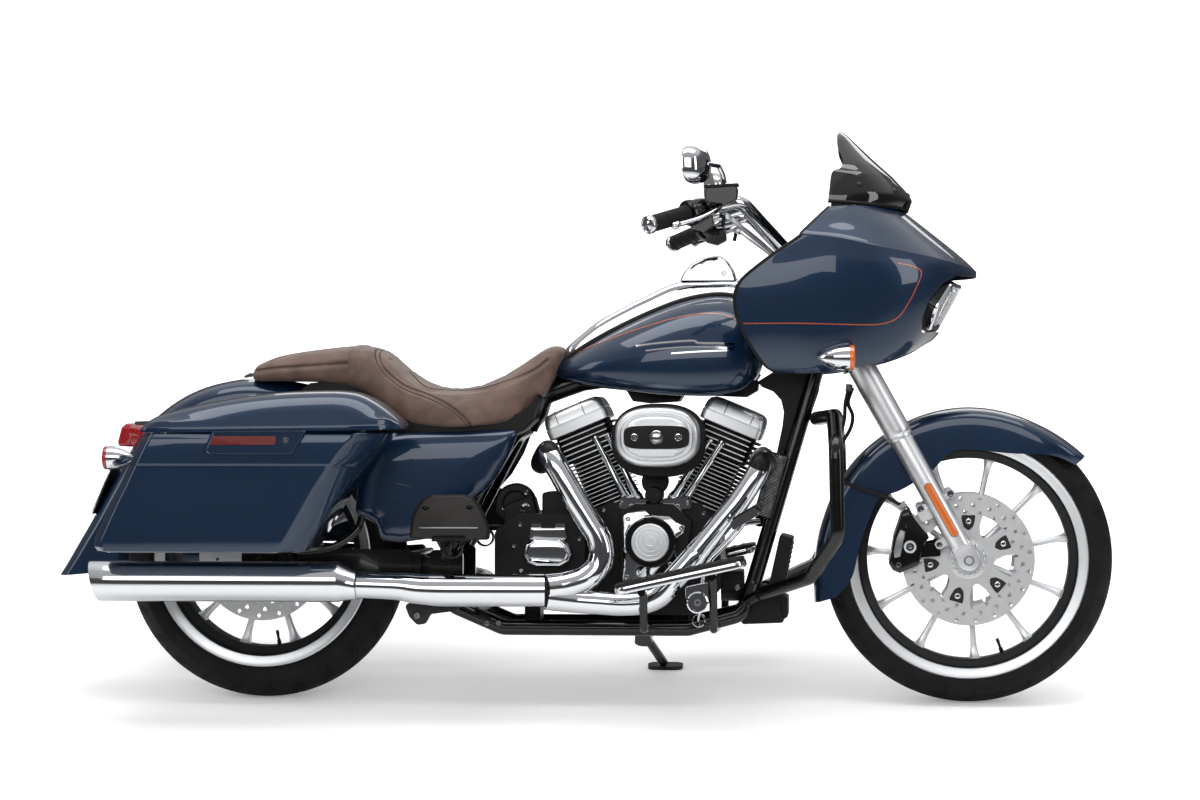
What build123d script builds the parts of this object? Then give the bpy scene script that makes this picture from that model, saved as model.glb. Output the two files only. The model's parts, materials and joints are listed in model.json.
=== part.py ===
"""A touring cruiser motorcycle, parked on its side stand, in millimetres.

Every piece is drawn with the machine upright: X runs forward from the rear axle, Y to the
rider's left and Z up from the ground.  The finished pieces are then leaned onto the side
stand together, and the origin is set under the middle of the leaned machine.
"""
from build123d import *
import math
import os

# ---------------------------------------------------------------- driving dimensions
WHEELBASE = 1610.0            # rear axle to front axle
FRONT_TYRE_RADIUS = 326.0
FRONT_TYRE_WIDTH = 130.0
FRONT_RIM_RADIUS = 270.0      # outer edge of the rim flange
REAR_TYRE_RADIUS = 325.0
REAR_TYRE_WIDTH = 180.0
REAR_RIM_RADIUS = 250.0
SPOKES = 11
LEAN = 8.0                    # degrees to the left, on the side stand
RAKE = 29.0                   # degrees of the steering axis from vertical
FORK_OFFSET = 6.0             # fork legs ahead of the steering axis
FORK_SPREAD = 115.0           # each fork leg from the middle plane
FRAME_TUBE = 17.0             # radius of the frame rails
FRAME_SPREAD = 108.0          # each lower rail from the middle plane
ENGINE_X = 903.0              # where the two cylinder axes cross
ENGINE_Z = 210.0
V_HALF_ANGLE = 22.5           # each cylinder from vertical
BORE_RADIUS = 52.0            # outside of a cylinder barrel, without fins
BAG_INNER = 192.0             # inner face of a saddlebag from the middle plane
BAG_WIDTH = 236.0             # depth of a saddlebag across the machine
BAG_WALL = 4.0
FENDER_WALL = 3.5
FAIRING_WALL = 4.0
BAR_HALF_SPAN = 425.0         # outer end of a hand grip from the middle plane
BAR_RADIUS = 16.0
MUFFLER_RADIUS = 45.0
MUFFLER_Y = 290.0
AXLE_RADIUS = 12.5
AXLE_BORE = 7.5
RUNNING_FIT = 0.05            # radial play of a pin in its bore
SEAT_GAP = 0.3                # play between pieces that rest on one another
MOVING_GAP = 6.0              # least play beside a piece that turns

# ---------------------------------------------------------------- places worked out
FX = WHEELBASE
FRONT_AXLE = (FX, 0, FRONT_TYRE_RADIUS)
REAR_AXLE = (0, 0, REAR_TYRE_RADIUS)
SINE = math.sin(math.radians(RAKE))
COSINE = math.cos(math.radians(RAKE))
LEAN_SIN = math.sin(math.radians(LEAN))
LEAN_COS = math.cos(math.radians(LEAN))


def leg_point(along, ahead=0.0, y=0.0):
    """A place beside the fork: a distance up the leg from the axle, and ahead of the leg."""
    x = FX - SINE * along + COSINE * ahead
    z = FRONT_TYRE_RADIUS + COSINE * along + SINE * ahead
    return (x, y, z)


def leg_plane(along, ahead=0.0, y=0.0):
    """A plane square to the fork leg, whose X runs forward and whose normal runs up the leg."""
    return Plane(origin=leg_point(along, ahead, y), x_dir=(COSINE, 0, SINE), z_dir=(-SINE, 0, COSINE))


def side_plane(y):
    """A drawing plane that faces the right-hand side, at a given Y."""
    return Plane(origin=(0, y, 0), x_dir=(1, 0, 0), z_dir=(0, -1, 0))


def outline(points, rounding=0.0):
    """A closed outline on the current sketch, with its corners rounded."""
    with BuildLine() as edge:
        Polyline(*points, close=True)
    made = make_face(edge.edges())
    if rounding:
        fillet(made.vertices(), rounding)


def slab(points, y_low, y_high, rounding=0.0, mode=Mode.ADD):
    """A plate with a side-view outline, between two values of Y."""
    with BuildSketch(side_plane(y_high)) as face:
        outline(points, rounding)
    extrude(face.sketch, amount=y_high - y_low, mode=mode)


def tube(points, radius, bend, mode=Mode.ADD):
    """A round bar along straight runs joined by arcs of one radius."""
    with BuildLine() as run:
        if len(points) > 2:
            FilletPolyline(*points, radius=bend)
        else:
            Line(*points)
    with BuildSketch(Plane(origin=run.line @ 0, z_dir=run.line % 0)) as ring:
        Circle(radius)
    sweep(sections=ring.sketch, path=run.wire(), mode=mode)


def rod(start, end, radius, mode=Mode.ADD):
    """A straight round bar between two places."""
    tube([start, end], radius, 0.0, mode)


def both_sides():
    """The part so far, and its mirror image on the other side of the machine."""
    mirror(about=Plane.XZ)


# ================================================================ wheels
def rim_and_spokes(axle, rim_radius, half_width, hub_half_width, bore, first_angle):
    """A cast wheel on the current part: a dropped-centre rim, a bored hub and its spokes."""
    across = Plane(origin=axle, x_dir=(0, 1, 0), z_dir=(1, 0, 0))
    well = rim_radius - 35
    half = [(half_width, rim_radius - 17), (half_width, rim_radius), (half_width - 5, rim_radius),
            (half_width - 7, rim_radius - 12), (half_width * 0.55, rim_radius - 14),
            (half_width * 0.35, well)]
    inside = [(half_width * 0.4, well - 8), (half_width * 0.62, rim_radius - 24)]
    ring = half + [(-y, r) for y, r in reversed(half)]
    ring += [(-y, r) for y, r in reversed(inside)] + inside
    with BuildSketch(across) as section:
        outline(ring)
    revolve(section.sketch, axis=Axis(axle, (0, 1, 0)))
    hub = Plane(origin=axle, x_dir=(1, 0, 0), z_dir=(0, -1, 0))
    with BuildSketch(hub) as barrel:
        Circle(36)
    extrude(barrel.sketch, amount=hub_half_width, both=True)
    with BuildSketch(hub) as spokes:
        with PolarLocations(0, SPOKES, start_angle=first_angle):
            Polygon((30, -12), (70, -8.5), (well - 20, -7), (well - 3, -13),
                    (well - 3, 13), (well - 20, 7), (70, 8.5), (30, 12), align=None)
    extrude(spokes.sketch, amount=13, both=True)
    with BuildSketch(hub) as hole:
        Circle(bore)
    extrude(hole.sketch, amount=hub_half_width + 1, both=True, mode=Mode.SUBTRACT)


def tyre_ring(axle, tyre_radius, tyre_width, rim_radius, half_width):
    """A tyre seated between the flanges of its rim, with a round crown."""
    across = Plane(origin=axle, x_dir=(0, 1, 0), z_dir=(1, 0, 0))
    bead = half_width - 7 - SEAT_GAP * 2
    seat_radius = rim_radius - 12 + SEAT_GAP * 2
    shoulder = tyre_width / 2 - 3
    drop = tyre_width * 0.23
    with BuildSketch(across) as section:
        with BuildLine():
            ThreePointArc((-shoulder, tyre_radius - drop), (0, tyre_radius), (shoulder, tyre_radius - drop))
            Line((shoulder, tyre_radius - drop), (tyre_width / 2 - 8, tyre_radius - drop - 14))
            Line((tyre_width / 2 - 8, tyre_radius - drop - 14), (bead + 3, rim_radius + 2))
            Line((bead + 3, rim_radius + 2), (bead, seat_radius))
            Line((bead, seat_radius), (-bead, seat_radius))
            Line((-bead, seat_radius), (-bead - 3, rim_radius + 2))
            Line((-bead - 3, rim_radius + 2), (8 - tyre_width / 2, tyre_radius - drop - 14))
            Line((8 - tyre_width / 2, tyre_radius - drop - 14), (-shoulder, tyre_radius - drop))
        make_face()
    revolve(section.sketch, axis=Axis(axle, (0, 1, 0)))


def brake_disc(axle, y, outer, inner, arms, hub_hole):
    """A brake disc: a friction band carried by a few arms from a bolting ring."""
    with BuildSketch(Plane(origin=(axle[0], y, axle[2]), x_dir=(1, 0, 0), z_dir=(0, -1, 0))) as disc:
        Circle(outer)
        Circle(inner, mode=Mode.SUBTRACT)
        Circle(hub_hole + 22)
        with PolarLocations(0, arms, start_angle=18):
            Polygon((hub_hole + 15, -12), (inner + 4, -9), (inner + 4, 9), (hub_hole + 15, 12), align=None)
        Circle(hub_hole, mode=Mode.SUBTRACT)
    extrude(disc.sketch, amount=2.5, both=True)


FRONT_RIM_HALF = 50.0
REAR_RIM_HALF = 70.0
HUB_BORE = AXLE_RADIUS + RUNNING_FIT
FRONT_DISC_Y = FORK_SPREAD - 49
REAR_DISC_Y = -72.0
PULLEY_Y = 76.0

with BuildPart() as front_wheel:
    rim_and_spokes(FRONT_AXLE, FRONT_RIM_RADIUS, FRONT_RIM_HALF, FRONT_DISC_Y - 3, HUB_BORE, -86.0)
    with BuildSketch(Plane(origin=FRONT_AXLE, x_dir=(1, 0, 0), z_dir=(0, -1, 0))):
        Circle(27.5)
        Circle(HUB_BORE, mode=Mode.SUBTRACT)
    extrude(amount=FRONT_DISC_Y + 12, both=True)

with BuildPart() as front_tyre:
    tyre_ring(FRONT_AXLE, FRONT_TYRE_RADIUS, FRONT_TYRE_WIDTH, FRONT_RIM_RADIUS, FRONT_RIM_HALF)

with BuildPart() as front_discs:
    for disc_y in (-FRONT_DISC_Y, FRONT_DISC_Y):
        brake_disc(FRONT_AXLE, disc_y, 150, 104, 5, 27.8)

with BuildPart() as rear_wheel:
    rim_and_spokes(REAR_AXLE, REAR_RIM_RADIUS, REAR_RIM_HALF, -REAR_DISC_Y - 3, HUB_BORE, -39.0)
    with BuildSketch(Plane(origin=REAR_AXLE, x_dir=(1, 0, 0), z_dir=(0, -1, 0))):
        Circle(27.5)
        Circle(HUB_BORE, mode=Mode.SUBTRACT)
    extrude(amount=-REAR_DISC_Y + 20, both=True)

with BuildPart() as rear_tyre:
    tyre_ring(REAR_AXLE, REAR_TYRE_RADIUS, REAR_TYRE_WIDTH, REAR_RIM_RADIUS, REAR_RIM_HALF)

with BuildPart() as rear_disc_and_pulley:
    brake_disc(REAR_AXLE, REAR_DISC_Y, 146, 100, 5, 27.8)
    with BuildSketch(Plane(origin=(0, PULLEY_Y, REAR_TYRE_RADIUS), x_dir=(1, 0, 0), z_dir=(0, -1, 0))):
        Circle(110)
        Circle(27.8, mode=Mode.SUBTRACT)
        with PolarLocations(68, 5):
            Circle(19, mode=Mode.SUBTRACT)
    extrude(amount=4, both=True)
    with BuildSketch(Plane(origin=(0, PULLEY_Y, REAR_TYRE_RADIUS), x_dir=(1, 0, 0), z_dir=(0, -1, 0))):
        Circle(110)
        Circle(98, mode=Mode.SUBTRACT)
    extrude(amount=13, both=True)

# ================================================================ front end
SLIDER_RADIUS = 26.0
COVER_RADIUS = 31.0
LOWER_CLAMP = 500.0           # up the leg from the axle
UPPER_CLAMP = 700.0
CLAMP_THICKNESS = 26.0
STEM_RADIUS = 15.0
NECK_RADIUS = 33.0
CALIPER_ANGLE = 163.0

with BuildPart() as front_axle:
    rod((FX, -FORK_SPREAD - 34, FRONT_TYRE_RADIUS), (FX, FORK_SPREAD + 34, FRONT_TYRE_RADIUS), AXLE_RADIUS)
    rod((FX, -FORK_SPREAD - 40, FRONT_TYRE_RADIUS), (FX, FORK_SPREAD + 40, FRONT_TYRE_RADIUS), AXLE_BORE,
        Mode.SUBTRACT)

with BuildPart() as fork_sliders:
    for leg_y in (-FORK_SPREAD, FORK_SPREAD):
        inward = -1 if leg_y > 0 else 1
        with BuildSketch(leg_plane(-30, 0, leg_y)):
            Circle(SLIDER_RADIUS)
        extrude(amount=350)
        with BuildSketch(leg_plane(300, 0, leg_y)):
            Circle(20.5)
        extrude(amount=UPPER_CLAMP + CLAMP_THICKNESS + 10 - 300)
        with BuildSketch(leg_plane(210, 0, leg_y)):
            Circle(SLIDER_RADIUS + 2.5)
        extrude(amount=14)
        # the lug that carries the caliper, and the two bosses that carry the fender
        face = leg_y + inward * 13
        lug = [leg_point(-20, 0), leg_point(150, 0), leg_point(140, -60), leg_point(95, -92),
               leg_point(35, -92), leg_point(0, -40)]
        slab([(x, z) for x, _, z in lug], min(face, face + inward * 9), max(face, face + inward * 9), 6)
        for boss in (258, 298):
            with BuildSketch(leg_plane(boss, 0, 0)):
                with Locations((0, leg_y + inward * 20)):
                    Rectangle(16, 24)
            extrude(amount=18)
        rod((FX, leg_y - 60, FRONT_TYRE_RADIUS), (FX, leg_y + 60, FRONT_TYRE_RADIUS), HUB_BORE, Mode.SUBTRACT)

with BuildPart() as fork_covers:
    for leg_y in (-FORK_SPREAD, FORK_SPREAD):
        with BuildSketch(leg_plane(335, 0, leg_y)):
            Circle(COVER_RADIUS)
            Circle(20.5 + SEAT_GAP, mode=Mode.SUBTRACT)
        extrude(amount=LOWER_CLAMP - 335 - SEAT_GAP)
        with BuildSketch(leg_plane(322, 0, leg_y)):
            Circle(COVER_RADIUS - 2)
            Circle(20.5 + SEAT_GAP, mode=Mode.SUBTRACT)
        extrude(amount=14)

with BuildPart() as triple_clamps:
    for level in (LOWER_CLAMP, UPPER_CLAMP):
        with BuildSketch(leg_plane(level, 0, 0)):
            outline([(-38, -60), (26, -60), (36, 0), (26, 60), (-38, 60), (-42, 0)], 12)
            for leg_y in (-FORK_SPREAD, FORK_SPREAD):
                with Locations((0, leg_y)):
                    Circle(37)
                with Locations((-4, leg_y / 2)):
                    Rectangle(48, FORK_SPREAD)
            for leg_y in (-FORK_SPREAD, FORK_SPREAD):
                with Locations((0, leg_y)):
                    Circle(20.5 + SEAT_GAP, mode=Mode.SUBTRACT)
        extrude(amount=CLAMP_THICKNESS)
    with BuildSketch(leg_plane(LOWER_CLAMP, -FORK_OFFSET, 0)):
        Circle(STEM_RADIUS)
    extrude(amount=UPPER_CLAMP + CLAMP_THICKNESS + 14 - LOWER_CLAMP)
    # two risers that hold the handlebar, with their caps
    for riser_y in (-48, 48):
        with BuildSketch(leg_plane(UPPER_CLAMP + CLAMP_THICKNESS, -12, riser_y)):
            RectangleRounded(46, 34, 6)
        extrude(amount=70)
        rod(leg_point(UPPER_CLAMP + CLAMP_THICKNESS + 42, -12, riser_y - 30),
            leg_point(UPPER_CLAMP + CLAMP_THICKNESS + 42, -12, riser_y + 30),
            BAR_RADIUS + SEAT_GAP, Mode.SUBTRACT)

BAR_CENTRE = leg_point(UPPER_CLAMP + CLAMP_THICKNESS + 42, -12, 0)
GRIP_IN = (FX - 580, BAR_HALF_SPAN - 118, 1106)
GRIP_OUT = (FX - 696, BAR_HALF_SPAN, 1064)
BAR_CORNER = (FX - 506, BAR_HALF_SPAN - 150, 1124)
BAR_FOOT = (BAR_CENTRE[0], 112, BAR_CENTRE[2])

with BuildPart() as handlebar:
    tube([(BAR_CENTRE[0], 0, BAR_CENTRE[2]), BAR_FOOT, BAR_CORNER, GRIP_IN, GRIP_OUT], BAR_RADIUS, 46)
    both_sides()

GRIP_DIRECTION = Vector(*GRIP_OUT) - Vector(*GRIP_IN)


def along_grip(distance, rise=0.0, ahead=0.0):
    """A place beside the left grip: a distance outward from its inner end."""
    place = Vector(*GRIP_IN) + GRIP_DIRECTION.normalized() * distance
    return (place.X + ahead, place.Y, place.Z + rise)


def grip_plane(distance):
    """A plane square to the left grip."""
    return Plane(origin=along_grip(distance), z_dir=GRIP_DIRECTION)


RESERVOIR = along_grip(22, 28, 34)

with BuildPart() as hand_grips:
    with BuildSketch(grip_plane(46)):
        Circle(19)
        Circle(BAR_RADIUS + SEAT_GAP, mode=Mode.SUBTRACT)
    extrude(amount=GRIP_DIRECTION.length - 46)
    with BuildSketch(grip_plane(GRIP_DIRECTION.length + SEAT_GAP)):
        Circle(21)
    extrude(amount=9)
    both_sides()

with BuildPart() as hand_controls:
    with BuildSketch(grip_plane(9)):
        RectangleRounded(54, 46, 10)
        Circle(BAR_RADIUS + SEAT_GAP, mode=Mode.SUBTRACT)
    extrude(amount=35)
    # the lever, ahead of the grip, and the reservoir above its housing
    tube([along_grip(26, 0, 24), along_grip(50, -4, 64), along_grip(110, -10, 62),
          along_grip(GRIP_DIRECTION.length + 4, -16, 50)], 6.5, 14)
    with BuildSketch(Plane.XY.offset(RESERVOIR[2])):
        with Locations(RESERVOIR[:2]):
            RectangleRounded(60, 44, 8)
    extrude(amount=30)
    rod(along_grip(28, 28.5, 6), (RESERVOIR[0], RESERVOIR[1], RESERVOIR[2] + 6), 11)
    both_sides()

with BuildPart() as mirrors:
    foot = Vector(*RESERVOIR) + Vector(0, 0, 30 + SEAT_GAP)
    head = foot + Vector(-44, 84, 52)
    tube([foot, foot + Vector(0, 0, 34), head + Vector(12, -26, 0), head + Vector(4, 0, 0)], 6, 12)
    for back, depth, narrowing in ((-1, 15, 0), (1, 14, 38)):
        with BuildSketch(Plane(origin=head, x_dir=(0, 1, 0), z_dir=(back, 0, -0.12 * back))):
            RectangleRounded(118, 82, 30)
        extrude(amount=depth, taper=narrowing)
    both_sides()

FENDER_OUTER = FRONT_TYRE_RADIUS + 24
FENDER_HALF = FORK_SPREAD - 33
FENDER_START = 40.0           # degrees from straight ahead
FENDER_END = 196.0


def around(axle, radius, degrees):
    """The side-view place at a radius and an angle about an axle."""
    return (axle[0] + radius * math.cos(math.radians(degrees)),
            axle[2] + radius * math.sin(math.radians(degrees)))


with BuildPart() as front_fender:
    crown = 26
    with BuildSketch(Plane(origin=FRONT_AXLE, x_dir=(0, 1, 0), z_dir=(1, 0, 0))) as band:
        with BuildLine():
            ThreePointArc((-FENDER_HALF, FENDER_OUTER - crown), (0, FENDER_OUTER), (FENDER_HALF,
                                                                                    FENDER_OUTER - crown))
            Line((FENDER_HALF, FENDER_OUTER - crown), (FENDER_HALF, 240))
            Line((FENDER_HALF, 240), (FENDER_HALF - FENDER_WALL, 240))
            Line((FENDER_HALF - FENDER_WALL, 240), (FENDER_HALF - FENDER_WALL, FENDER_OUTER - crown - 2))
            ThreePointArc((FENDER_HALF - FENDER_WALL, FENDER_OUTER - crown - 2),
                          (0, FENDER_OUTER - FENDER_WALL),
                          (FENDER_WALL - FENDER_HALF, FENDER_OUTER - crown - 2))
            Line((FENDER_WALL - FENDER_HALF, FENDER_OUTER - crown - 2), (FENDER_WALL - FENDER_HALF, 240))
            Line((FENDER_WALL - FENDER_HALF, 240), (-FENDER_HALF, 240))
            Line((-FENDER_HALF, 240), (-FENDER_HALF, FENDER_OUTER - crown))
        make_face()
    revolve(axis=Axis(FRONT_AXLE, (0, 1, 0)))
    skirt = [around(FRONT_AXLE, radius, degrees) for degrees, radius in
             ((FENDER_START, 420), (70, 440), (110, 440), (150, 440), (FENDER_END, 420), (FENDER_END, 300),
              (FENDER_END - 6, 262), (168, 258), (150, 236), (130, 236), (100, 252), (60, 276), (46, 306))]
    with BuildSketch(side_plane(-FENDER_HALF - 5)):
        outline(skirt)
    extrude(amount=-2 * FENDER_HALF - 10, mode=Mode.INTERSECT)

with BuildPart() as brake_calipers:
    for disc_y in (-FRONT_DISC_Y, FRONT_DISC_Y):
        outward = 1 if disc_y > 0 else -1
        place = around(FRONT_AXLE, 140, CALIPER_ANGLE)
        turned = Plane(origin=(place[0], disc_y + outward * 26.7, place[1]),
                       x_dir=(math.cos(math.radians(CALIPER_ANGLE)), 0,
                              math.sin(math.radians(CALIPER_ANGLE))),
                       z_dir=(0, -outward, 0))
        with BuildSketch(turned):
            RectangleRounded(66, 118, 14)
        extrude(amount=47)
        with BuildSketch(Plane(origin=(FX, disc_y - 5, FRONT_TYRE_RADIUS), x_dir=(1, 0, 0), z_dir=(0, 1, 0))):
            Circle(150 + MOVING_GAP)
        extrude(amount=10, mode=Mode.SUBTRACT)

# ================================================================ frame
RAIL_Z = 169.0
RACK_Y = 126.0                # each rear rail from the middle plane
NECK_LOW = LOWER_CLAMP + CLAMP_THICKNESS + 2
NECK_HIGH = UPPER_CLAMP - 2
RAIL_FRONT = (FX - 510, FRAME_SPREAD - 20, 200.0)
SWING_PIVOT = (430.0, 0, 300.0)
AXIS_SHIFT = -FORK_OFFSET
GUARD_FOOT = (RAIL_FRONT[0] + 40, FRAME_SPREAD, 246.0)
BOARD_Y = 290.0               # inner edge of a rider's footboard
BOARD_WIDTH = 112.0
BOARD_BACK = (836.0, 262.0)
BOARD_FRONT = (1122.0, 326.0)
BOARD_ARMS = (892.0, 1046.0)
REAR_FENDER_HALF = 104.0


def board_underside(x):
    """The height of the footboard's lower face at a place along the machine."""
    slope = (BOARD_FRONT[1] - BOARD_BACK[1]) / (BOARD_FRONT[0] - BOARD_BACK[0])
    return BOARD_BACK[1] + (x - BOARD_BACK[0]) * slope


def downtube_point(fraction, outward=0.0, ahead=0.0):
    """A place on the left downtube: 0 at its foot on the lower rail, 1 at the steering neck."""
    top = leg_point(600, AXIS_SHIFT - 26, 32)
    foot = (RAIL_FRONT[0] + 25, RAIL_FRONT[1] - 25, RAIL_FRONT[2] + 70)
    return tuple(low + (high - low) * fraction + extra
                 for low, high, extra in zip(foot, top, (ahead, outward, 0)))


TUNNEL = ((640, 738), (730, 768), (905, 798), (1108, 840), (1180, 880))
SEAT_ROWS = (
    # along X, bottom, top, half width
    (-20, 733, 753, 66),
    (40, 731, 786, 122),
    (200, 716, 811, 140),
    (292, 668, 796, 146),
    (360, 628, 738, 166),
    (450, 624, 716, 186),
    (560, 632, 744, 170),
    (640, 672, 798, 112),
    (694, 752, 812, 66),
)


def height_at(x, rows):
    """The height at a place along X, between the rows of a table of X and height."""
    for (x0, z0), (x1, z1) in zip(rows, rows[1:]):
        if x0 <= x <= x1:
            return z0 + (z1 - z0) * (x - x0) / (x1 - x0)


STAND_PIVOT = (860.0, 178.0, 136.0)
STAND_FOOT_X = 902.0
STAND_FOOT_Y = 322.0
CROWN_RADIUS = 95.0           # mean radius of the two tyre crowns
LIFT = CROWN_RADIUS * (1 - LEAN_COS)


def ground(x, y, above=0.0):
    """A plane that lies on the floor as the leaned machine stands."""
    height = (y * LEAN_SIN - LIFT + above) / LEAN_COS
    return Plane(origin=(x, y, height), x_dir=(1, 0, 0), z_dir=(0, -LEAN_SIN, LEAN_COS))


PAD_THICKNESS = 9.0
PAD = ground(STAND_FOOT_X, STAND_FOOT_Y)
STAND_LEG = PAD.origin + Vector(-4, -14, 14) - Vector(*STAND_PIVOT)
STAND_AXIS = Vector(0, -STAND_LEG.Z, STAND_LEG.Y).normalized()
STAND_EYE = Plane(origin=STAND_PIVOT, z_dir=STAND_AXIS)
STAND_CHEEK = 13.0            # inner face of each cheek from the middle of the eye


with BuildPart() as main_frame:
    rod(leg_point(NECK_LOW, AXIS_SHIFT), leg_point(NECK_HIGH, AXIS_SHIFT), NECK_RADIUS)
    tube([leg_point(630, AXIS_SHIFT - 10), (1112, 0, 800), (900, 0, 758), (730, 0, 732), (640, 0, 700),
          (602, 0, 622)],
         27, 40)
    for side in (-1, 1):
        loop = [downtube_point(1.0), downtube_point(0.0), RAIL_FRONT, (980, FRAME_SPREAD, RAIL_Z),
                (560, FRAME_SPREAD, RAIL_Z), (436, FRAME_SPREAD, 222), (430, FRAME_SPREAD, 330),
                (530, FRAME_SPREAD, 520), (580, 62, 606), (603, 6, 618)]
        tube([(x, side * y, z) for x, y, z in loop], FRAME_TUBE, 38)
        # the rail that carries the seat, the fender and a saddlebag
        tube([(560, side * (FRAME_SPREAD - 10), 575), (480, side * RACK_Y, 596), (-150, side * RACK_Y,
                                                                                  596)], 12, 60)
        # the posts that carry the rail from the swingarm pivot
        rod((440, side * 112, 330), (300, side * RACK_Y, 590), 12)
        # the side plate at the swingarm pivot
        slab([(395, 265), (395, 345), (470, 345), (470, 250), (430, 240)], side * 118 - 7, side * 118 + 7, 12)
        # the arms that carry a rider's footboard, and the bosses that carry the fender
        for arm_x in BOARD_ARMS:
            rest = board_underside(arm_x) - 9 - SEAT_GAP
            tube([(arm_x, side * (FRAME_SPREAD + 6), RAIL_Z + 3), (arm_x, side * (BOARD_Y - 12), RAIL_Z + 10),
                  (arm_x, side * (BOARD_Y + 14), rest), (arm_x, side * (BOARD_Y + 70), rest)], 9, 14)
        for boss_x in (-80, 160):
            rod((boss_x, side * (REAR_FENDER_HALF + SEAT_GAP), 596), (boss_x, side * RACK_Y, 596), 9)
        # the lug that holds the lower end of the engine guard
        rod((RAIL_FRONT[0] + 8, side * (RAIL_FRONT[1] - 8), RAIL_FRONT[2] + 28),
            (GUARD_FOOT[0], side * GUARD_FOOT[1], GUARD_FOOT[2]), 13)
    rod((SWING_PIVOT[0], -118, SWING_PIVOT[2]), (SWING_PIVOT[0], 118, SWING_PIVOT[2]), 12)
    # the posts that the tank and the seat rest on
    for post_x, post_z in ((775, 745), (1010, 785)):
        rod((post_x, 0, post_z), (post_x, 0, height_at(post_x - 16, TUNNEL) - SEAT_GAP), 16)
    seat_underside = [row[:2] for row in SEAT_ROWS]
    for side in (-1, 1):
        rod((400, side * RACK_Y, 596), (400, side * RACK_Y, height_at(409, seat_underside) - SEAT_GAP), 9)
    for cross_x, cross_z, cross_y in ((980, RAIL_Z, FRAME_SPREAD), (600, RAIL_Z, FRAME_SPREAD), (330, 596,
                                                                                                 RACK_Y)):
        rod((cross_x, -cross_y, cross_z), (cross_x, cross_y, cross_z), 11)
    # the arm that holds the fairing ahead of the neck
    rod(leg_point(640, AXIS_SHIFT + 20), (FX - 196, 0, 930), 19)
    rod((FX - 196, -150, 930), (FX - 196, 150, 930), 12)
    rod(leg_point(NECK_LOW - 5, AXIS_SHIFT), leg_point(NECK_HIGH + 5, AXIS_SHIFT),
        STEM_RADIUS + RUNNING_FIT, Mode.SUBTRACT)
    # the two cheeks and the pin that the side stand turns on
    with BuildSketch(STAND_EYE):
        Circle(8)
    extrude(amount=STAND_CHEEK + 10, both=True)
    for cheek in (-STAND_CHEEK - 10, STAND_CHEEK):
        inward = STAND_EYE.to_local_coords(Vector(STAND_PIVOT[0], FRAME_SPREAD + 6, RAIL_Z))
        with BuildSketch(STAND_EYE.offset(cheek)):
            Circle(21)
            with Locations((inward.X, inward.Y)):
                Circle(14)
            make_hull()
        extrude(amount=10)

SWINGARM_Y = 112.0
LUG_Y = FRAME_SPREAD - 38      # middle of each pivot lug
with BuildPart() as swingarm:
    for side in (-1, 1):
        arm = [(-38, 300), (-38, 350), (30, 352), (300, 345), (352, 348), (352, 262), (300, 268), (30, 300)]
        slab(arm, side * SWINGARM_Y - 10, side * SWINGARM_Y + 10, 10)
    slab([(342, 268), (342, 340), (372, 340), (372, 268)], -SWINGARM_Y, SWINGARM_Y, 6)
    for side in (-1, 1):
        slab([(345, 262), (345, 340), (410, 318), (450, 318), (450, 282), (410, 282)],
             side * LUG_Y - 14, side * LUG_Y + 14, 6)
    rod((SWING_PIVOT[0], -LUG_Y - 20, SWING_PIVOT[2]), (SWING_PIVOT[0], LUG_Y + 20, SWING_PIVOT[2]),
        12 + RUNNING_FIT, Mode.SUBTRACT)
    rod((0, -SWINGARM_Y - 18, REAR_TYRE_RADIUS), (0, SWINGARM_Y + 18, REAR_TYRE_RADIUS), AXLE_RADIUS)
    rod((0, -SWINGARM_Y - 20, REAR_TYRE_RADIUS), (0, SWINGARM_Y + 20, REAR_TYRE_RADIUS), AXLE_BORE,
        Mode.SUBTRACT)

REAR_CALIPER_ANGLE = 62.0
with BuildPart() as rear_caliper:
    place = (123 * math.cos(math.radians(REAR_CALIPER_ANGLE)),
             REAR_TYRE_RADIUS + 123 * math.sin(math.radians(REAR_CALIPER_ANGLE)))
    turned = Plane(origin=(place[0], REAR_DISC_Y - 30, place[1]),
                   x_dir=(math.cos(math.radians(REAR_CALIPER_ANGLE)), 0,
                          math.sin(math.radians(REAR_CALIPER_ANGLE))),
                   z_dir=(0, 1, 0))
    with BuildSketch(turned):
        RectangleRounded(76, 96, 14)
    extrude(amount=44)
    with BuildSketch(Plane(origin=(0, REAR_DISC_Y - 8, REAR_TYRE_RADIUS), x_dir=(1, 0, 0), z_dir=(0, -1, 0))):
        Circle(146 + MOVING_GAP)
    extrude(amount=-16, mode=Mode.SUBTRACT)
    # the bracket that hangs it on the swingarm
    slab([(30, 352 + SEAT_GAP), (26, 452), (92, 462), (120, 352 + SEAT_GAP)], -SWINGARM_Y - 8,
         REAR_DISC_Y - 29, 8)

with BuildPart() as shock_absorbers:
    for side in (-1, 1):
        y = side * (SWINGARM_Y + 50)
        rod((70, y, 326), (198, y, 596), 9)
        rod((104, y, 397.7), (182, y, 562.3), 20)
        for eye_x, eye_z, inner in ((70, 326, SWINGARM_Y + 10), (198, 596, RACK_Y + 12)):
            rod((eye_x, side * (inner + SEAT_GAP), eye_z), (eye_x, y + side * 11, eye_z), 13)

# ================================================================ engine
def cylinder_plane(tilt, along):
    """A plane square to a cylinder axis, a distance out from where the two axes cross."""
    lean = math.radians(tilt)
    x = ENGINE_X + math.sin(lean) * along
    z = ENGINE_Z + math.cos(lean) * along
    return Plane(origin=(x, 0, z), x_dir=(math.cos(lean), 0, -math.sin(lean)), z_dir=(math.sin(lean), 0,
                                                                                      math.cos(lean)))


def cylinder_point(tilt, along, across, y):
    """A place beside a cylinder: out along its axis, then across it toward the front."""
    place = cylinder_plane(tilt, along).from_local_coords(Vector(across, y, 0))
    return (place.X, place.Y, place.Z)


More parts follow.
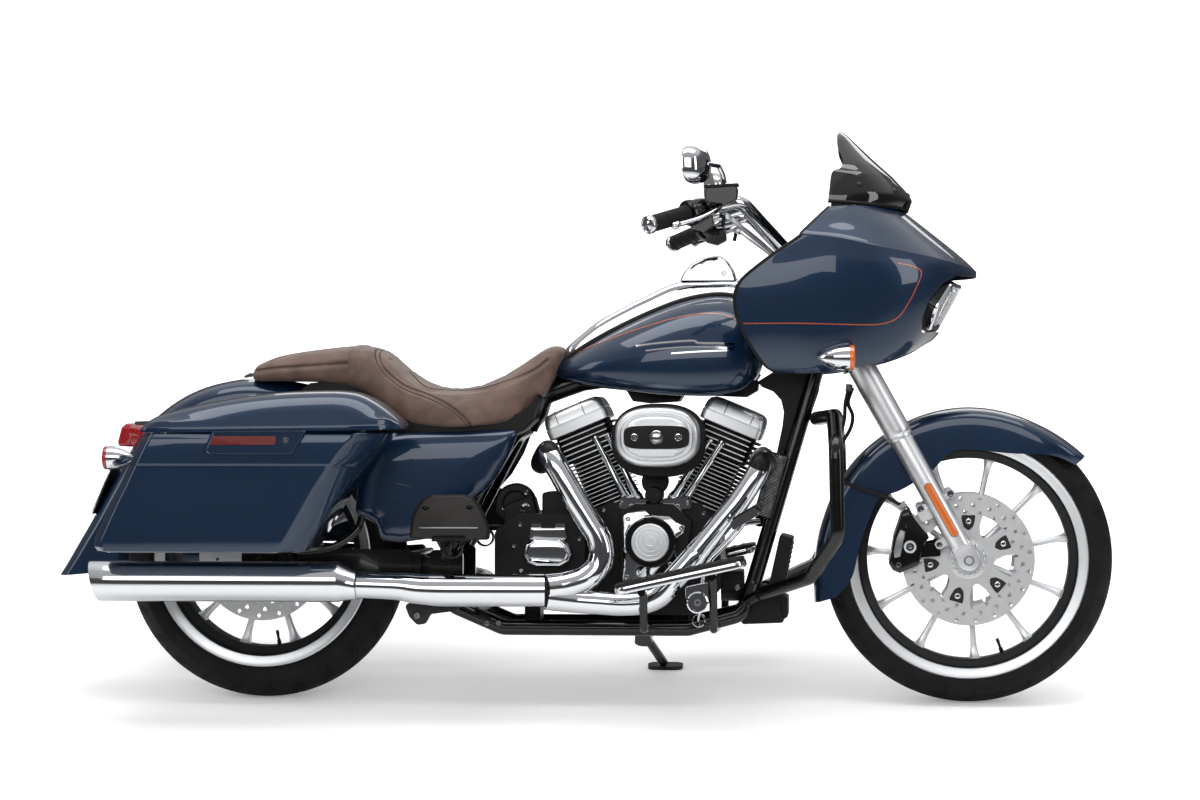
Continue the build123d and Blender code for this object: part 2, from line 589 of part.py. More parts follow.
PORT_ALONG = 404.0
CASE_RIGHT = -120.0
CASE_LEFT = 128.0
BARREL_START = 236.0
HEAD_START = 380.0
ROCKER_START = 443.0
ROCKER_HEIGHT = 58.0
BARREL_FINS = 11
HEAD_FINS = 5

with BuildPart() as crankcase:
    slab([(742, 236), (742, 430), (800, 452), (1006, 452), (1052, 400), (1056, 262),
          (1004, 200), (790, 200)], CASE_RIGHT, CASE_LEFT, 22)
    slab([(545, 262), (545, 388), (596, 428), (750, 428), (750, 262)], CASE_RIGHT - 26, CASE_LEFT, 16)
    # oil filter, low at the front
    rod((1050, 8, 262), (1102, 8, 262), 37)
    # the mounts that rest on the frame
    for mount_x in (620, 960):
        slab([(mount_x - 18, RAIL_Z + 11.3), (mount_x - 18, 270), (mount_x + 18, 270), (mount_x + 18,
                                                                                        RAIL_Z + 11.3)],
             -40, 40)

with BuildPart() as cylinders:
    for tilt in (-V_HALF_ANGLE, V_HALF_ANGLE):
        with BuildSketch(cylinder_plane(tilt, BARREL_START + 12)):
            Circle(BORE_RADIUS)
        extrude(amount=ROCKER_START - BARREL_START - 12)
        for fin in range(BARREL_FINS):
            reach = 62 + fin * 1.2
            with BuildSketch(cylinder_plane(tilt, BARREL_START + 22 + fin * 11)):
                RectangleRounded(2 * reach, 2 * reach + 8, 26)
            extrude(amount=3.4)
        for fin in range(HEAD_FINS):
            with BuildSketch(cylinder_plane(tilt, HEAD_START + fin * 12)):
                RectangleRounded(156, 160, 20)
            extrude(amount=4)
        with BuildSketch(cylinder_plane(tilt, HEAD_START - 2)):
            RectangleRounded(124, 130, 18)
        extrude(amount=ROCKER_START - HEAD_START + 2)
        # the exhaust port, on the side away from the other cylinder
        away = -1 if tilt < 0 else 1
        rod(cylinder_point(tilt, PORT_ALONG, away * 56, -46), cylinder_point(tilt, PORT_ALONG, away * 86,
                                                                             -76), 29)
    # keep the barrels clear of the case
    with BuildSketch(Plane.XY.offset(452.3)):
        with Locations((ENGINE_X, 0)):
            Rectangle(600, 400)
    extrude(amount=-300, mode=Mode.SUBTRACT)

with BuildPart() as rocker_covers:
    for tilt in (-V_HALF_ANGLE, V_HALF_ANGLE):
        with BuildSketch(cylinder_plane(tilt, ROCKER_START + SEAT_GAP)):
            with Locations((0, -12)):
                RectangleRounded(148, 184, 16)
        extrude(amount=ROCKER_HEIGHT * 0.45)
        with BuildSketch(cylinder_plane(tilt, ROCKER_START + ROCKER_HEIGHT * 0.45)):
            with Locations((0, -12)):
                RectangleRounded(138, 174, 16)
        extrude(amount=ROCKER_HEIGHT * 0.55, taper=12)

with BuildPart() as pushrod_tubes:
    for top, foot in (((764, 604), (840, 462)), ((795, 606), (868, 462)), ((1062, 594), (966, 462)), ((1031,
                                                                                                       598),
                                                                                                       (938,
                                                                                                        462))):
        low, high = Vector(foot[0], -96, foot[1]), Vector(top[0], -96, top[1])
        rod(low, high, 8.5)
        rod(low + (high - low) * 0.10, low + (high - low) * 0.24, 11)
        rod(low + (high - low) * 0.66, low + (high - low) * 0.71, 11)
    for block_x in (854, 952):
        slab([(block_x - 32, 425), (block_x - 26, 470), (block_x + 26, 470), (block_x + 32, 425)],
             CASE_RIGHT - 14, CASE_RIGHT - SEAT_GAP, 4)
        slab([(block_x - 26, 453), (block_x - 26, 470), (block_x + 26, 470), (block_x + 26, 453)],
             CASE_RIGHT - 14, -86, 3)

with BuildPart() as engine_covers:
    slab([(838, 262), (836, 424), (868, 446), (948, 446), (980, 414), (962, 292), (930, 262)],
         CASE_RIGHT - 46, CASE_RIGHT - 15, 10)
    for radius, out in ((56, 9), (48, 14), (34, 16), (14, 18)):
        with BuildSketch(side_plane(CASE_RIGHT - 46)):
            with Locations((899, 366)):
                Circle(radius)
        extrude(amount=out)
    slab([(838, 262), (836, 420), (960, 420), (960, 292), (930, 262)], CASE_RIGHT - 15,
         CASE_RIGHT - SEAT_GAP, 8)
    # the transmission side cover
    slab([(607, 340), (625, 318), (640, 312), (700, 312), (724, 340), (714, 372), (640, 378)],
         CASE_RIGHT - 66, CASE_RIGHT - 26 - SEAT_GAP, 6)
    slab([(626, 370), (632, 397), (706, 397), (712, 370)], CASE_RIGHT - 54, CASE_RIGHT - 26 - SEAT_GAP, 4)

AIR_CLEANER = (915.0, 603.0)
with BuildPart() as air_cleaner:
    with BuildSketch(side_plane(-128)):
        with Locations(AIR_CLEANER):
            RectangleRounded(214, 168, 70)
    extrude(amount=16)
    with BuildSketch(side_plane(-144)):
        with Locations(AIR_CLEANER):
            SlotOverall(190, 134)
    extrude(amount=72)
    with BuildSketch(side_plane(-216)):
        with Locations(AIR_CLEANER):
            SlotOverall(164, 108)
    extrude(amount=6)
    with BuildSketch(side_plane(-222)):
        with Locations(AIR_CLEANER):
            RectangleRounded(140, 46, 12)
    extrude(amount=4)
    with BuildSketch(side_plane(-226)):
        with Locations(AIR_CLEANER):
            Circle(14)
    extrude(amount=3)
    # steps pressed into the face above and below the band
    with BuildSketch(side_plane(-222)):
        with Locations((AIR_CLEANER[0], AIR_CLEANER[1] - 38), (AIR_CLEANER[0], AIR_CLEANER[1] + 38)):
            SlotOverall(104, 14)
    extrude(amount=-3, mode=Mode.SUBTRACT)
    with BuildSketch(side_plane(20)):
        with Locations((905, 606)):
            Circle(26)
    extrude(amount=150)
    rod((830.5, 0, 606), (975.5, 0, 606), 18)

with BuildPart() as primary_cover:
    oval = [(566, 262), (600, 214), (960, 206), (1024, 236), (1034, 352), (990, 412), (820, 420), (610,
                                                                                                   396),
                                                                                                   (566, 352)]
    slab(oval, CASE_LEFT + SEAT_GAP, CASE_LEFT + 66, 36)
    with BuildSketch(side_plane(CASE_LEFT + 66)):
        with Locations((672, 312)):
            Circle(74)
        with Locations((938, 310)):
            Circle(52)
    extrude(amount=-12)

# ================================================================ exhaust
MUFFLER_Z = 281.0
MUFFLER_TAIL = -349.0
MUFFLER_FRONT = 253.0
INLET_Z = MUFFLER_Z - 8
PIPE_RADIUS = 28.0
COLLECTOR_RADIUS = 35.0
HEADER_RADIUS = 26.0
EXHAUST_Y = -232.0

with BuildPart() as mufflers:
    for side in (-1, 1):
        with BuildSketch(Plane(origin=(MUFFLER_TAIL, side * MUFFLER_Y, MUFFLER_Z), z_dir=(1, 0, 0))):
            Circle(MUFFLER_RADIUS)
        extrude(amount=213 - MUFFLER_TAIL)
        with BuildSketch(Plane(origin=(213, side * MUFFLER_Y, MUFFLER_Z), z_dir=(1, 0, 0))):
            Circle(MUFFLER_RADIUS)
        with BuildSketch(Plane(origin=(MUFFLER_FRONT, side * MUFFLER_Y, INLET_Z), z_dir=(1, 0, 0))):
            Circle(PIPE_RADIUS + 3)
        loft()
        rod((MUFFLER_TAIL - 1, side * MUFFLER_Y, MUFFLER_Z), (MUFFLER_TAIL + 120, side * MUFFLER_Y,
                                                              MUFFLER_Z),
            MUFFLER_RADIUS - 4, Mode.SUBTRACT)

COLLECTOR_INLET = Vector(690, -258, 243)
COLLECTOR_BEND = Vector(560, -MUFFLER_Y, 264)
CROSS_X = 526.0
CROSS_Z = 233.0

with BuildPart() as exhaust_headers:
    # from the rear cylinder down to the collector, and back to the right-hand muffler
    tube([cylinder_point(-V_HALF_ANGLE, PORT_ALONG, -86 - SEAT_GAP, -76 - SEAT_GAP),
          cylinder_point(-V_HALF_ANGLE, PORT_ALONG, -116, -106), (662, EXHAUST_Y, 552), (796, EXHAUST_Y, 385),
          (796, EXHAUST_Y, 312), (735, -250, 306), (600, -280, 272)], HEADER_RADIUS, 24)
    tube([COLLECTOR_INLET, COLLECTOR_BEND, (413, -MUFFLER_Y, COLLECTOR_BEND.Z)], COLLECTOR_RADIUS, 60)
    rod((420, -MUFFLER_Y, INLET_Z), (MUFFLER_FRONT + SEAT_GAP, -MUFFLER_Y, INLET_Z), PIPE_RADIUS)

with BuildPart() as front_header:
    forward = (COLLECTOR_INLET - COLLECTOR_BEND).normalized()
    tube([cylinder_point(V_HALF_ANGLE, PORT_ALONG, 86 + SEAT_GAP, -76 - SEAT_GAP),
          cylinder_point(V_HALF_ANGLE, PORT_ALONG, 106, -96), (1152, EXHAUST_Y, 536), (1020, EXHAUST_Y, 366),
          (930, EXHAUST_Y + 4, 240), (860, -226, 220), COLLECTOR_INLET + forward * 70,
          COLLECTOR_INLET + forward * SEAT_GAP], HEADER_RADIUS - 4, 16)

with BuildPart() as exhaust_crossover:
    # under the transmission, from the collector to the left-hand muffler
    tube([(CROSS_X, -MUFFLER_Y + COLLECTOR_RADIUS + SEAT_GAP, COLLECTOR_BEND.Z), (CROSS_X, -225,
                                                                                  COLLECTOR_BEND.Z),
          (CROSS_X, -180, CROSS_Z), (CROSS_X - 10, 190, CROSS_Z), (470, MUFFLER_Y, 262),
          (400, MUFFLER_Y, INLET_Z), (MUFFLER_FRONT + SEAT_GAP, MUFFLER_Y, INLET_Z)], 20, 30)

# ================================================================ lower fittings
GUARD_HEIGHT = 0.66           # of the way up the downtube
with BuildPart() as engine_guard:
    clear = (FRAME_TUBE + BAR_RADIUS + SEAT_GAP) / 0.955
    upper = downtube_point(GUARD_HEIGHT, 0, clear)
    path = [(upper[0], -2, upper[2]), (upper[0], 90, upper[2]), (upper[0] + 40, 240, upper[2] + 6),
            (upper[0] + 46, 352, upper[2] - 60), (upper[0] + 50, 352, 390), (upper[0] - 10, 282, 296),
            (GUARD_FOOT[0] + 9, GUARD_FOOT[1] + 14, GUARD_FOOT[2] + 5)]
    tube(path, BAR_RADIUS, 44)
    both_sides()

with BuildPart() as oil_cooler:
    front = RAIL_FRONT[0]
    cradle = FRAME_SPREAD - 46.5
    slab([(front + x, z) for x, z in ((46, 190), (46, 240), (104, 240), (104, 190))], 1.5 - cradle,
         cradle - 1.5, 8)
    slab([(front + x, z) for x, z in ((60, 262), (90, 254), (116, 372), (86, 380))], -74, 74, 5)
    slab([(front + x, z) for x, z in ((50, 236), (60, 266), (90, 262), (86, 236))], -34, 34)
    slab([(front + x, z) for x, z in ((16, 206), (16, 226), (50, 226), (50, 206))], -cradle, cradle, 4)
    # cooling fins across the front of the radiator
    for fin in range(9):
        x, z = front + 93 + fin * 2.2, 268 + fin * 11
        slab([(x - 2, z), (x + 5, z), (x + 5, z + 4), (x - 2, z + 4)], -70, 70)

with BuildPart() as rider_floorboards:
    board = [BOARD_BACK, (BOARD_BACK[0], BOARD_BACK[1] + 20), (BOARD_FRONT[0] - 4, BOARD_FRONT[1] + 20),
             BOARD_FRONT]
    slab(board, BOARD_Y, BOARD_Y + BOARD_WIDTH, 5)
    both_sides()

with BuildPart() as foot_controls:
    # brake pedal on the right, with the gear lever on the left
    tube([(1010, -FRAME_SPREAD - 13.6, 176), (1010, -268, 206), (1026, -274, 322), (1118, -276, 430)], 8, 22)
    slab([(1084, 428), (1142, 452), (1148, 440), (1092, 414)], -340, -272, 4)
    tube([(1128, 268, 398), (1010, 226, 384), (860, 226, 360), (780, 268, 372)], 8, 20)
    for peg_x, peg_z in ((1128, 398), (780, 372)):
        rod((peg_x, 264, peg_z), (peg_x, 324, peg_z), 13)
    rod((996, CASE_LEFT + 66.3, 382), (996, 228, 382), 12)

with BuildPart() as passenger_floorboards:
    slab([(376, 377), (382, 425), (412, 474), (500, 478), (534, 452), (556, 396), (553, 377)], 300, 326, 14)
    tube([(440, 126.4, 330), (440, 210, 338), (460, 304, 384)], 12, 30)
    rod((420, 290, 384), (510, 290, 384), 9)
    both_sides()

# ================================================================ bodywork
TANK_MIDDLE = 790.0
TANK_ROWS = (
    # along X, tilt in degrees, bottom, widest height, shoulder, crown, half width
    (682, -20, -46, -30, -14, 0, 62),
    (762, -6, -72, -30, 30, 52, 122),
    (884, 0, -84, -18, 82, 112, 180),
    (1004, 8, -92, 0, 116, 148, 200),
    (1110, 17, -62, 0, 92, 130, 168),
)

with BuildPart() as fuel_tank:
    for x, tilt, bottom, widest, shoulder, crown, half_width in TANK_ROWS:
        lean = math.radians(tilt)
        with BuildSketch(Plane(origin=(x, 0, TANK_MIDDLE), x_dir=(0, 1, 0), z_dir=(math.cos(lean), 0,
                                                                                   math.sin(lean)))):
            with BuildLine():
                Line((-0.72 * half_width, bottom), (0.72 * half_width, bottom))
                ThreePointArc((0.72 * half_width, bottom), (half_width, widest), (0.66 * half_width,
                                                                                  shoulder))
                ThreePointArc((0.66 * half_width, shoulder), (0, crown), (-0.66 * half_width, shoulder))
                ThreePointArc((-0.66 * half_width, shoulder), (-half_width, widest), (-0.72 * half_width,
                                                                                      bottom))
            make_face()
    loft()
    # the tunnel over the backbone
    slab([(TUNNEL[0][0], 600), *TUNNEL, (TUNNEL[-1][0], 600)], -36, 36, mode=Mode.SUBTRACT)

CONSOLE_HALF = 52.0
DOOR_HINGE = (1088.0, 961.0)
with BuildPart() as tank_console:
    slab([(700, 785), (700, 806), (776, 866), (846, 904), (884, 922), (950, 954), (1094, 956), (1104, 930),
          (1104, 880), (900, 840)], -CONSOLE_HALF, CONSOLE_HALF, 5)
    add(fuel_tank.part, mode=Mode.SUBTRACT)
    rod((1020, 0, 950), (1020, 0, 976), 27)

with BuildPart() as fuel_door:
    lid = [(958, 956.5), (984, 996), (1022, 1011), (1050, 1013), (1076, 994), (1086, 956.5)]
    inside = [(966, 950), (988, 990), (1023, 1006), (1049, 1008), (1070, 991), (1080, 950)]
    slab(lid, -CONSOLE_HALF, CONSOLE_HALF)
    slab(inside, 4 - CONSOLE_HALF, CONSOLE_HALF - 4, mode=Mode.SUBTRACT)

with BuildPart() as seat:
    for x, bottom, top, half_width in SEAT_ROWS:
        rise = top - bottom
        with BuildSketch(Plane.YZ.offset(x)):
            with BuildLine():
                Line((-0.9 * half_width, bottom), (0.9 * half_width, bottom))
                ThreePointArc((0.9 * half_width, bottom), (half_width, bottom + 0.4 * rise),
                              (0.8 * half_width, bottom + 0.85 * rise))
                ThreePointArc((0.8 * half_width, bottom + 0.85 * rise), (0, top), (-0.8 * half_width,
                                                                                   bottom + 0.85 * rise))
                ThreePointArc((-0.8 * half_width, bottom + 0.85 * rise), (-half_width, bottom + 0.4 * rise),
                              (-0.9 * half_width, bottom))
            make_face()
    loft(ruled=True)
    slab([(660, 640), (653, 726), (667, 768), (681, 792), (760, 862), (760, 640)], -200, 200,
         mode=Mode.SUBTRACT)
    # the channel over the backbone
    slab([(560, 600), (560, 660), (612, 722), (650, 752), (720, 776), (720, 600)], -34, 34,
         mode=Mode.SUBTRACT)

with BuildPart() as side_covers:
    for post_x in (330, 470):
        rod((post_x, RACK_Y + 12 + SEAT_GAP, 596), (post_x, 152, 596), 9)
    slab([(240, 560), (290, 604), (598, 612), (576, 554), (521, 477), (385, 370), (288, 367), (225, 430)],
         150, 178, 8)
    both_sides()

REAR_FENDER_ROWS = (
    # degrees from straight ahead, radius of the crown, radius of the skirt's edge
    (40, 400, 340), (58, 402, 280), (76, 402, 262), (96, 406, 262), (112, 410, 266), (126, 408, 276),
    (150, 386, 296), (172, 420, 312), (184.7, 476, 326),
)
REAR_CROWN = 30.0             # fall of the crown from the middle to the shoulder

with BuildPart() as rear_fender:
    for degrees, crown, edge in REAR_FENDER_ROWS:
        turn = math.radians(degrees)
        out = Vector(math.cos(turn), 0, math.sin(turn))
        half = REAR_FENDER_HALF
        inner = half - FENDER_WALL
        shoulder = crown - REAR_CROWN
        with BuildSketch(Plane(origin=REAR_AXLE, x_dir=(0, 1, 0), z_dir=out.cross(Vector(0, 1,
                                                                                         0)) * -1)) as band:
            with BuildLine():
                Polyline((-inner, edge), (-half, edge), (-half, shoulder))
                ThreePointArc((-half, shoulder), (0, crown), (half, shoulder))
                Polyline((half, shoulder), (half, edge), (inner, edge), (inner, shoulder - 2))
                ThreePointArc((inner, shoulder - 2), (0, crown - FENDER_WALL), (-inner, shoulder - 2))
                Line((-inner, shoulder - 2), (-inner, edge))
            make_face()
    loft(ruled=True)

def fender_back(z):
    """Where the back of the rear fender stands at a height, with room for a seat."""
    top = around(REAR_AXLE, 408, 126)
    low = around(REAR_AXLE, 386, 150)
    return top[0] + (low[0] - top[0]) * (top[1] - z) / (top[1] - low[1]) - 1.4 * SEAT_GAP


with BuildPart() as tail_light:
    slab([(fender_back(636), 636), (-318, 634), (-342, 600), (-344, 578), (fender_back(574), 574)], -62, 62)

with BuildPart() as rear_signal_bar:
    rod((-326, -190, 554), (-326, 190, 554), 9)
    slab([(fender_back(562), 562), (-330, 562), (-330, 546), (fender_back(546), 546)], -40, 40)
    for side in (-1, 1):
        rod((-337, side * 190, 554), (-292, side * 190, 554), 28)
        with BuildSketch(Plane(origin=(-292, side * 190, 554), z_dir=(1, 0, 0))):
            Circle(28)
        extrude(amount=22, taper=30)
    # the plate holder, off the back of the fender
    slab([(-348, 530), (-344, 528), (-393, 424), (-397, 426)], -90, 90)
    slab([(-350, 528), (-346, 528), (-326, 550), (-330, 554)], -34, 34)

# ================================================================ saddlebags
BAG_TOP = 612.0
BAG_OUTER = BAG_INNER + BAG_WIDTH
BAG_STATIONS = (
    # depth across, then the inset of the whole outline
    (0.0, 0.0),
    (0.88, 0.0),
    (1.0, 12.0),
)


def bag_outline(depth, inset, top):
    """The side outline of a saddlebag: 0 at its inner face, 1 at its outer face."""
    low = 349 + inset
    return [(-204 + inset, top), (-322 + inset, 368 + inset), (-302 + inset, low),
            (152 - 36 * depth - inset, low), (200 - 44 * depth - inset,
                                              372 + inset), (347 - 52 * depth - inset, top)]


def bag_loft(wall, top, mode):
    """The saddlebag's body, drawn in by a wall on every side but the top."""
    sections = []
    for depth, inset in BAG_STATIONS:
        y = BAG_INNER + depth * BAG_WIDTH
        y = y + wall if depth == 0 else y - wall
        with BuildSketch(side_plane(-y)) as section:
            outline(bag_outline(depth, inset + wall, top))
        sections.append(section.sketch.face())
    loft(sections, ruled=True, mode=mode)


with BuildPart() as saddlebag_right:
    bag_loft(0.0, BAG_TOP, Mode.ADD)
    bag_loft(BAG_WALL, BAG_TOP + 2, Mode.SUBTRACT)
    # the rail brackets on the inner face
    for rail_x in (-100, 110):
        slab([(rail_x - 16, 584), (rail_x - 16, 606), (rail_x + 16, 606), (rail_x + 16, 584)],
             -BAG_INNER, -RACK_Y - 12 - SEAT_GAP)

with BuildPart() as saddlebag_left:
    mirror(saddlebag_right.part, about=Plane.XZ)

LID_STATIONS = (
    # distance in from the outer face, height of the crown, pull-in of the ends
    (216.0, 66.0, 14.0),
    (150.0, 92.0, 0.0),
    (34.0, 84.0, 0.0),
    (0.0, 28.0, 6.0),
)


def lid_loft(wall, bottom, mode):
    """A saddlebag lid, drawn in by a wall on every side but the bottom."""
    sections = []
    for inward, crown, pull in LID_STATIONS:
        y = BAG_OUTER - inward
        y += wall if inward > 200 else 0
        y -= wall if inward == 0 else 0
        rise = crown - wall
        back = -208 + pull + wall
        front = 366 - pull - wall - (0 if inward > 100 else 20)
        with BuildSketch(side_plane(-y)) as section:
            outline([(back, bottom), (back + 6, BAG_TOP + 0.2 * rise), (back + 50, BAG_TOP + 0.55 * rise),
                     (-25, BAG_TOP + 0.86 * rise), (123, BAG_TOP + rise), (240, BAG_TOP + 0.98 * rise),
                     (front - 42, BAG_TOP + 0.58 * rise), (front, BAG_TOP + 0.16 * rise), (front, bottom)])
        sections.append(section.sketch.face())
    loft(sections, ruled=True, mode=mode)


with BuildPart() as bag_lid_right:
    lid_loft(0.0, BAG_TOP + SEAT_GAP, Mode.ADD)
    lid_loft(BAG_WALL, BAG_TOP - 2, Mode.SUBTRACT)

with BuildPart() as bag_lid_left:
    mirror(bag_lid_right.part, about=Plane.XZ)

LID_HINGE = (BAG_OUTER - 216 - 5, BAG_TOP + 2)
with BuildPart() as bag_latches:
    slab([(-52, 574), (-40, 604), (160, 604), (134, 571)], BAG_OUTER + SEAT_GAP, BAG_OUTER + 9, 5)
    both_sides()

# ================================================================ fairing
FAIRING_LOW = (
    # height, then ahead of the front axle: rear edge, shoulder, nose; half widths: rear, shoulder
    (748, -416, -280, -242, 262, 236),
    (800, -476, -212, -110, 292, 244),
    (880, -512, -170, -50, 306, 252),
    (975, -494, -170, 12, 312, 262),
)
FAIRING_HIGH = (
    (975, -494, -170, 12, 312, 262),
    (1045, -376, -190, -60, 300, 226),
    (1120, -298, -212, -150, 216, 168),
)


def fairing_half(rows, wall, behind, top_cut, low_cut, mode):
    """One storey of the fairing: a loft of plan sections, drawn in by a wall."""
    sections = []
    for height, rear, shoulder, nose, rear_half, front_half in rows:
        level = height
        if height == FAIRING_HIGH[-1][0]:
            level -= top_cut
        if height == FAIRING_LOW[0][0]:
            level -= low_cut
        with BuildSketch(Plane.XY.offset(level)) as section:
            with BuildLine() as edge:
                Line((FX + rear - behind, -rear_half + wall), (FX + shoulder - wall / 2, -front_half + wall))
                ThreePointArc((FX + shoulder - wall / 2, -front_half + wall), (FX + nose - wall * 1.4, 0),
                              (FX + shoulder - wall / 2, front_half - wall))
                Line((FX + shoulder - wall / 2, front_half - wall), (FX + rear - behind, rear_half - wall))
                Line((FX + rear - behind, rear_half - wall), (FX + rear - behind, -rear_half + wall))
            make_face(edge.edges())
        sections.append(section.sketch.face())
    loft(sections, mode=mode)


def fairing_solid(wall, behind, top_cut, low_cut, mode):
    """The whole fairing form: two storeys that meet along the brow."""
    fairing_half(FAIRING_LOW, wall, behind, 0, low_cut, mode)
    fairing_half(FAIRING_HIGH, wall, behind, top_cut, 0, mode)


LAMP_BOX = [(-92, 838), (-64, 958), (60, 958), (60, 838)]
LAMP_HALF = 236.0
with BuildPart() as fairing:
    fairing_solid(0.0, 0, 0, 0, Mode.ADD)
    fairing_solid(FAIRING_WALL, 20, FAIRING_WALL, 20, Mode.SUBTRACT)
    slab([(FX + x, z) for x, z in LAMP_BOX], -LAMP_HALF, LAMP_HALF, mode=Mode.SUBTRACT)
    # the notch that the fork turns in
    with BuildSketch(Plane.XY.offset(700)):
        with Locations((FX - 200, 0)):
            RectangleRounded(180, 330, 40)
    extrude(amount=160, mode=Mode.SUBTRACT)

with BuildPart() as headlamp:
    fairing_solid(2.0, 0, 0, 0, Mode.ADD)
    slab([(FX - 91.5, 838 + SEAT_GAP), (FX - 63.5, 958 - SEAT_GAP), (FX + 60, 958 - SEAT_GAP), (FX + 60,
                                                                                                838 + SEAT_GAP)],
         SEAT_GAP - LAMP_HALF, LAMP_HALF - SEAT_GAP, mode=Mode.INTERSECT)

DASH = [(-292, 1100), (-222, 1052), (-182, 960), (-160, 812), (-142, 812), (-158, 965), (-196, 1070), (-272,
                                                                                                       1114)]
with BuildPart() as dashboard:
    fairing_solid(FAIRING_WALL + SEAT_GAP, 20, FAIRING_WALL + SEAT_GAP, 20, Mode.ADD)
    slab([(FX + x, z) for x, z in DASH], -330, 330, mode=Mode.INTERSECT)
    # two dials and two loudspeakers stand out of the panel
    for y, z, radius, out in ((-66, 1050, 50, 34), (66, 1050, 50, 34), (-170, 1000, 58, 22), (170, 1000, 58,
                                                                                              22)):
        ahead = FX - 222 + (1052 - z) * 0.43
        with BuildSketch(Plane(origin=(ahead + 14, y, z), z_dir=(-0.86, 0, 0.5))):
            Circle(radius)
        extrude(amount=out)
    rod((FX - 196, -40, 930), (FX - 150, -40, 930), 10)
    rod((FX - 196, 40, 930), (FX - 150, 40, 930), 10)
    rod((FX - 196, -160, 930), (FX - 196, 160, 930), 12 + SEAT_GAP, Mode.SUBTRACT)

SIGNAL = (-300.0, 302.0, 778.0)   # ahead of the front axle, out, up
with BuildPart() as front_signals:
    for side in (-1, 1):
        x, y, z = FX + SIGNAL[0], side * SIGNAL[1], SIGNAL[2]
        rod((x, side * 258.5, z), (x, y, z), 10)
        rod((x - 6, y, z), (x + 40, y, z), 29)
        for start, ahead, run, narrowing in ((x - 6, -1, 32, 24), (x + 40, 1, 8, 20)):
            with BuildSketch(Plane(origin=(start, y, z), z_dir=(ahead, 0, 0))):
                Circle(29 if ahead < 0 else 27)
            extrude(amount=run, taper=narrowing)

SCREEN_ROWS = (
    # height, then ahead of the front axle: front, sides; half width
    (1120.3, -158, -284, 196),
    (1190, -206, -300, 186),
    (1250, -252, -306, 150),
    (1301, -288, -318, 84),
)
with BuildPart() as windscreen:
    for height, front, sides, half in SCREEN_ROWS:
        with BuildSketch(Plane.XY.offset(height)):
            with BuildLine():
                ThreePointArc((FX + sides, -half), (FX + front, 0), (FX + sides, half))
                Line((FX + sides, half), (FX + sides, half - 5))
                ThreePointArc((FX + sides, half - 5), (FX + front - 4, 0), (FX + sides, 5 - half))
                Line((FX + sides, 5 - half), (FX + sides, -half))
            make_face()
    loft()

# ================================================================ side stand
with BuildPart() as side_stand:
    rod(STAND_PIVOT, Vector(*STAND_PIVOT) + STAND_LEG, 11)
    with BuildSketch(PAD):
        RectangleRounded(84, 52, 20)
    extrude(amount=PAD_THICKNESS)
    with BuildSketch(STAND_EYE):
        Circle(21)
    extrude(amount=STAND_CHEEK - 1, both=True)
    with BuildSketch(STAND_EYE):
        Circle(8 + RUNNING_FIT)
    extrude(amount=30, both=True, mode=Mode.SUBTRACT)

# ================================================================ lean and write
PIECES = {
    "main_frame": main_frame, "swingarm": swingarm, "shock_absorbers": shock_absorbers,
    "rear_caliper": rear_caliper,
    "crankcase": crankcase, "cylinders": cylinders, "rocker_covers": rocker_covers,
    "pushrod_tubes": pushrod_tubes, "engine_covers": engine_covers, "air_cleaner": air_cleaner,
    "primary_cover": primary_cover, "mufflers": mufflers, "exhaust_headers": exhaust_headers,
    "front_header": front_header, "exhaust_crossover": exhaust_crossover,
    "engine_guard": engine_guard, "oil_cooler": oil_cooler, "rider_floorboards": rider_floorboards,
    "foot_controls": foot_controls, "passenger_floorboards": passenger_floorboards,
    "fuel_tank": fuel_tank, "tank_console": tank_console, "fuel_door": fuel_door, "seat": seat,
    "side_covers": side_covers, "rear_fender": rear_fender, "tail_light": tail_light,
    "rear_signal_bar": rear_signal_bar, "saddlebag_right": saddlebag_right,
    "saddlebag_left": saddlebag_left, "bag_lid_right": bag_lid_right, "bag_lid_left": bag_lid_left,
    "bag_latches": bag_latches, "fairing": fairing, "headlamp": headlamp, "dashboard": dashboard,
    "windscreen": windscreen, "side_stand": side_stand, "front_signals": front_signals,
    "fork_sliders": fork_sliders, "fork_covers": fork_covers, "triple_clamps": triple_clamps,
    "handlebar": handlebar, "hand_grips": hand_grips, "hand_controls": hand_controls,
    "mirrors": mirrors, "front_fender": front_fender, "brake_calipers": brake_calipers,
    "front_axle": front_axle, "front_wheel": front_wheel,
    "front_tyre": front_tyre, "front_discs": front_discs, "rear_wheel": rear_wheel,
    "rear_tyre": rear_tyre, "rear_disc_and_pulley": rear_disc_and_pulley,
}
LEANED = Location((0, 0, LIFT), (-LEAN, 0, 0))


def middle_of(axis_index):
    """The middle of the leaned machine along one axis."""
    boxes = [(LEANED * piece.part).bounding_box() for piece in PIECES.values()]
    low = min(tuple(box.min)[axis_index] for box in boxes)
    high = max(tuple(box.max)[axis_index] for box in boxes)
    return (low + high) / 2


PARKED = Location((-middle_of(0), -middle_of(1), LIFT), (-LEAN, 0, 0))

if __name__ == "__main__":
    os.makedirs("parts", exist_ok=True)
    for name, piece in PIECES.items():
        parked = PARKED * piece.part
        parked.label = name
        export_step(parked, f"parts/{name}.step")
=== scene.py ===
# %% [markdown]
# # A touring cruiser motorcycle, dressed for its portrait
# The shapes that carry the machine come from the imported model, which is loaded as a fixed
# frame.  This notebook gives each of them a real finish, and stands finer pieces in for the
# ones a maker would form, cast, sew or plate.

# %% Load the frame
import json
import math

import bmesh
import bpy
from mathutils import Matrix, Vector
from mathutils.bvhtree import BVHTree


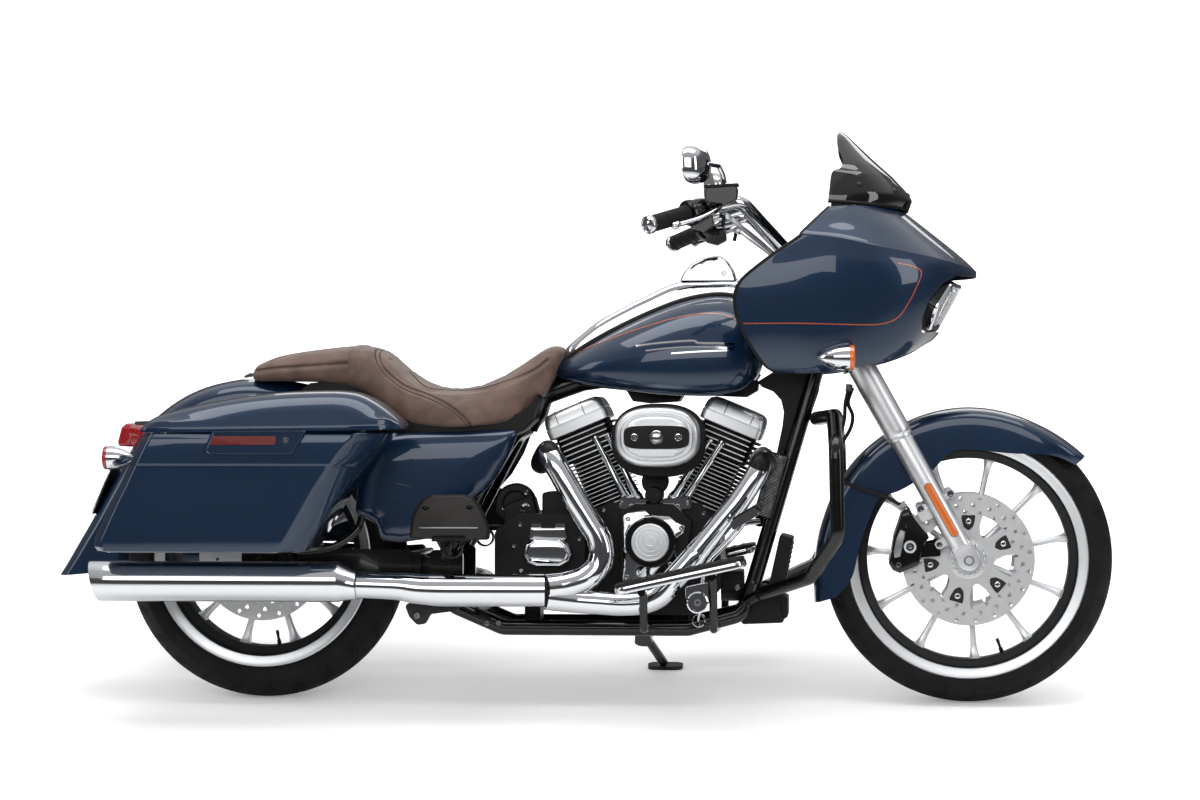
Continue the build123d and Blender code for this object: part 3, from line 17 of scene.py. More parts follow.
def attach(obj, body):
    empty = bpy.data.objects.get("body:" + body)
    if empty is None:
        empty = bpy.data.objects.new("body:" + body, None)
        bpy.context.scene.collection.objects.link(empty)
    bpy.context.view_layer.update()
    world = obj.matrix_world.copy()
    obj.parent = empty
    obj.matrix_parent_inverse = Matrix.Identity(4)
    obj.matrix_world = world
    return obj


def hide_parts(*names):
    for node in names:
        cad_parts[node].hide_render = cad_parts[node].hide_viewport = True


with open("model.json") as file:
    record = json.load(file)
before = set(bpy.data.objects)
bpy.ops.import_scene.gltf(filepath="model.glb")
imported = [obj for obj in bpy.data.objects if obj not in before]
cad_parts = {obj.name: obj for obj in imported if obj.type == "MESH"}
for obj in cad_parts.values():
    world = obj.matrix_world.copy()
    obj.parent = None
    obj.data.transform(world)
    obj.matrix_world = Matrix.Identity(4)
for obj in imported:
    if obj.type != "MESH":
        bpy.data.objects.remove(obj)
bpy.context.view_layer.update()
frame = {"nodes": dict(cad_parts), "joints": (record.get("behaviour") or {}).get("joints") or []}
nodes = frame["nodes"]
joints = {joint["name"]: joint for joint in frame["joints"]}
print(len(nodes), "nodes loaded")

# %% [markdown]
# Every size below is in millimetres on the upright machine: X runs forward from the rear
# axle, Y to the rider's left, Z up from the ground.  One matrix leans a finished piece over
# onto the side stand, and it is read from the rear wheel's own axle, so it always agrees
# with the frame.

# %% From the upright machine to the leaned one
REAR_AXLE = Vector((0, 0, 325))
FRONT_AXLE = Vector((1610, 0, 326))
RAKE = math.radians(29)
UP = Vector((0, 0, 1))
ACROSS, TO_RIGHT = (0, 1, 0), (0, -1, 0)

axle = Vector(joints["rear_wheel_spin"]["axis"])
lean = math.atan2(-axle.z, axle.y)
leaning = Matrix.Rotation(-lean, 4, "X")
hub = Vector(joints["rear_wheel_spin"]["pos_m"])
parked = Matrix.Translation(hub - leaning @ (REAR_AXLE * 0.001)) @ leaning @ Matrix.Scale(0.001, 4)
print("lean in degrees", round(math.degrees(lean), 2))


def leg_point(along, ahead=0.0, y=0.0):
    """A place by the fork: a distance up the leg from the axle, and ahead of the leg."""
    return Vector((FRONT_AXLE.x - math.sin(RAKE) * along + math.cos(RAKE) * ahead, y,
                   FRONT_AXLE.z + math.cos(RAKE) * along + math.sin(RAKE) * ahead))


def around(axle_place, radius, degrees, y=0.0):
    """A place at a radius and an angle about an axle, counted from straight ahead."""
    turn = math.radians(degrees)
    return Vector((axle_place.x + radius * math.cos(turn), y, axle_place.z + radius * math.sin(turn)))


# %% [markdown]
# ## Making meshes
# Sheet metal, castings and tubes all come down to a few moves: stack cross-sections, spin a
# profile, sweep a circle along a bent line, or cut an outline from plate.  Each move is one
# small helper that returns points and faces, and one more helper turns them into a piece.

# %% From points and faces to a piece that rides on the machine
made = []


def drawn(name, shape, outward=True, inside_out=None):
    """A new object from points and faces, its faces turned outward unless a test says otherwise."""
    points, faces = shape
    mesh = bpy.data.meshes.new(name)
    mesh.from_pydata([tuple(p) for p in points], [], [tuple(f) for f in faces])
    if outward:
        work = bmesh.new()
        work.from_mesh(mesh)
        bmesh.ops.recalc_face_normals(work, faces=work.faces)
        if inside_out and inside_out(work):
            bmesh.ops.reverse_faces(work, faces=work.faces)
        work.to_mesh(mesh)
        work.free()
    thing = bpy.data.objects.new(name, mesh)
    bpy.context.scene.collection.objects.link(thing)
    return thing


def applied(thing):
    """The piece's modifiers worked into its mesh."""
    seen = thing.evaluated_get(bpy.context.evaluated_depsgraph_get())
    mesh = bpy.data.meshes.new_from_object(seen)
    thing.modifiers.clear()
    thing.data = mesh
    mesh.name = thing.name


def walled(thing, thickness, offset=-1, even=False):
    """The thickness of the sheet given to a skin."""
    wall = thing.modifiers.new("wall", "SOLIDIFY")
    wall.thickness = thickness
    wall.offset = offset
    wall.use_even_offset = even
    applied(thing)


def subdivided(thing, levels):
    """A piece rounded by subdivision."""
    surface = thing.modifiers.new("surface", "SUBSURF")
    surface.levels = surface.render_levels = levels
    applied(thing)


def fasten(thing, finish, smooth=35, replaces=(), body="chassis"):
    """A mesh drawn on the upright machine, leaned over and fastened to a body."""
    thing.data.transform(parked)
    thing.data.shade_smooth()
    if smooth < 180:
        thing.data.set_sharp_from_angle(angle=math.radians(smooth))
    thing.data.materials.clear()
    thing.data.materials.append(finish)
    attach(thing, body)
    if replaces:
        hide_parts(*replaces)
    made.append(thing)
    return thing


def piece(name, shape, finish, smooth=35, replaces=(), body="chassis", subdivide=0):
    """A finished piece, from one shape or a list of them, smoothed and fastened to a body."""
    thing = drawn(name, as_one(shape))
    if subdivide:
        subdivided(thing, subdivide)
    return fasten(thing, finish, smooth, replaces, body)


# %% The moves
def as_one(shape):
    """One shape, from a shape or a list of them."""
    return joined(*shape) if isinstance(shape, list) else shape


def joined(*shapes):
    """Several shapes as one."""
    points, faces = [], []
    for some_points, some_faces in shapes:
        base = len(points)
        points += list(some_points)
        faces += [[base + i for i in face] for face in some_faces]
    return points, faces


def mirrored(shape):
    """A shape on the machine's other side."""
    points, faces = shape
    return [Vector((p[0], -p[1], p[2])) for p in points], [list(reversed(f)) for f in faces]


def both(shape):
    """A shape, or a list of them, on both sides of the machine."""
    right = as_one(shape)
    return joined(right, mirrored(right))


def carried_over(line, first=0):
    """Half a section carried over the middle to the other side, where it ends at a point's twin."""
    return line + [Vector((p.x, -p.y, p.z)) for p in reversed(line[first:-1])]


def stacked(rows, closed=True, capped=True):
    """A skin over a stack of cross-sections that all have the same number of points."""
    count = len(rows[0])
    points = [p for row in rows for p in row]
    faces = []
    for level in range(len(rows) - 1):
        for i in range(count if closed else count - 1):
            j = (i + 1) % count
            faces.append([level * count + i, level * count + j, (level + 1) * count + j, (level + 1) * count + i])
    if capped:
        faces.append(list(reversed(range(count))))
        faces.append([(len(rows) - 1) * count + i for i in range(count)])
    return points, faces


def spun(profile, centre, axis=ACROSS, steps=64, closed=False):
    """A profile of (along the axis, radius) pairs turned about an axis through a centre."""
    axis = Vector(axis).normalized()
    first = axis.orthogonal().normalized()
    second = axis.cross(first)
    rows = []
    for step in range(steps):
        turn = 2 * math.pi * step / steps
        out = first * math.cos(turn) + second * math.sin(turn)
        rows.append([Vector(centre) + axis * along + out * radius for along, radius in profile])
    count = len(profile)
    points = [p for row in rows for p in row]
    faces = []
    for step in range(steps):
        ahead = (step + 1) % steps
        for i in range(count if closed else count - 1):
            j = (i + 1) % count
            faces.append([step * count + i, step * count + j, ahead * count + j, ahead * count + i])
    return points, faces


def rounded(points, bend, per_corner=6):
    """A line through points with each corner rounded to a bend radius."""
    points = [Vector(p) for p in points]
    line = [points[0]]
    for before, corner, after in zip(points, points[1:], points[2:]):
        one, two = (before - corner).normalized(), (after - corner).normalized()
        half = one.angle(two) / 2
        if half > math.radians(89):
            line.append(corner)
            continue
        reach = min(bend / math.tan(half), 0.48 * (before - corner).length, 0.48 * (after - corner).length)
        radius = reach * math.tan(half)
        middle = corner + (one + two).normalized() * (radius / math.sin(half))
        start, end = corner + one * reach - middle, corner + two * reach - middle
        sweep = start.angle(end)
        for k in range(per_corner + 1):
            share = k / per_corner
            line.append(middle + (start * math.sin((1 - share) * sweep) +
                                  end * math.sin(share * sweep)) / math.sin(sweep))
    line.append(points[-1])
    return line


def swept(points, radius, bend=0.0, sides=20, capped=True, flat=1.0):
    """A round bar or tube along a line; radius may be one number or one for each point."""
    line = rounded(points, bend) if bend else [Vector(p) for p in points]
    radii = radius if isinstance(radius, (list, tuple)) else [radius] * len(line)
    normal = None
    rows = []
    for i, place in enumerate(line):
        ahead = (line[min(i + 1, len(line) - 1)] - line[max(i - 1, 0)]).normalized()
        if normal is None:
            normal = UP - ahead * ahead.dot(UP)
            if normal.length < 0.05:
                normal = ahead.orthogonal()
            normal.normalize()
        else:
            normal = (normal - ahead * ahead.dot(normal)).normalized()
        side = ahead.cross(normal)
        rows.append([place + (normal * math.cos(a) + side * math.sin(a) * flat) * radii[i]
                     for a in (2 * math.pi * k / sides for k in range(sides))])
    return stacked(rows, capped=capped)


def plate(outline, *places):
    """An outline of (X, Z) pairs carried from place to place across the machine."""
    return stacked([[Vector((x, y, z)) for x, z in outline] for y in places])


def softened(outline, radius, per_corner=5):
    """A closed outline with its corners rounded, by one radius or a tuple of them."""
    count = len(outline)
    radii = radius if isinstance(radius, tuple) else [radius] * count
    line = []
    for i in range(count):
        before, corner, after = (Vector((*outline[(i + k) % count], 0)) for k in (-1, 0, 1))
        half_before, half_after = (before + corner) / 2, (after + corner) / 2
        part = rounded([half_before, corner, half_after], radii[i], per_corner)
        line += [(p.x, p.y) for p in part[1:-1]]
    return line


# %% [markdown]
# ## Finishes
# Each finish is named for what the real surface is.  Colours are written as the eye sees
# them, in hex, and one function turns them into the linear numbers that Blender mixes.

# %% Colour and node helpers
MM_PER_METRE = 1000


def linear(code):
    """A hex colour as linear red, green, blue and alpha."""
    parts = [int(code[i:i + 2], 16) / 255 for i in (1, 3, 5)]
    return [c / 12.92 if c <= 0.04045 else ((c + 0.055) / 1.055) ** 2.4 for c in parts] + [1.0]


def add_node(tree, kind, links=None, **settings):
    """A node with its settings, and its inputs linked from other nodes' outputs."""
    new = tree.nodes.new(kind)
    for key, value in settings.items():
        if key.startswith("in_"):
            name = key[3:]
            new.inputs[int(name) if name.isdigit() else name.replace("_", " ")].default_value = value
        else:
            setattr(new, key, value)
    for socket, source in (links or {}).items():
        tree.links.new(source, new.inputs[socket])
    return new


def finish_named(name, colour, metallic=0.0, roughness=0.5, **sockets):
    """A surface with its constant numbers set on the shader's own sockets."""
    material = bpy.data.materials.new(name)
    material.use_nodes = True
    tree = material.node_tree
    shader = tree.nodes["Principled BSDF"]
    shader.inputs["Base Color"].default_value = linear(colour)
    shader.inputs["Metallic"].default_value = metallic
    shader.inputs["Roughness"].default_value = roughness
    for key, value in sockets.items():
        shader.inputs[key.replace("_", " ")].default_value = value
    material.diffuse_color = linear(colour)
    return material, tree, shader


def grain(tree, shader, millimetres, strength, distance=0.0004, detail=3.0, stretch=(1, 1, 1)):
    """A fine relief whose features are this many millimetres across; with no detail it is made of cells."""
    place = add_node(tree, "ShaderNodeTexCoord")
    spread = add_node(tree, "ShaderNodeMapping", {"Vector": place.outputs["Object"]}, in_Scale=stretch)
    links, scale = {"Vector": spread.outputs["Vector"]}, MM_PER_METRE / millimetres
    if detail:
        height = add_node(tree, "ShaderNodeTexNoise", links, in_Scale=scale, in_Detail=detail).outputs["Fac"]
    else:
        height = add_node(tree, "ShaderNodeTexVoronoi", links, in_Scale=scale).outputs["Distance"]
    relief = add_node(tree, "ShaderNodeBump", {"Height": height}, in_Strength=strength, in_Distance=distance)
    tree.links.new(relief.outputs["Normal"], shader.inputs["Normal"])


def clouds(tree, millimetres, detail):
    """Soft noise that drifts over this many millimetres."""
    place = add_node(tree, "ShaderNodeTexCoord")
    noise = add_node(tree, "ShaderNodeTexNoise", {"Vector": place.outputs["Object"]},
                     in_Scale=MM_PER_METRE / millimetres, in_Detail=detail)
    return noise.outputs["Fac"]


def mottled(tree, shader, dark, light, millimetres, low=0.35, high=0.65):
    """The base colour drifting between two shades over this many millimetres."""
    ramp = add_node(tree, "ShaderNodeValToRGB", {"Fac": clouds(tree, millimetres, 4.0)})
    for stop, position, colour in zip(ramp.color_ramp.elements, (low, high), (dark, light)):
        stop.position, stop.color = position, linear(colour)
    tree.links.new(ramp.outputs["Color"], shader.inputs["Base Color"])


def worn(tree, shader, low, high, millimetres):
    """Roughness drifting between two values, as handled and wiped surfaces have."""
    span = add_node(tree, "ShaderNodeMapRange", {"Value": clouds(tree, millimetres, 5.0)}, in_3=low, in_4=high)
    tree.links.new(span.outputs["Result"], shader.inputs["Roughness"])


def surface(name, colour, metallic, roughness, drift=None, relief=None, wear=None, **sockets):
    """A finish with, where it has them, a drifting colour, a relief and a drifting roughness."""
    material, tree, shader = finish_named(name, colour, metallic, roughness, **sockets)
    for effect, numbers in ((mottled, drift), (grain, relief), (worn, wear)):
        if numbers:
            effect(tree, shader, *numbers)
    return material


# %% [markdown]
# The bodywork is a metallic basecoat under clear lacquer.  The basecoat is a deep blue with
# aluminium flake, so it is part metallic with a fine sparkle; the lacquer is a coat layer
# that is nearly mirror smooth.

# %% Painted metal
blue_paint = surface("metallic_blue_lacquer", "#0c2440", 0.42, 0.34, ("#0a1f37", "#0f2a46", 2.2, 0.3, 0.7),
                     (1.6, 0.10, 0.0002, 1.0), Specular_IOR_Level=0.28, Coat_Weight=1.0, Coat_Roughness=0.025)
black_gloss = surface("black_gloss_enamel", "#070708", 0.0, 0.16, wear=(0.12, 0.26, 60),
                      Specular_IOR_Level=0.35, Coat_Weight=0.3, Coat_Roughness=0.05)
black_satin = surface("black_powder_coat", "#0a0a0b", 0.0, 0.42, None, (1.2, 0.25, 0.0002), (0.34, 0.52, 40),
                      Specular_IOR_Level=0.25)
stripe_orange = surface("orange_pinstripe_enamel", "#94401e", 0.0, 0.30, ("#8a3b1c", "#9e4724", 9),
                        Coat_Weight=1.0, Coat_Roughness=0.03)

# %% [markdown]
# Chrome is a mirror with faint long waves in it from the polishing wheel under the plating.
# Machined aluminium keeps the fine lines of the cutter, and cast or brushed parts scatter
# the light more widely.

# %% Bright metal
chrome = surface("polished_chrome_plate", "#dfe1e4", 1.0, 0.05, None, (70, 0.05, 0.0012, 2.0), (0.03, 0.08, 45))
machined = surface("machined_aluminium", "#e8eaec", 1.0, 0.38, None, (3.0, 0.10, 0.0002, 2.0, (1, 6, 1)),
                   (0.34, 0.46, 22))
fork_satin = surface("satin_fork_aluminium", "#e6e7e9", 1.0, 0.38, None, (2.4, 0.08, 0.0002, 2.0, (1, 1, 0.12)),
                     (0.33, 0.42, 30))
disc_steel = surface("ground_disc_steel", "#d2d3d4", 1.0, 0.42, None, (2.5, 0.12, 0.0002, 2.0), (0.36, 0.5, 14))
cast_dark = surface("dark_cast_aluminium", "#2a2b2c", 0.6, 0.5, None, (2.0, 0.3, 0.0003))
dull_steel = surface("zinc_plated_steel", "#8f9193", 1.0, 0.38, wear=(0.28, 0.5, 12))

# %% [markdown]
# Rubber, moulded plastic and leather are dull, and what tells them apart is the size of
# their grain.

# %% Soft and moulded materials
tyre_rubber = surface("vulcanised_tyre_rubber", "#0e0e0f", 0.0, 0.72, ("#0b0b0c", "#131314", 60),
                      (2.2, 0.25, 0.0003), Specular_IOR_Level=0.2)
grip_rubber = surface("moulded_grip_rubber", "#0d0d0e", 0.0, 0.6, None, (1.6, 0.4, 0.0003), Specular_IOR_Level=0.3)
black_plastic = surface("grained_black_nylon", "#0b0b0c", 0.0, 0.48, None, (1.4, 0.3, 0.0003),
                        Specular_IOR_Level=0.25)
board_rubber = surface("brown_black_pad_rubber", "#1f1b19", 0.0, 0.5, None, (1.8, 0.25, 0.0003),
                       Specular_IOR_Level=0.35)
leather = surface("brown_seat_leather", "#5a463c", 0.0, 0.52, ("#513e35", "#665046", 46), (2.6, 0.35, 0.0004, 0),
                  Specular_IOR_Level=0.4, Sheen_Weight=0.12, Sheen_Roughness=0.5)
thread = surface("brown_seat_thread", "#2c1f19", 0.0, 0.7, None, (1.2, 0.5, 0.0003))

# %% [markdown]
# Lenses are moulded acrylic, each a clear coloured gloss over a fine relief of cells.  Light that goes in
# comes back tinted off the ribs behind; the amber and red lenses carry a faint painted glow in its place.

# %% Lenses and screens
# The amber lens has a faint emission: a painted glow, since no lamp is lit behind it
amber = surface("amber_acrylic_painted_glow", "#b95a0e", 0.0, 0.16, None, (4.0, 0.5, 0.0006, 0), Coat_Weight=1.0,
                Coat_Roughness=0.03, Emission_Color=linear("#cf6a14"), Emission_Strength=0.12)
# The red lens has a faint emission: a painted glow, since no lamp is lit behind it
red_lens = surface("red_acrylic_painted_glow", "#8e1015", 0.0, 0.14, None, (4.0, 0.5, 0.0006, 0), Coat_Weight=1.0,
                   Coat_Roughness=0.03, Emission_Color=linear("#8e1015"), Emission_Strength=0.10)
dark_red = surface("dark_red_reflector", "#5e1a14", 0.0, 0.22, None, (3.5, 0.5, 0.0006, 0), Coat_Weight=1.0,
                   Coat_Roughness=0.04)
clear_glass = surface("clear_lamp_glass", "#f2f5f7", 0.0, 0.03, None, (9.0, 0.15, 0.0005, 1.0, (1, 1, 0.05)),
                      IOR=1.49, Transmission_Weight=0.92)
smoked = surface("smoked_polycarbonate", "#26282b", 0.0, 0.03, None, (160, 0.02, 0.001, 1.0),
                 IOR=1.585, Transmission_Weight=0.86, Coat_Weight=0.4, Coat_Roughness=0.02)
lamp_dark = surface("black_lamp_housing", "#0d0d0e", 0.0, 0.22, None, (3.0, 0.1, 0.0003))

# %% Every carried-over node gets its finish
FINISH = {node: finish for finish, names in (
    (black_gloss, "main_frame swingarm engine_guard side_stand triple_clamps brake_calipers rear_caliper"),
    (black_satin, "shock_absorbers crankcase cylinders primary_cover passenger_floorboards"),
    (chrome, "rocker_covers pushrod_tubes engine_covers air_cleaner mufflers exhaust_headers front_header "
     "foot_controls tank_console fuel_door rear_signal_bar front_signals handlebar mirrors"),
    (dull_steel, "exhaust_crossover front_axle"),
    (black_plastic, "oil_cooler dashboard hand_controls"),
    (grip_rubber, "rider_floorboards hand_grips"),
    (blue_paint, "fuel_tank side_covers rear_fender saddlebag_right saddlebag_left bag_lid_right bag_lid_left "
     "bag_latches fairing front_fender"),
    (leather, "seat"), (red_lens, "tail_light"), (clear_glass, "headlamp"), (smoked, "windscreen"),
    (fork_satin, "fork_sliders fork_covers"), (machined, "front_wheel rear_wheel"),
    (tyre_rubber, "front_tyre rear_tyre"), (disc_steel, "front_discs rear_disc_and_pulley"),
    ) for node in names.split()}
for name, node in nodes.items():
    node.data.materials.clear()
    node.data.materials.append(FINISH.get(name, black_satin))
print("nodes with no finish of their own:", sorted(set(nodes) - set(FINISH)))

# %% [markdown]
# ## Bodywork
# Pressed panels are smooth because the press tool was: a few measured sections, with a
# flowing curve drawn through them.  The same idea works here.  A table of points is drawn
# through in both directions, and the result is given the thickness of the sheet.

# %% Flowing curves
def flowing(points, per_span=6, closed=False):
    """A smooth line that passes through every point."""
    points = [Vector(p) for p in points]
    count = len(points)
    line = []
    for i in range(count if closed else count - 1):
        if closed:
            a, b, c, d = (points[(i + k) % count] for k in (-1, 0, 1, 2))
        else:
            a, b, c, d = (points[min(max(i + k, 0), count - 1)] for k in (-1, 0, 1, 2))
        for step in range(per_span):
            t = step / per_span
            line.append(0.5 * (2 * b + (c - a) * t + (2 * a - 5 * b + 4 * c - d) * t * t +
                               (3 * b - a - 3 * c + d) * t ** 3))
    if not closed:
        line.append(points[-1])
    return line


def flowing_between(rows, steps):
    """More rows between the given ones, drawn smoothly from row to row."""
    columns = [flowing(column, steps) for column in zip(*rows)]
    return [list(row) for row in zip(*columns)]


def flowing_skin(table, across, down):
    """A table of points drawn through in both directions."""
    return flowing_between([flowing(row, across) for row in table], down)


def sheet_metal(name, rows, thickness, finish, smooth, replaces, body="chassis", offset=1):
    """A skin with the thickness of its sheet, drawn to one side of it."""
    thing = drawn(name, stacked(rows, closed=False, capped=False), outward=False)
    walled(thing, thickness, offset, even=True)
    return fasten(thing, finish, smooth, replaces, body)


# %% [markdown]
# ### Fairing
# The fairing is a moulded shell fixed to the frame.  A crease runs from the rear edge to
# the nose: below it the sides are nearly upright, above it the deck slopes in to the
# screen.  The rows below run from the rear edge to the middle of the nose.

# %% Fairing shell
FAIRING_ROWS = [
    # each row: rear edge, mid side, shoulder, corner, front quarter, middle of the nose
    [(1182, 262, 748), (1290, 260, 749), (1400, 240, 768), (1468, 182, 790), (1508, 95, 812), (1526, 0, 822)],
    [(1158, 280, 765), (1275, 280, 766), (1400, 254, 786), (1478, 196, 808), (1522, 103, 828), (1540, 0, 836)],
    [(1126, 295, 812), (1262, 298, 814), (1404, 268, 826), (1492, 208, 842), (1542, 110, 860), (1560, 0, 866)],
    [(1099, 304, 872), (1250, 310, 874), (1412, 280, 882), (1512, 216, 892), (1568, 115, 902), (1588, 0, 906)],
    [(1101, 309, 935), (1250, 317, 938), (1422, 286, 940), (1530, 216, 942), (1594, 114, 944), (1615, 0, 946)],
    [(1158, 310, 988), (1285, 315, 988), (1428, 282, 980), (1536, 213, 972), (1600, 112, 966), (1625, 0, 962)],
    [(1234, 306, 1041), (1318, 303, 1033), (1430, 274, 1012), (1534, 208, 994), (1600, 110, 978), (1626, 0, 971)],
    [(1240, 303, 1049), (1322, 299, 1041), (1431, 269, 1019), (1532, 203, 1000), (1597, 106, 985), (1623, 0, 978)],
    [(1252, 288, 1062), (1330, 281, 1056), (1429, 247, 1040), (1513, 182, 1024), (1567, 95, 1014), (1589, 0, 1010)],
    [(1276, 256, 1087), (1342, 248, 1084), (1420, 212, 1074), (1478, 148, 1066), (1512, 78, 1062), (1526, 0, 1061)],
    [(1299, 216, 1111), (1352, 204, 1113), (1400, 166, 1114), (1434, 115, 1114), (1452, 60, 1114), (1458, 0, 1114)]]


skin = flowing_skin([carried_over([Vector((x, -y, z)) for x, y, z in row]) for row in FAIRING_ROWS], 8, 5)
fairing = sheet_metal("fairing_shell", skin, 4.0, blue_paint, 50, ["fairing"])
print("fairing points", len(fairing.data.vertices))

# %% [markdown]
# The twin lamps look out through one wide opening.  The opening is cut with a prism drawn
# as it looks from the front.

# %% The lamp opening
LAMP_OPENING = [(-158, 962), (-200, 944), (-222, 905), (-216, 862), (-190, 834), (-120, 838), (120, 838),
                (190, 834), (216, 862), (222, 905), (200, 944), (158, 962)]


def cut_away(thing, shape):
    """Cuts a shape, drawn on the upright machine, out of a finished piece."""
    cutter = drawn("cutter", shape)
    cutter.data.transform(parked)
    bpy.context.view_layer.update()
    cut = thing.modifiers.new("cut", "BOOLEAN")
    cut.object = cutter
    cut.operation = "DIFFERENCE"
    cut.solver = "EXACT"
    finish = thing.data.materials[0]
    applied(thing)
    thing.data.materials.clear()
    thing.data.materials.append(finish)
    bpy.data.objects.remove(cutter)


rim = softened(LAMP_OPENING, 12, 4)
cut_away(fairing, stacked([[Vector((x, y, z)) for y, z in rim] for x in (1440, 1680)]))
fairing.data.set_sharp_from_angle(angle=math.radians(40))

# %% The dark bowl behind the opening, and the trim along the rear edge
LAMP_MIDDLE = 898


def nose_face(y, z):
    """About how far forward the fairing's nose reaches."""
    return 1612 - 0.0024 * y * y - max(0, 945 - z) * 0.52


def one_face(line):
    """A flat face with a line for its outline."""
    return line, [list(range(len(line)))]


BOWL_SETBACK, BOWL_DEPTH = 14, 58.8
bowl_rows = [[Vector((nose_face(y, z) - BOWL_SETBACK - deep, y * scale, LAMP_MIDDLE + (z - LAMP_MIDDLE) * scale))
              for y, z in rim] for deep, scale in ((0, 1.02), (BOWL_DEPTH / 2, 0.97), (BOWL_DEPTH, 0.94))]
piece("lamp_bowl", [stacked(bowl_rows, capped=False), one_face(bowl_rows[-1])], lamp_dark, 50,
      ["headlamp"])
edge_line = flowing([(row[0][0] - 1, -row[0][1] - 1, row[0][2]) for row in FAIRING_ROWS], 4)
piece("fairing_edge_trim", both(swept(edge_line, 4.5, sides=10)), black_plastic, 180)

# %% [markdown]
# Each lamp is a sealed unit: a chromed bezel, a row of bright reflectors and a clear
# cover.  The units lean back with the nose.

# %% Headlamps
def lamp_point(y, up, out=0.0):
    """A place on the lamp's leaning face: across, up from its lower edge, and out."""
    return Vector((1534 + up * 0.56 - y * y * 0.00085 + out * 0.87, y, 838 + up - out * 0.49))


def lamp_ring(inset, out):
    """The lamp's outline, drawn in by an inset, at a depth."""
    inner, low, high = 30 + inset, 4 + inset, 106 - inset
    corners = [(inner, low), (150 - inset * 1.2, low), (187 - inset, 52), (172 - inset * 1.3, high), (inner, high)]
    return [lamp_point(y, up, out) for y, up in softened(corners, 12 - inset * 0.3, 4)]


def lamp_rings(*rings, capped=False):
    """A band that follows the outline of both lamps, through (inset, depth) pairs."""
    return both(stacked([lamp_ring(*one) for one in rings], capped=capped))


piece("headlamp_bezels", lamp_rings((0, -46), (0, 0), (5, 3), (10, -4), (12, -30)), lamp_dark, 40)
piece("headlamp_rims", lamp_rings((0, -3), (-1, -1), (-1, 3), (4, 6), (10, 1)), chrome, 30)
CUP = [(-14, 0.1), (-13, 7), (-6, 15), (6, 20), (8, 21.5), (6, 21.5)]
cups = [spun(CUP, lamp_point(y, up, -26), (0.9, 0, -0.42), 24) for up in (31, 79) for y in (58, 96, 134)]
piece("headlamp_reflectors", both(cups), chrome, 60)
piece("headlamp_backing", both(one_face(lamp_ring(8, -40))), lamp_dark)
piece("headlamp_covers", lamp_rings((9, -10), (9, -2), (16, 2), capped=True), clear_glass, 40)

# %% [markdown]
# ### Fuel tank
# The tank is two pressed halves welded along the bottom: broad shoulders, a hollow for the
# engine below, and a tail that runs under the seat.

# %% Fuel tank
TANK_SECTIONS = [
    # along X, half width, top, shoulder, widest, bottom
    (668, 34, 768, 762, 754, 744), (684, 66, 778, 768, 754, 738), (714, 104, 796, 780, 756, 730),
    (768, 141, 830, 806, 764, 720), (830, 166, 862, 836, 776, 711), (900, 184, 894, 864, 788, 702),
    (968, 195, 919, 886, 796, 697), (1036, 199, 931, 897, 800, 697), (1086, 192, 927, 892, 800, 705),
    (1116, 172, 908, 874, 798, 720), (1134, 138, 882, 852, 796, 742), (1142, 92, 856, 834, 795, 762)]
tank_rows = []
for x, half, top, shoulder, widest, bottom in TANK_SECTIONS:
    roof = min(768 + max(0, x - 730) * 0.172, top - 24)
    channel = min(37, half * 0.7)
    right = [(0, roof), (channel, roof), (channel + 1, bottom + 2), (half * 0.8, bottom), (half * 0.93, bottom + 8),
             (half * 0.995, (widest + bottom) / 2 + 6), (half, widest), (half * 0.93, (widest + shoulder) / 2),
             (half * 0.76, shoulder), (half * 0.44, top - (top - shoulder) * 0.30), (0, top)]
    tank_rows.append(carried_over([Vector((x, -y, z)) for y, z in right], 1))
tank = piece("tank_shell", stacked(flowing_between(tank_rows, 4)), blue_paint, 60, ["fuel_tank"],
             subdivide=1)
seam = [(x, -half * 0.85, bottom + 1) for x, half, _, _, _, bottom in TANK_SECTIONS[1:-1]]
piece("tank_weld_seam", both(swept(flowing(seam, 4), 3.2, sides=8)), blue_paint, 180)

# %% [markdown]
# ### Fenders
# A fender is a band rolled around the wheel's own centre: skirts, a soft shoulder and a
# crown.  Each station gives the outer radius and where the skirt ends.

# %% Fender maker
def fender_rows(axle_place, stations, half, crown):
    """Cross-sections of a fender: (degrees, outer radius, skirt radius, and how much of its width is left)."""
    rows = []
    for degrees, outer, skirt, *left in stations:
        size = left[0] if left else 1.0
        wide, rise = half * size, crown * size
        shoulder = outer - rise
        skirt = min(skirt, shoulder - 16 * size)
        turned = shoulder - 6 * size
        right = [(wide, skirt), (wide + 0.5 * size, (skirt + turned) / 2), (wide, turned),
                 (wide * 0.965, shoulder + rise * 0.25), (wide * 0.84, shoulder + rise * 0.60),
                 (wide * 0.5, shoulder + rise * 0.92), (0, outer)]
        rows.append(carried_over([around(axle_place, radius, degrees, -y) for y, radius in right]))
    return rows


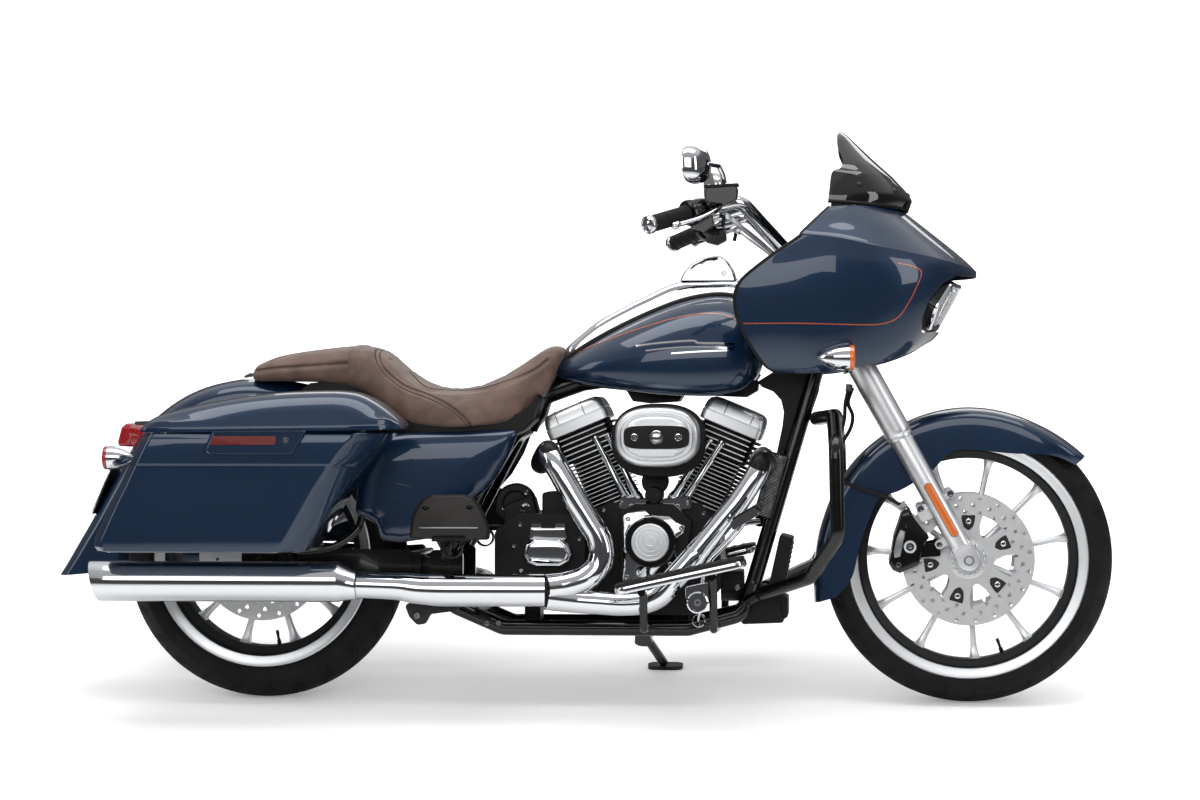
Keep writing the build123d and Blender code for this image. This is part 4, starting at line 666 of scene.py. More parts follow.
FENDER_SHEET = 3.0
FRONT_STATIONS = [
    (196.2, 362, 312), (193, 358, 282), (188, 353, 262), (180, 347, 250), (170, 342, 244), (158, 339, 240),
    (150, 339, 242), (144, 339, 240), (137, 339, 222), (129, 339, 213), (120, 339, 212), (112, 340, 216),
    (106, 341, 228), (99, 342, 246), (90, 343, 248), (80, 343, 248), (70, 343, 255), (60, 344, 274),
    (54, 346, 292, 0.98), (49, 348, 306, 0.92), (45, 350, 314, 0.82), (43, 351, 318, 0.74), (41.4, 352, 321, 0.66)]
front_fender = sheet_metal("front_fender_shell",
                           flowing_skin(fender_rows(FRONT_AXLE, FRONT_STATIONS, 84, 26), 4, 3),
                           FENDER_SHEET, blue_paint, 50, ["front_fender"], "steering")
REAR_STATIONS = [
    (40, 400, 332), (56, 402, 300), (74, 404, 288), (92, 407, 286), (104, 410, 290), (114, 411, 300),
    (124, 408, 312), (134, 402, 318), (146, 392, 318), (158, 394, 318), (168, 408, 322), (176, 432, 326),
    (182, 458, 330), (185.4, 478, 334)]
rear_fender = sheet_metal("rear_fender_shell", flowing_skin(fender_rows(REAR_AXLE, REAR_STATIONS, 103, 34), 4, 4),
                          FENDER_SHEET, blue_paint, 50, ["rear_fender"])
for fender in (front_fender, rear_fender):
    print(fender.name, len(fender.data.vertices))

# %% [markdown]
# ### Side covers
# A domed panel is its outline, drawn in and pushed out in a few rings, as a press would.

# %% Domed panels
def domed(outline, rings, corner, centre=None):
    """A side-view outline raised in rings of (share of full size, place across)."""
    line = softened(outline, corner, 4) if corner else outline
    cx = sum(x for x, z in line) / len(line) if centre is None else centre[0]
    cz = sum(z for x, z in line) / len(line) if centre is None else centre[1]
    return stacked([[Vector((cx + (x - cx) * share, y, cz + (z - cz) * share)) for x, z in line]
                    for share, y in rings])


def cushioned(outline, half, edge, share, corner):
    """A block right across the machine, its two ends drawn in a little."""
    return domed(outline, [(share, -half - edge), (1, -half), (1, half), (share, half + edge)], corner)


SIDE_COVER = [(250, 598), (346, 611), (470, 615), (604, 620), (580, 560), (552, 512), (521, 477), (448, 420),
              (400, 372), (330, 362), (288, 367), (272, 408), (228, 430), (236, 520)]
cover_rings = [(0.985, -150), (1.0, -154), (0.995, -160), (0.95, -170), (0.84, -178), (0.6, -181), (0.3, -182)]
piece("side_cover_panels", both(domed(SIDE_COVER, cover_rings, 16)), blue_paint, 50, ["side_covers"],
      subdivide=1)


# %% [markdown]
# ### Saddlebags
# Each bag is a hollow moulding, open at the top, with a lid that lifts.  The body is built
# from level rings, from the floor of the bag up to its rim; a ledge runs along the outer
# face and the front corner is cut away at an angle.

# %% Saddlebag bodies
def bag_ring(z, back, front, outer, chamfer, inner=-193.5):
    """A level cross-section of the right-hand bag; the outer face is farthest from the wheel."""
    corners = [(back, inner), (back, outer + 26), (back + 22, outer), (front - chamfer, outer),
               (front, outer + chamfer * 1.15), (front + 4, inner)]
    return [Vector((x, y, z)) for x, y in softened(corners, (6, 14, 14, 20, 20, 6), 4)]


BAG_LEVELS = [
    # height, back, front, outer face, cut of the front corner
    (351, -284, 128, -402, 46), (350, -298, 140, -412, 46), (353, -307, 148, -418, 47),
    (362, -313, 155, -421.5, 48), (380, -312, 168, -422.5, 50), (420, -294, 192, -423, 52),
    (460, -275, 216, -423.4, 54), (500, -255, 241, -423.6, 55), (534, -239, 265, -423.8, 55),
    (541, -235, 270, -424.2, 55), (546, -233, 274, -427.2, 55), (566, -223, 289, -427.5, 56),
    (590, -211, 310, -427.3, 56), (600, -206, 319, -426.8, 56), (604, -204, 323, -425, 56),
    (611, -200, 329, -425, 56)]


def moulding(name, right, wall, smooth, inside_out, body="chassis"):
    """A hollow moulding with an open mouth, on both sides; its wall is drawn inward."""
    for side, shape in (("right", right), ("left", mirrored(right))):
        node = name + "_" + side
        shell = drawn(node + "_shell", shape, inside_out=inside_out)
        walled(shell, wall)
        fasten(shell, blue_paint, smooth, [node], node if body == "own" else body)


def floor_looks_up(work):
    """True when the moulding's floor, its only many-sided face, is turned inward."""
    return sum(face.normal.z * face.calc_area() for face in work.faces if len(face.verts) > 4) > 0


levels = [bag_ring(*level) for level in BAG_LEVELS]
points, faces = stacked(levels, capped=False)
moulding("saddlebag", (points, faces + [list(range(len(levels[0])))]), 3.6, 26, floor_looks_up)

# %% [markdown]
# The lid is drawn in slices along its length instead, because its crown rises and falls the
# way a loaf does.

# %% Saddlebag lids
LID_SLICES = [
    # along X, height of the rim, crown, inner edge, outer edge
    (-207, 614, 624, -204, -404), (-204, 614, 634, -202, -410), (-192, 614, 644, -202, -417),
    (-165, 614, 657, -202, -423), (-120, 614.5, 669, -202, -427), (-60, 615, 682, -202, -429),
    (20, 616, 696, -202, -429), (100, 617, 704, -202, -428), (180, 618, 707, -202, -424),
    (235, 618.5, 706, -202, -416), (272, 619, 699, -202, -404), (305, 619.5, 682, -202, -388),
    (332, 620, 662, -202, -368), (350, 620, 645, -201, -346), (358, 620, 634, -203, -332),
    (361, 620, 627, -205, -326)]


def lid_slice(x, rim, crown, inner, outer):
    """A cross-section of the right-hand lid, over the top from its inner to its outer edge."""
    rise, across = crown - rim, outer - inner
    face = [(inner, rim), (inner - 0.5, rim + rise * 0.45), (inner + across * 0.03, rim + rise * 0.78),
            (inner + across * 0.14, rim + rise * 0.95), (inner + across * 0.42, crown),
            (inner + across * 0.70, crown - rise * 0.04), (inner + across * 0.84, crown - rise * 0.16),
            (inner + across * 0.93, crown - rise * 0.44), (inner + across * 0.975, rim + min(24, rise * 0.55)),
            (outer + 1.5, rim + min(12, rise * 0.4)), (outer, rim + min(9, rise * 0.3)), (outer, rim)]
    return [Vector((x, y, z)) for y, z in face]


def crown_looks_down(work):
    """True when the lid's highest face is turned inward."""
    return max(work.faces, key=lambda face: face.calc_center_median().z).normal.z < 0


slices = flowing_skin([lid_slice(*one) for one in LID_SLICES], 3, 3)
count = len(slices[0])
points, faces = stacked(slices, closed=False, capped=False)
ends = [list(reversed(range(count))), [len(points) - count + i for i in range(count)]]
moulding("bag_lid", (points, faces + ends), 3.4, 32, crown_looks_down, "own")

# %% The latch lever in its raised surround, with a reflector and a lock
LATCH = [(-62, 574), (-44, 616), (166, 618), (160, 606), (138, 571), (130, 567), (-54, 567)]
surround = [(1.0, -426.5), (1.0, -430.5), (0.985, -433), (0.955, -433.5), (0.93, -431.5), (0.925, -429)]
piece("bag_latches_shell", both(domed(LATCH, surround, 7)), blue_paint, 40, ["bag_latches"])
REFLECTOR = [(-48, 587), (-40, 606), (98, 606), (98, 592), (94, 587)]
piece("bag_reflectors", both(domed(REFLECTOR, [(1.0, -428), (1.0, -431.6), (0.985, -432.6)], 2)), dark_red,
      40)
lock = spun([(0, 0.1), (0, 3.2), (-1.5, 3.6), (-1.5, 7), (-3, 8), (-6, 8)], (119, -433, 598), TO_RIGHT, 28)
piece("bag_locks", both(lock), chrome, 50)

# %% [markdown]
# ## Seat
# A seat cover is stitched a little tight over foam, and the foam pushes back.  Cloth under a
# little pressure does the same: it starts slightly small, swells against its seams, and the
# lines that the stitching pins down stay as they are.

# %% The foam, section by section
SEAT_SLICES = [
    # along X, bottom, top, half width, how square the section is
    (-22, 733, 748, 62, 0.3), (-16, 730, 762, 90, 0.4), (2, 728, 774, 110, 0.6), (40, 728, 782, 122, 0.7),
    (110, 727, 793, 130, 0.7), (187, 722, 804, 136, 0.7), (236, 710, 809, 139, 0.6), (268, 692, 803, 140, 0.5),
    (296, 670, 785, 143, 0.4), (324, 648, 760, 150, 0.35), (356, 633, 735, 160, 0.35), (400, 627, 716, 172, 0.35),
    (450, 624, 710, 180, 0.35), (500, 627, 717, 179, 0.35), (550, 632, 736, 169, 0.35), (592, 641, 759, 152, 0.4),
    (626, 658, 784, 131, 0.45), (648, 690, 800, 112, 0.5), (664, 722, 808, 95, 0.5), (678, 752, 809, 80, 0.5),
    (690, 782, 806, 62, 0.4)]


def seat_slice(x, bottom, top, half, square):
    """A cross-section of the seat: a flat base, a full side and a soft crown."""
    rise = top - bottom
    right = [(0, bottom), (half * 0.55, bottom), (half * 0.9, bottom), (half * 0.985, bottom + rise * 0.10),
             (half, bottom + rise * 0.34), (half * 0.965, bottom + rise * 0.60),
             (half * (0.80 + 0.14 * square), bottom + rise * 0.83),
             (half * (0.56 + 0.2 * square), bottom + rise * 0.94), (half * 0.32, bottom + rise * 0.99), (0, top)]
    return carried_over([Vector((x, -y, z)) for y, z in right], 1)


NET_CELL, SWELL_CAP = 0.006, 0.008  # metres

rings = flowing_between([seat_slice(*one) for one in SEAT_SLICES], 4)
points, faces = stacked([flowing(ring, 3, closed=True) for ring in rings])
cushion = drawn("seat_cushion", ([parked @ p for p in points], faces))
net = cushion.modifiers.new("net", "REMESH")
net.mode = "VOXEL"
net.voxel_size = NET_CELL
net.use_smooth_shade = True
applied(cushion)
print("cover points", len(cushion.data.vertices))

# %% [markdown]
# The seams are drawn as lines on the cover, seen from the side.  A point near a seam is
# pinned, because the thread holds it; so is the base, which is stapled to its pan.

# %% Seams and pinned points
upright = parked.inverted()
SEAMS = {
    "pillion_side": flowing([(-10, 0, 750), (40, 0, 756), (98, 0, 760), (207, 0, 767)], 14),
    "sweep": flowing([(268, 0, 806), (277, 0, 775), (299, 0, 745), (341, 0, 714), (394, 0, 694), (439, 0, 674),
                      (473, 0, 649), (490, 0, 628)], 12),
    "scoop": flowing([(300, 0, 777), (345, 0, 736), (380, 0, 712), (414, 0, 704), (497, 0, 704), (573, 0, 724),
                      (633, 0, 752), (660, 0, 774)], 12),
    }


def seam_distance(place):
    """How far a place on the cover is from the nearest seam, seen from the side."""
    return min(math.hypot(p.x - place.x, p.z - place.z) for seam in SEAMS.values() for p in seam)


flat = [upright @ v.co for v in cushion.data.vertices]
pins = cushion.vertex_groups.new(name="pins")
BASE_RISE, FLANK, SEAM_HOLD = 7, 70, 4.5
pinned = []
for index, place in enumerate(flat):
    bottom = min(SEAT_SLICES, key=lambda one: abs(one[0] - place.x))[1]
    if place.z < bottom + BASE_RISE or (abs(place.y) > FLANK and seam_distance(place) < SEAM_HOLD):
        pinned.append(index)
pins.add(pinned, 1.0, "REPLACE")
print("pinned", len(pinned))

# %% The swelling
LAST_FRAME = 20
resting = [v.co.copy() for v in cushion.data.vertices]
cloth = cushion.modifiers.new("cover", "CLOTH")
cloth.settings.vertex_group_mass = "pins"
cloth.settings.use_pressure = True
cloth.settings.uniform_pressure_force = 4
cloth.settings.effector_weights.gravity = 0
cloth.settings.tension_stiffness = 12
cloth.settings.compression_stiffness = 12
cloth.settings.bending_stiffness = 0.6
cloth.settings.quality = 5
cloth.point_cache.frame_start = 1
cloth.point_cache.frame_end = LAST_FRAME
for number in range(1, LAST_FRAME + 1):
    bpy.context.scene.frame_set(number)
applied(cushion)
bpy.context.scene.frame_set(1)
reach = 0.0
for vertex, start in zip(cushion.data.vertices, resting):
    moved = vertex.co - start
    reach = max(reach, moved.length)
    if moved.length > SWELL_CAP:
        vertex.co = start + moved.normalized() * SWELL_CAP
print("largest swelling in mm before the cap", round(reach * 1000, 1))

# %% [markdown]
# A last pass of subdivision gives the seams room to sink in: each stitched line is a narrow
# valley between two soft rolls.

# %% Sunken seams
CROWN_HALF, SEAM_REACH = 50, 22
subdivided(cushion, 1)
normals = [v.normal.copy() for v in cushion.data.vertices]
for vertex, normal in zip(cushion.data.vertices, normals):
    place = upright @ vertex.co
    if abs(place.y) < CROWN_HALF:
        continue
    gap = seam_distance(place)
    if gap < SEAM_REACH:
        vertex.co -= normal * 0.001 * (2.6 * math.exp(-(gap / 3.2) ** 2) - 0.9 * math.exp(-((gap - 10) / 5) ** 2))
cushion.data.transform(upright)
fasten(cushion, leather, 180, ["seat"])

# %% [markdown]
# The stitches and the strap lie on the finished cover, so their places are found on its
# surface, by looking at it from the side.

# %% Thread and strap
cover = BVHTree.FromPolygons([upright @ v.co for v in cushion.data.vertices],
                             [tuple(f.vertices) for f in cushion.data.polygons])


def on_cover(start, direction):
    """The place and outward direction where a straight look meets the cover."""
    return cover.ray_cast(Vector(start), Vector(direction).normalized())[:2]


STITCH, PITCH, THICK = 4.2, 6.4, 0.75


def stitches(line, apart):
    """Short threads beside a seam, each a little bar that lies on the leather."""
    shapes = []
    run, last = 0.0, None
    for place in flowing(line, 6):
        if last is None:
            last = place
            continue
        run += (place - last).length
        if run < PITCH:
            continue
        along = (place - last).normalized()
        spot = place + Vector((-along.z, 0, along.x)) * apart
        met, normal = on_cover((spot.x, -300, spot.z), ACROSS)
        if met is not None and met.y < -40:
            lie = (along - normal * along.dot(normal)).normalized()
            bar = [met + normal * 0.35 + lie * STITCH * share + normal * THICK * lift
                   for share, lift in ((-0.5, 0), (-0.25, 0.5), (0.25, 0.5), (0.5, 0))]
            shapes.append(swept(bar, [THICK * 0.35, THICK, THICK, THICK * 0.35], sides=5))
        run, last = 0.0, place
    return joined(*shapes)


rows = [stitches(SEAMS["pillion_side"], 4.5), stitches(SEAMS["sweep"], 4.5), stitches(SEAMS["sweep"], -4.5),
        stitches(SEAMS["scoop"], 4.5)]
piece("seat_stitching", both(rows), thread, 60)


def strap_line(low_x, high_x, lift):
    """A line over the cover from one side to the other, leaning forward as it rises."""
    line = []
    for turn in map(math.radians, range(-104, 105, 4)):
        out = Vector((0, math.sin(turn), math.cos(turn)))
        x = low_x + (high_x - low_x) * max(0, math.cos(turn))
        met, normal = on_cover(Vector((x, 0, 745)) + out * 260, -out)
        if met is not None:
            line.append(met + normal * lift)
    return line


edges = [strap_line(207 + k * 3.5, 213 + k * 4.4, lift)
         for k, lift in enumerate((0.2, 2.0, 2.4, 2.4, 2.4, 2.0, 0.2))]
count = min(len(edge) for edge in edges)
strap = stacked([[edge[i] for edge in edges] + [edges[3][i] - Vector((0, 0, 0.1))] for i in range(count)],
                capped=True)
piece("seat_strap", strap, leather, 50)

# %% [markdown]
# ## Wheels
# A tyre is moulded in a ring, so its section is spun once, and the grooves are pressed into
# the tread afterwards by moving the points that lie inside each groove's curved track.

# %% Tyres with tread
TREAD_STEPS = 720


def turned_over(profile):
    """A profile on the wheel's other side."""
    return [(-y, r) for y, r in reversed(profile)]


def tyre(name, place, radius, width, rim_radius, body, tracks, depth):
    """A tyre whose crown carries curved grooves, in tracks of (count, low, high, sweep, offset, width)."""
    half = width / 2
    drop = width * 0.23
    crown = [((half - 3) * k / 20, radius - drop * (abs((half - 3) * k / 20) / (half - 3)) ** 2.05)
             for k in range(-20, 21)]
    edge = rim_radius + 4
    side = [(half - 1.5, radius - drop - 7), (half - 3, radius - drop - 15), (half - 5.5, radius - drop - 24),
            (half - 11, (radius - drop + edge) / 2 - 4), (half - 15, edge + 10), (half - 17, edge + 8.5),
            (half - 19, edge)]
    profile = crown + side + [(half - 26, rim_radius - 8), (26 - half, rim_radius - 8)] + turned_over(side)
    points, faces = spun(profile, place, ACROSS, TREAD_STEPS, closed=True)
    moved = []
    for point in points:
        offset = point - place
        r = math.hypot(offset.x, offset.z)
        y = offset.y
        if r > radius - drop - 6 and abs(y) < half - 1:
            turn = math.degrees(math.atan2(offset.z, offset.x)) % 360
            sink = 0.0
            for count, low, high, sweep, offset_deg, wide in tracks:
                if low <= abs(y) <= high:
                    share = (abs(y) - low) / (high - low)
                    centre = offset_deg + sweep * share ** 0.75 + (180 / count if y > 0 else 0)
                    pitch = 360 / count
                    gap = (turn - centre + pitch / 2) % pitch - pitch / 2
                    across = abs(math.radians(gap) * radius)
                    if across < wide:
                        ends = min(1, (abs(y) - low) / 4 + 0.4, (high - abs(y)) / 4 + 0.4)
                        sink = max(sink, depth * ends * min(1, (wide - across) / (wide * 0.35)))
            r_new = r - sink
            point = place + Vector((offset.x * r_new / r, y, offset.z * r_new / r))
        moved.append(point)
    return piece(name, (moved, faces), tyre_rubber, 32, [name.replace("_tread", "")], body=body)


FRONT_RIM, REAR_RIM = 270, 250
front = tyre("front_tyre_tread", FRONT_AXLE, 326, 130, FRONT_RIM, "front_wheel",
             [(30, 9, 50, 9.5, 0, 3.4), (30, 36, 61, 5, 4, 2.6)], 3.2)
rear = tyre("rear_tyre_tread", REAR_AXLE, 325, 180, REAR_RIM, "rear_wheel",
            [(26, 14, 68, 12, 0, 4.0), (26, 52, 84, 6, 6, 3.2)], 3.6)
print("tread faces", len(front.data.polygons), len(rear.data.polygons))

# %% [markdown]
# The rims are cast aluminium with the outer band and the spoke faces machined bright, and
# the barrel painted dark.  One spoke is drawn as stations along its length and then copied
# around the hub.

# %% Rims and spokes
def bright_rim(place, rim_radius, half):
    """The machined flanges of a rim: a rolled lip and a flat band on both sides."""
    lip = [(half - 6, rim_radius - 14), (half - 3, rim_radius - 10), (half - 1.5, rim_radius - 3),
           (half - 0.8, rim_radius + 1.0), (half + 0.6, rim_radius + 2.0), (half + 2.4, rim_radius + 1.2),
           (half + 3, rim_radius - 1.5), (half + 1.4, rim_radius - 5), (half + 0.4, rim_radius - 9),
           (half - 1.2, rim_radius - 16), (half - 3.2, rim_radius - 21.5), (half - 5.5, rim_radius - 22.5)]
    return joined(*[spun(line, place, ACROSS, 180, closed=True) for line in (lip, turned_over(lip))])


def barrel(place, rim_radius, half):
    """The dark barrel between the flanges."""
    well = rim_radius - 43
    side = [(half - 5, rim_radius - 21), (half * 0.78, rim_radius - 24), (half * 0.62, rim_radius - 27),
            (half * 0.45, well + 1), (half * 0.3, well)]
    outer = [(half * 0.36, rim_radius - 33), (half * 0.6, rim_radius - 14), (half - 6, rim_radius - 13)]
    return spun(side + turned_over(side) + turned_over(outer) + outer, place, ACROSS, 180, closed=True)


SPOKE_SECTION = [(-1, -0.72), (-0.78, -0.95), (-0.3, -1), (0.3, -1), (0.78, -0.95), (1, -0.72), (1, 0.72),
                 (0.78, 0.95), (0.3, 1), (-0.3, 1), (-0.78, 0.95), (-1, 0.72)]


def spoke(place, degrees, hub_radius, rim_radius):
    """One spoke: a deep, rounded bar that flares into the rim."""
    end = rim_radius - 42
    stations = [(hub_radius - 4, 11, 17), (hub_radius + 10, 8.6, 15), (hub_radius + 40, 7, 12.6),
                ((hub_radius + end) / 2, 6.2, 12), (end - 42, 6.4, 12.4), (end - 20, 7.6, 14), (end - 6, 10.5, 18),
                (end + 3, 15, 24)]
    turn = math.radians(degrees)
    out = Vector((math.cos(turn), 0, math.sin(turn)))
    side = Vector((-out.z, 0, out.x))
    return stacked([[place + out * radius + side * (wide * a) + Vector((0, deep * b, 0)) for a, b in SPOKE_SECTION]
                    for radius, wide, deep in flowing(stations, 3)])


def hub_body(place, half, radius):
    """A turned hub with a waisted middle and a lipped flange at each end."""
    profile = [(-half, 13.5), (-half, 24), (-half + 1.2, 25.2), (-half + 7, 25.2), (-half + 9, 28),
               (-half + 12, radius), (-20, radius - 2), (-14, radius + 6), (14, radius + 6), (20, radius - 2),
               (half - 12, radius), (half - 9, 28), (half - 7, 25.2), (half - 1.2, 25.2), (half, 24), (half, 13.5)]
    return spun(profile, place, ACROSS, 96, closed=True)


SPOKES, HUB_RADIUS = 11, 33
for name, place, rim_radius, half, hub_half, first in (("front", FRONT_AXLE, FRONT_RIM, 50, 76, 86.0),
                                                       ("rear", REAR_AXLE, REAR_RIM, 70, 90, 39.0)):
    body = name + "_wheel"
    spokes = joined(*[spoke(place, -first + k * 360 / SPOKES, HUB_RADIUS + 1, rim_radius) for k in range(SPOKES)])
    piece(name + "_rim_bright", bright_rim(place, rim_radius, half), machined, 30,
          [name + "_wheel"], body=body)
    piece(name + "_rim_barrel", barrel(place, rim_radius, half), cast_dark, 30, body=body)
    piece(name + "_spokes", spokes, machined, 50, body=body)
    piece(name + "_hub_body", hub_body(place, hub_half, HUB_RADIUS), machined, 30, body=body)

# %% [markdown]
# The brake discs float: five arms carry a thin band drilled with three rows of holes.  The
# band is cut from plate with its holes in it, so light really passes through them.

# %% Drilled discs
def drilled_disc(place, y, outer, inner, thick, rows):
    """A friction band as a fine grid, with the cells inside each hole left out."""
    rings, steps, hole = 15, 360, 4.2
    index, points = {}, []
    for side in (-1, 1):
        for i in range(rings + 1):
            for k in range(steps):
                radius = inner + (outer - inner) * i / rings
                index[(side, i, k)] = len(points)
                points.append(around(place, radius, 360 * k / steps, y + side * thick / 2))
    open_cells = set()
    for row_radius, count, phase in rows:
        for n in range(count):
            angle = phase + 360 * n / count
            for i in range(rings):
                for k in range(steps):
                    gap = ((k + 0.5) - angle + 180) % 360 - 180
                    if abs(gap) > 4:
                        continue
                    radius = inner + (outer - inner) * (i + 0.5) / rings
                    if math.hypot(math.radians(gap) * row_radius, radius - row_radius) < hole:
                        open_cells.add((i, k))
    faces = []
    for i in range(rings):
        for k in range(steps):
            n = (k + 1) % steps
            if (i, k) in open_cells:
                continue
            for side in (-1, 1):
                quad = [index[(side, i, k)], index[(side, i + 1, k)], index[(side, i + 1, n)], index[(side, i, n)]]
                faces.append(quad if side > 0 else quad[::-1])
            for (a, b), there in ((((i, k), (i + 1, k)), (i, (k - 1) % steps)), (((i, n), (i + 1, n)), (i, n)),
                                  (((i, k), (i, n)), (i - 1, k)), (((i + 1, k), (i + 1, n)), (i + 1, k))):
                if there in open_cells or not 0 <= there[0] < rings:
                    faces.append([index[(-1, *a)], index[(-1, *b)], index[(1, *b)], index[(1, *a)]])
    used = sorted({v for face in faces for v in face})
    remap = {old: new for new, old in enumerate(used)}
    return [points[v] for v in used], [[remap[v] for v in face] for face in faces]


ARMS = [90 - 65.45 * k for k in range(5)]
CARRIER_BORE, CARRIER_ROOT, CARRIER_HALF = 27.7, 58, 2.0


def disc_carrier(place, y, inner):
    """The bolting ring of a disc and its five broad arms, with round windows between them."""
    arm = [(-32, CARRIER_ROOT), (-25, CARRIER_ROOT + 5), (-19, CARRIER_ROOT + 22), (-18, inner + 5)]
    outline = [(math.radians(middle + angle), radius) for middle in reversed(ARMS)
               for angle, radius in arm + turned_over(arm)]
    line = softened([(radius * math.cos(a), radius * math.sin(a)) for a, radius in outline], 7, 3)
    middle = Vector((place.x, 0, place.z))
    edge = [middle + Vector((x, 0, z)) for x, z in line]
    bore = [middle + (p - middle).normalized() * CARRIER_BORE for p in edge]
    points = [Vector((p.x, y + side * CARRIER_HALF, p.z)) for loop in (edge, bore) for side in (-1, 1)
              for p in loop]
    count, faces = len(edge), []
    for k in range(count):
        now, then = ([loop * count + at for loop in range(4)] for at in (k, (k + 1) % count))
        faces += [[now[0], then[0], then[1], now[1]], [now[2], now[3], then[3], then[2]],
                  [now[1], then[1], then[3], now[3]], [now[0], now[2], then[2], then[0]]]
    return points, faces


def domed_bolt(place, radius, height, axis=TO_RIGHT):
    """A button-head bolt with a recessed drive."""
    drive = radius * 0.45
    return spun([(-1, radius), (0, radius), (height * 0.5, radius * 0.96), (height, radius * 0.7), (height, drive),
                 (height * 0.2, drive * 0.92), (height * 0.2, 0.1)], place, axis, 20)


DISC_Y = 66
POCKET = [(-2, 66), (2, 66), (8, 74), (9.5, 88), (9, 101), (-9, 101), (-9.5, 88), (-8, 74)]
rows = [(107, 20, 4), (122, 20, 13), (138, 20, 7)]
shapes, carriers, bolts, sockets = [], [], [], []
for out in (-1, 1):
    y = out * DISC_Y
    shapes.append(drilled_disc(FRONT_AXLE, y, 149, 103, 4.4, rows))
    carriers.append(disc_carrier(FRONT_AXLE, y, 103))
    for middle in ARMS:
        bolts.append(domed_bolt(around(FRONT_AXLE, 86, middle, y + out * 3), 7.5, 4.5, (0, out, 0)))
        pocket = [around(FRONT_AXLE, radius, middle + degrees) for degrees, radius in POCKET]
        line = softened([(p.x, p.z) for p in pocket], 7, 3)
        sockets.append(plate(line, y + out * 1.6, y + out * 3.0))
    carriers.append(spun([(-2, 28), (-3.2, 29), (-3.2, 42), (-2, 44)], around(FRONT_AXLE, 0, 0, y), (0, -out, 0),
                         72))
    for n in range(18):
        bolts.append(spun([(0, 3.6), (2, 3), (3, 1.6), (3.2, 0.1)], around(FRONT_AXLE, 36, 20 * n, y + out * 3),
                          (0, out, 0), 10))
piece("front_disc_bands", shapes, disc_steel, 40, ["front_discs"], body="front_wheel")
piece("front_disc_carriers", carriers, disc_steel, 40, body="front_wheel")
piece("front_disc_bolts", bolts, chrome, 50, body="front_wheel")
piece("front_disc_pockets", sockets, cast_dark, 50, body="front_wheel")
rear_rows = [(104, 18, 3), (120, 18, 13), (135, 18, 7)]
piece("rear_disc_band", [drilled_disc(REAR_AXLE, -72, 145.5, 99, 4.6, rear_rows), disc_carrier(REAR_AXLE, -72, 99)],
      disc_steel, 40, ["rear_disc_and_pulley"], body="rear_wheel")

# %% The belt pulley on the left of the rear wheel, with its teeth
TEETH, TOOTH = 66, ((0.0, 106.5), (0.22, 110), (0.5, 110), (0.72, 106.5))
teeth = [around(REAR_AXLE, radius, 360 * (k + share) / TEETH) for k in range(TEETH) for share, radius in TOOTH]
inner_edge = [around(REAR_AXLE, 99, 360 * k / len(teeth)) for k in range(len(teeth))]
rows = [[Vector((p.x, y, p.z)) for p in line]
        for line, y in ((teeth, 64), (teeth, 88), (inner_edge, 88), (inner_edge, 64), (teeth, 64))]
web = spun([(74, 28), (74, 44), (77, 56), (77, 100), (82, 100), (82, 56), (79, 44), (79, 28)], REAR_AXLE, ACROSS,
           96, closed=True)
piece("rear_pulley", [stacked(rows, capped=False), web], cast_dark, 30, body="rear_wheel")
for name, place, rim_radius, phase in (("front", FRONT_AXLE, FRONT_RIM, -70), ("rear", REAR_AXLE, REAR_RIM, -82)):
    foot = around(place, rim_radius - 44, phase, -8)
    top = around(place, rim_radius - 76, phase, -14)
    stem = [(0, 5), (0.3, 4.6), (0.31, 3.2), (0.72, 3.2), (0.73, 4), (1, 3.8)]
    valve = swept([foot.lerp(top, share) for share, _ in stem], [radius for _, radius in stem], sides=14)
    piece(name + "_valve", valve, grip_rubber, 50, body=name + "_wheel")

# %% [markdown]
# ## Engine
# Two finned cylinders stand 45 degrees apart on one crankcase.  Everything on a cylinder is
# placed by how far out along its axis it is, so one short function serves both.

# %% Places on a cylinder
TILTS = (-22.5, 22.5)
CRANK_X, CRANK_Z = 903, 210


def on_cylinder(tilt, along, across, y):
    """Out along a cylinder's axis, then across it toward the front."""
    turn = math.radians(tilt)
    return Vector((CRANK_X + math.sin(turn) * along + math.cos(turn) * across, y,
                   CRANK_Z + math.cos(turn) * along - math.sin(turn) * across))


def footprint(tilt, along, half_across, low, high, corner, per_corner=4):
    """A rounded rectangle square to a cylinder's axis."""
    line = softened([(-half_across, low), (half_across, low), (half_across, high), (-half_across, high)], corner,
                    per_corner)
    return [on_cylinder(tilt, along, a, y) for a, y in line]


# %% Fins: black plates with a bright machined edge
barrels, fins, edges = [], [], []
for tilt in TILTS:
    barrels.append(stacked([[on_cylinder(tilt, along, 53 * math.cos(a), 53 * math.sin(a)) for a in
                             (2 * math.pi * k / 48 for k in range(48))] for along in (250, 384)]))
    barrels.append(stacked([footprint(tilt, along, 63, -66, 64, 16) for along in (378, 443)]))
    barrel_fins = [(258 + fin * 9.4, 2.6, 63 + fin * 1.0, 18) for fin in range(13)]
    head_fins = [(383 + fin * 12.2, 3.6, 77, 14) for fin in range(5)]
    for along, thick, half, corner in barrel_fins + head_fins:
        rings = [(along + thick * share, half + grow) for share, grow in ((0, -0.8), (0.3, 0), (0.7, 0), (1, -0.8))]
        fins.append(stacked([footprint(tilt, level, size, -2 - size, size, corner) for level, size in rings]))
        strip = [[on_cylinder(tilt, along + thick * share, -half * 0.72 + k * half * 1.44 / 8, -half - 2 - out)
                  for k in range(9)] for share, out in ((0.12, 0.0), (0.25, 0.5), (0.75, 0.5), (0.88, 0.0))]
        edges.append(stacked(strip, closed=False, capped=False))
piece("cylinder_barrels", barrels, black_satin, 40, ["cylinders"])
piece("cooling_fins", fins, black_satin, 40)
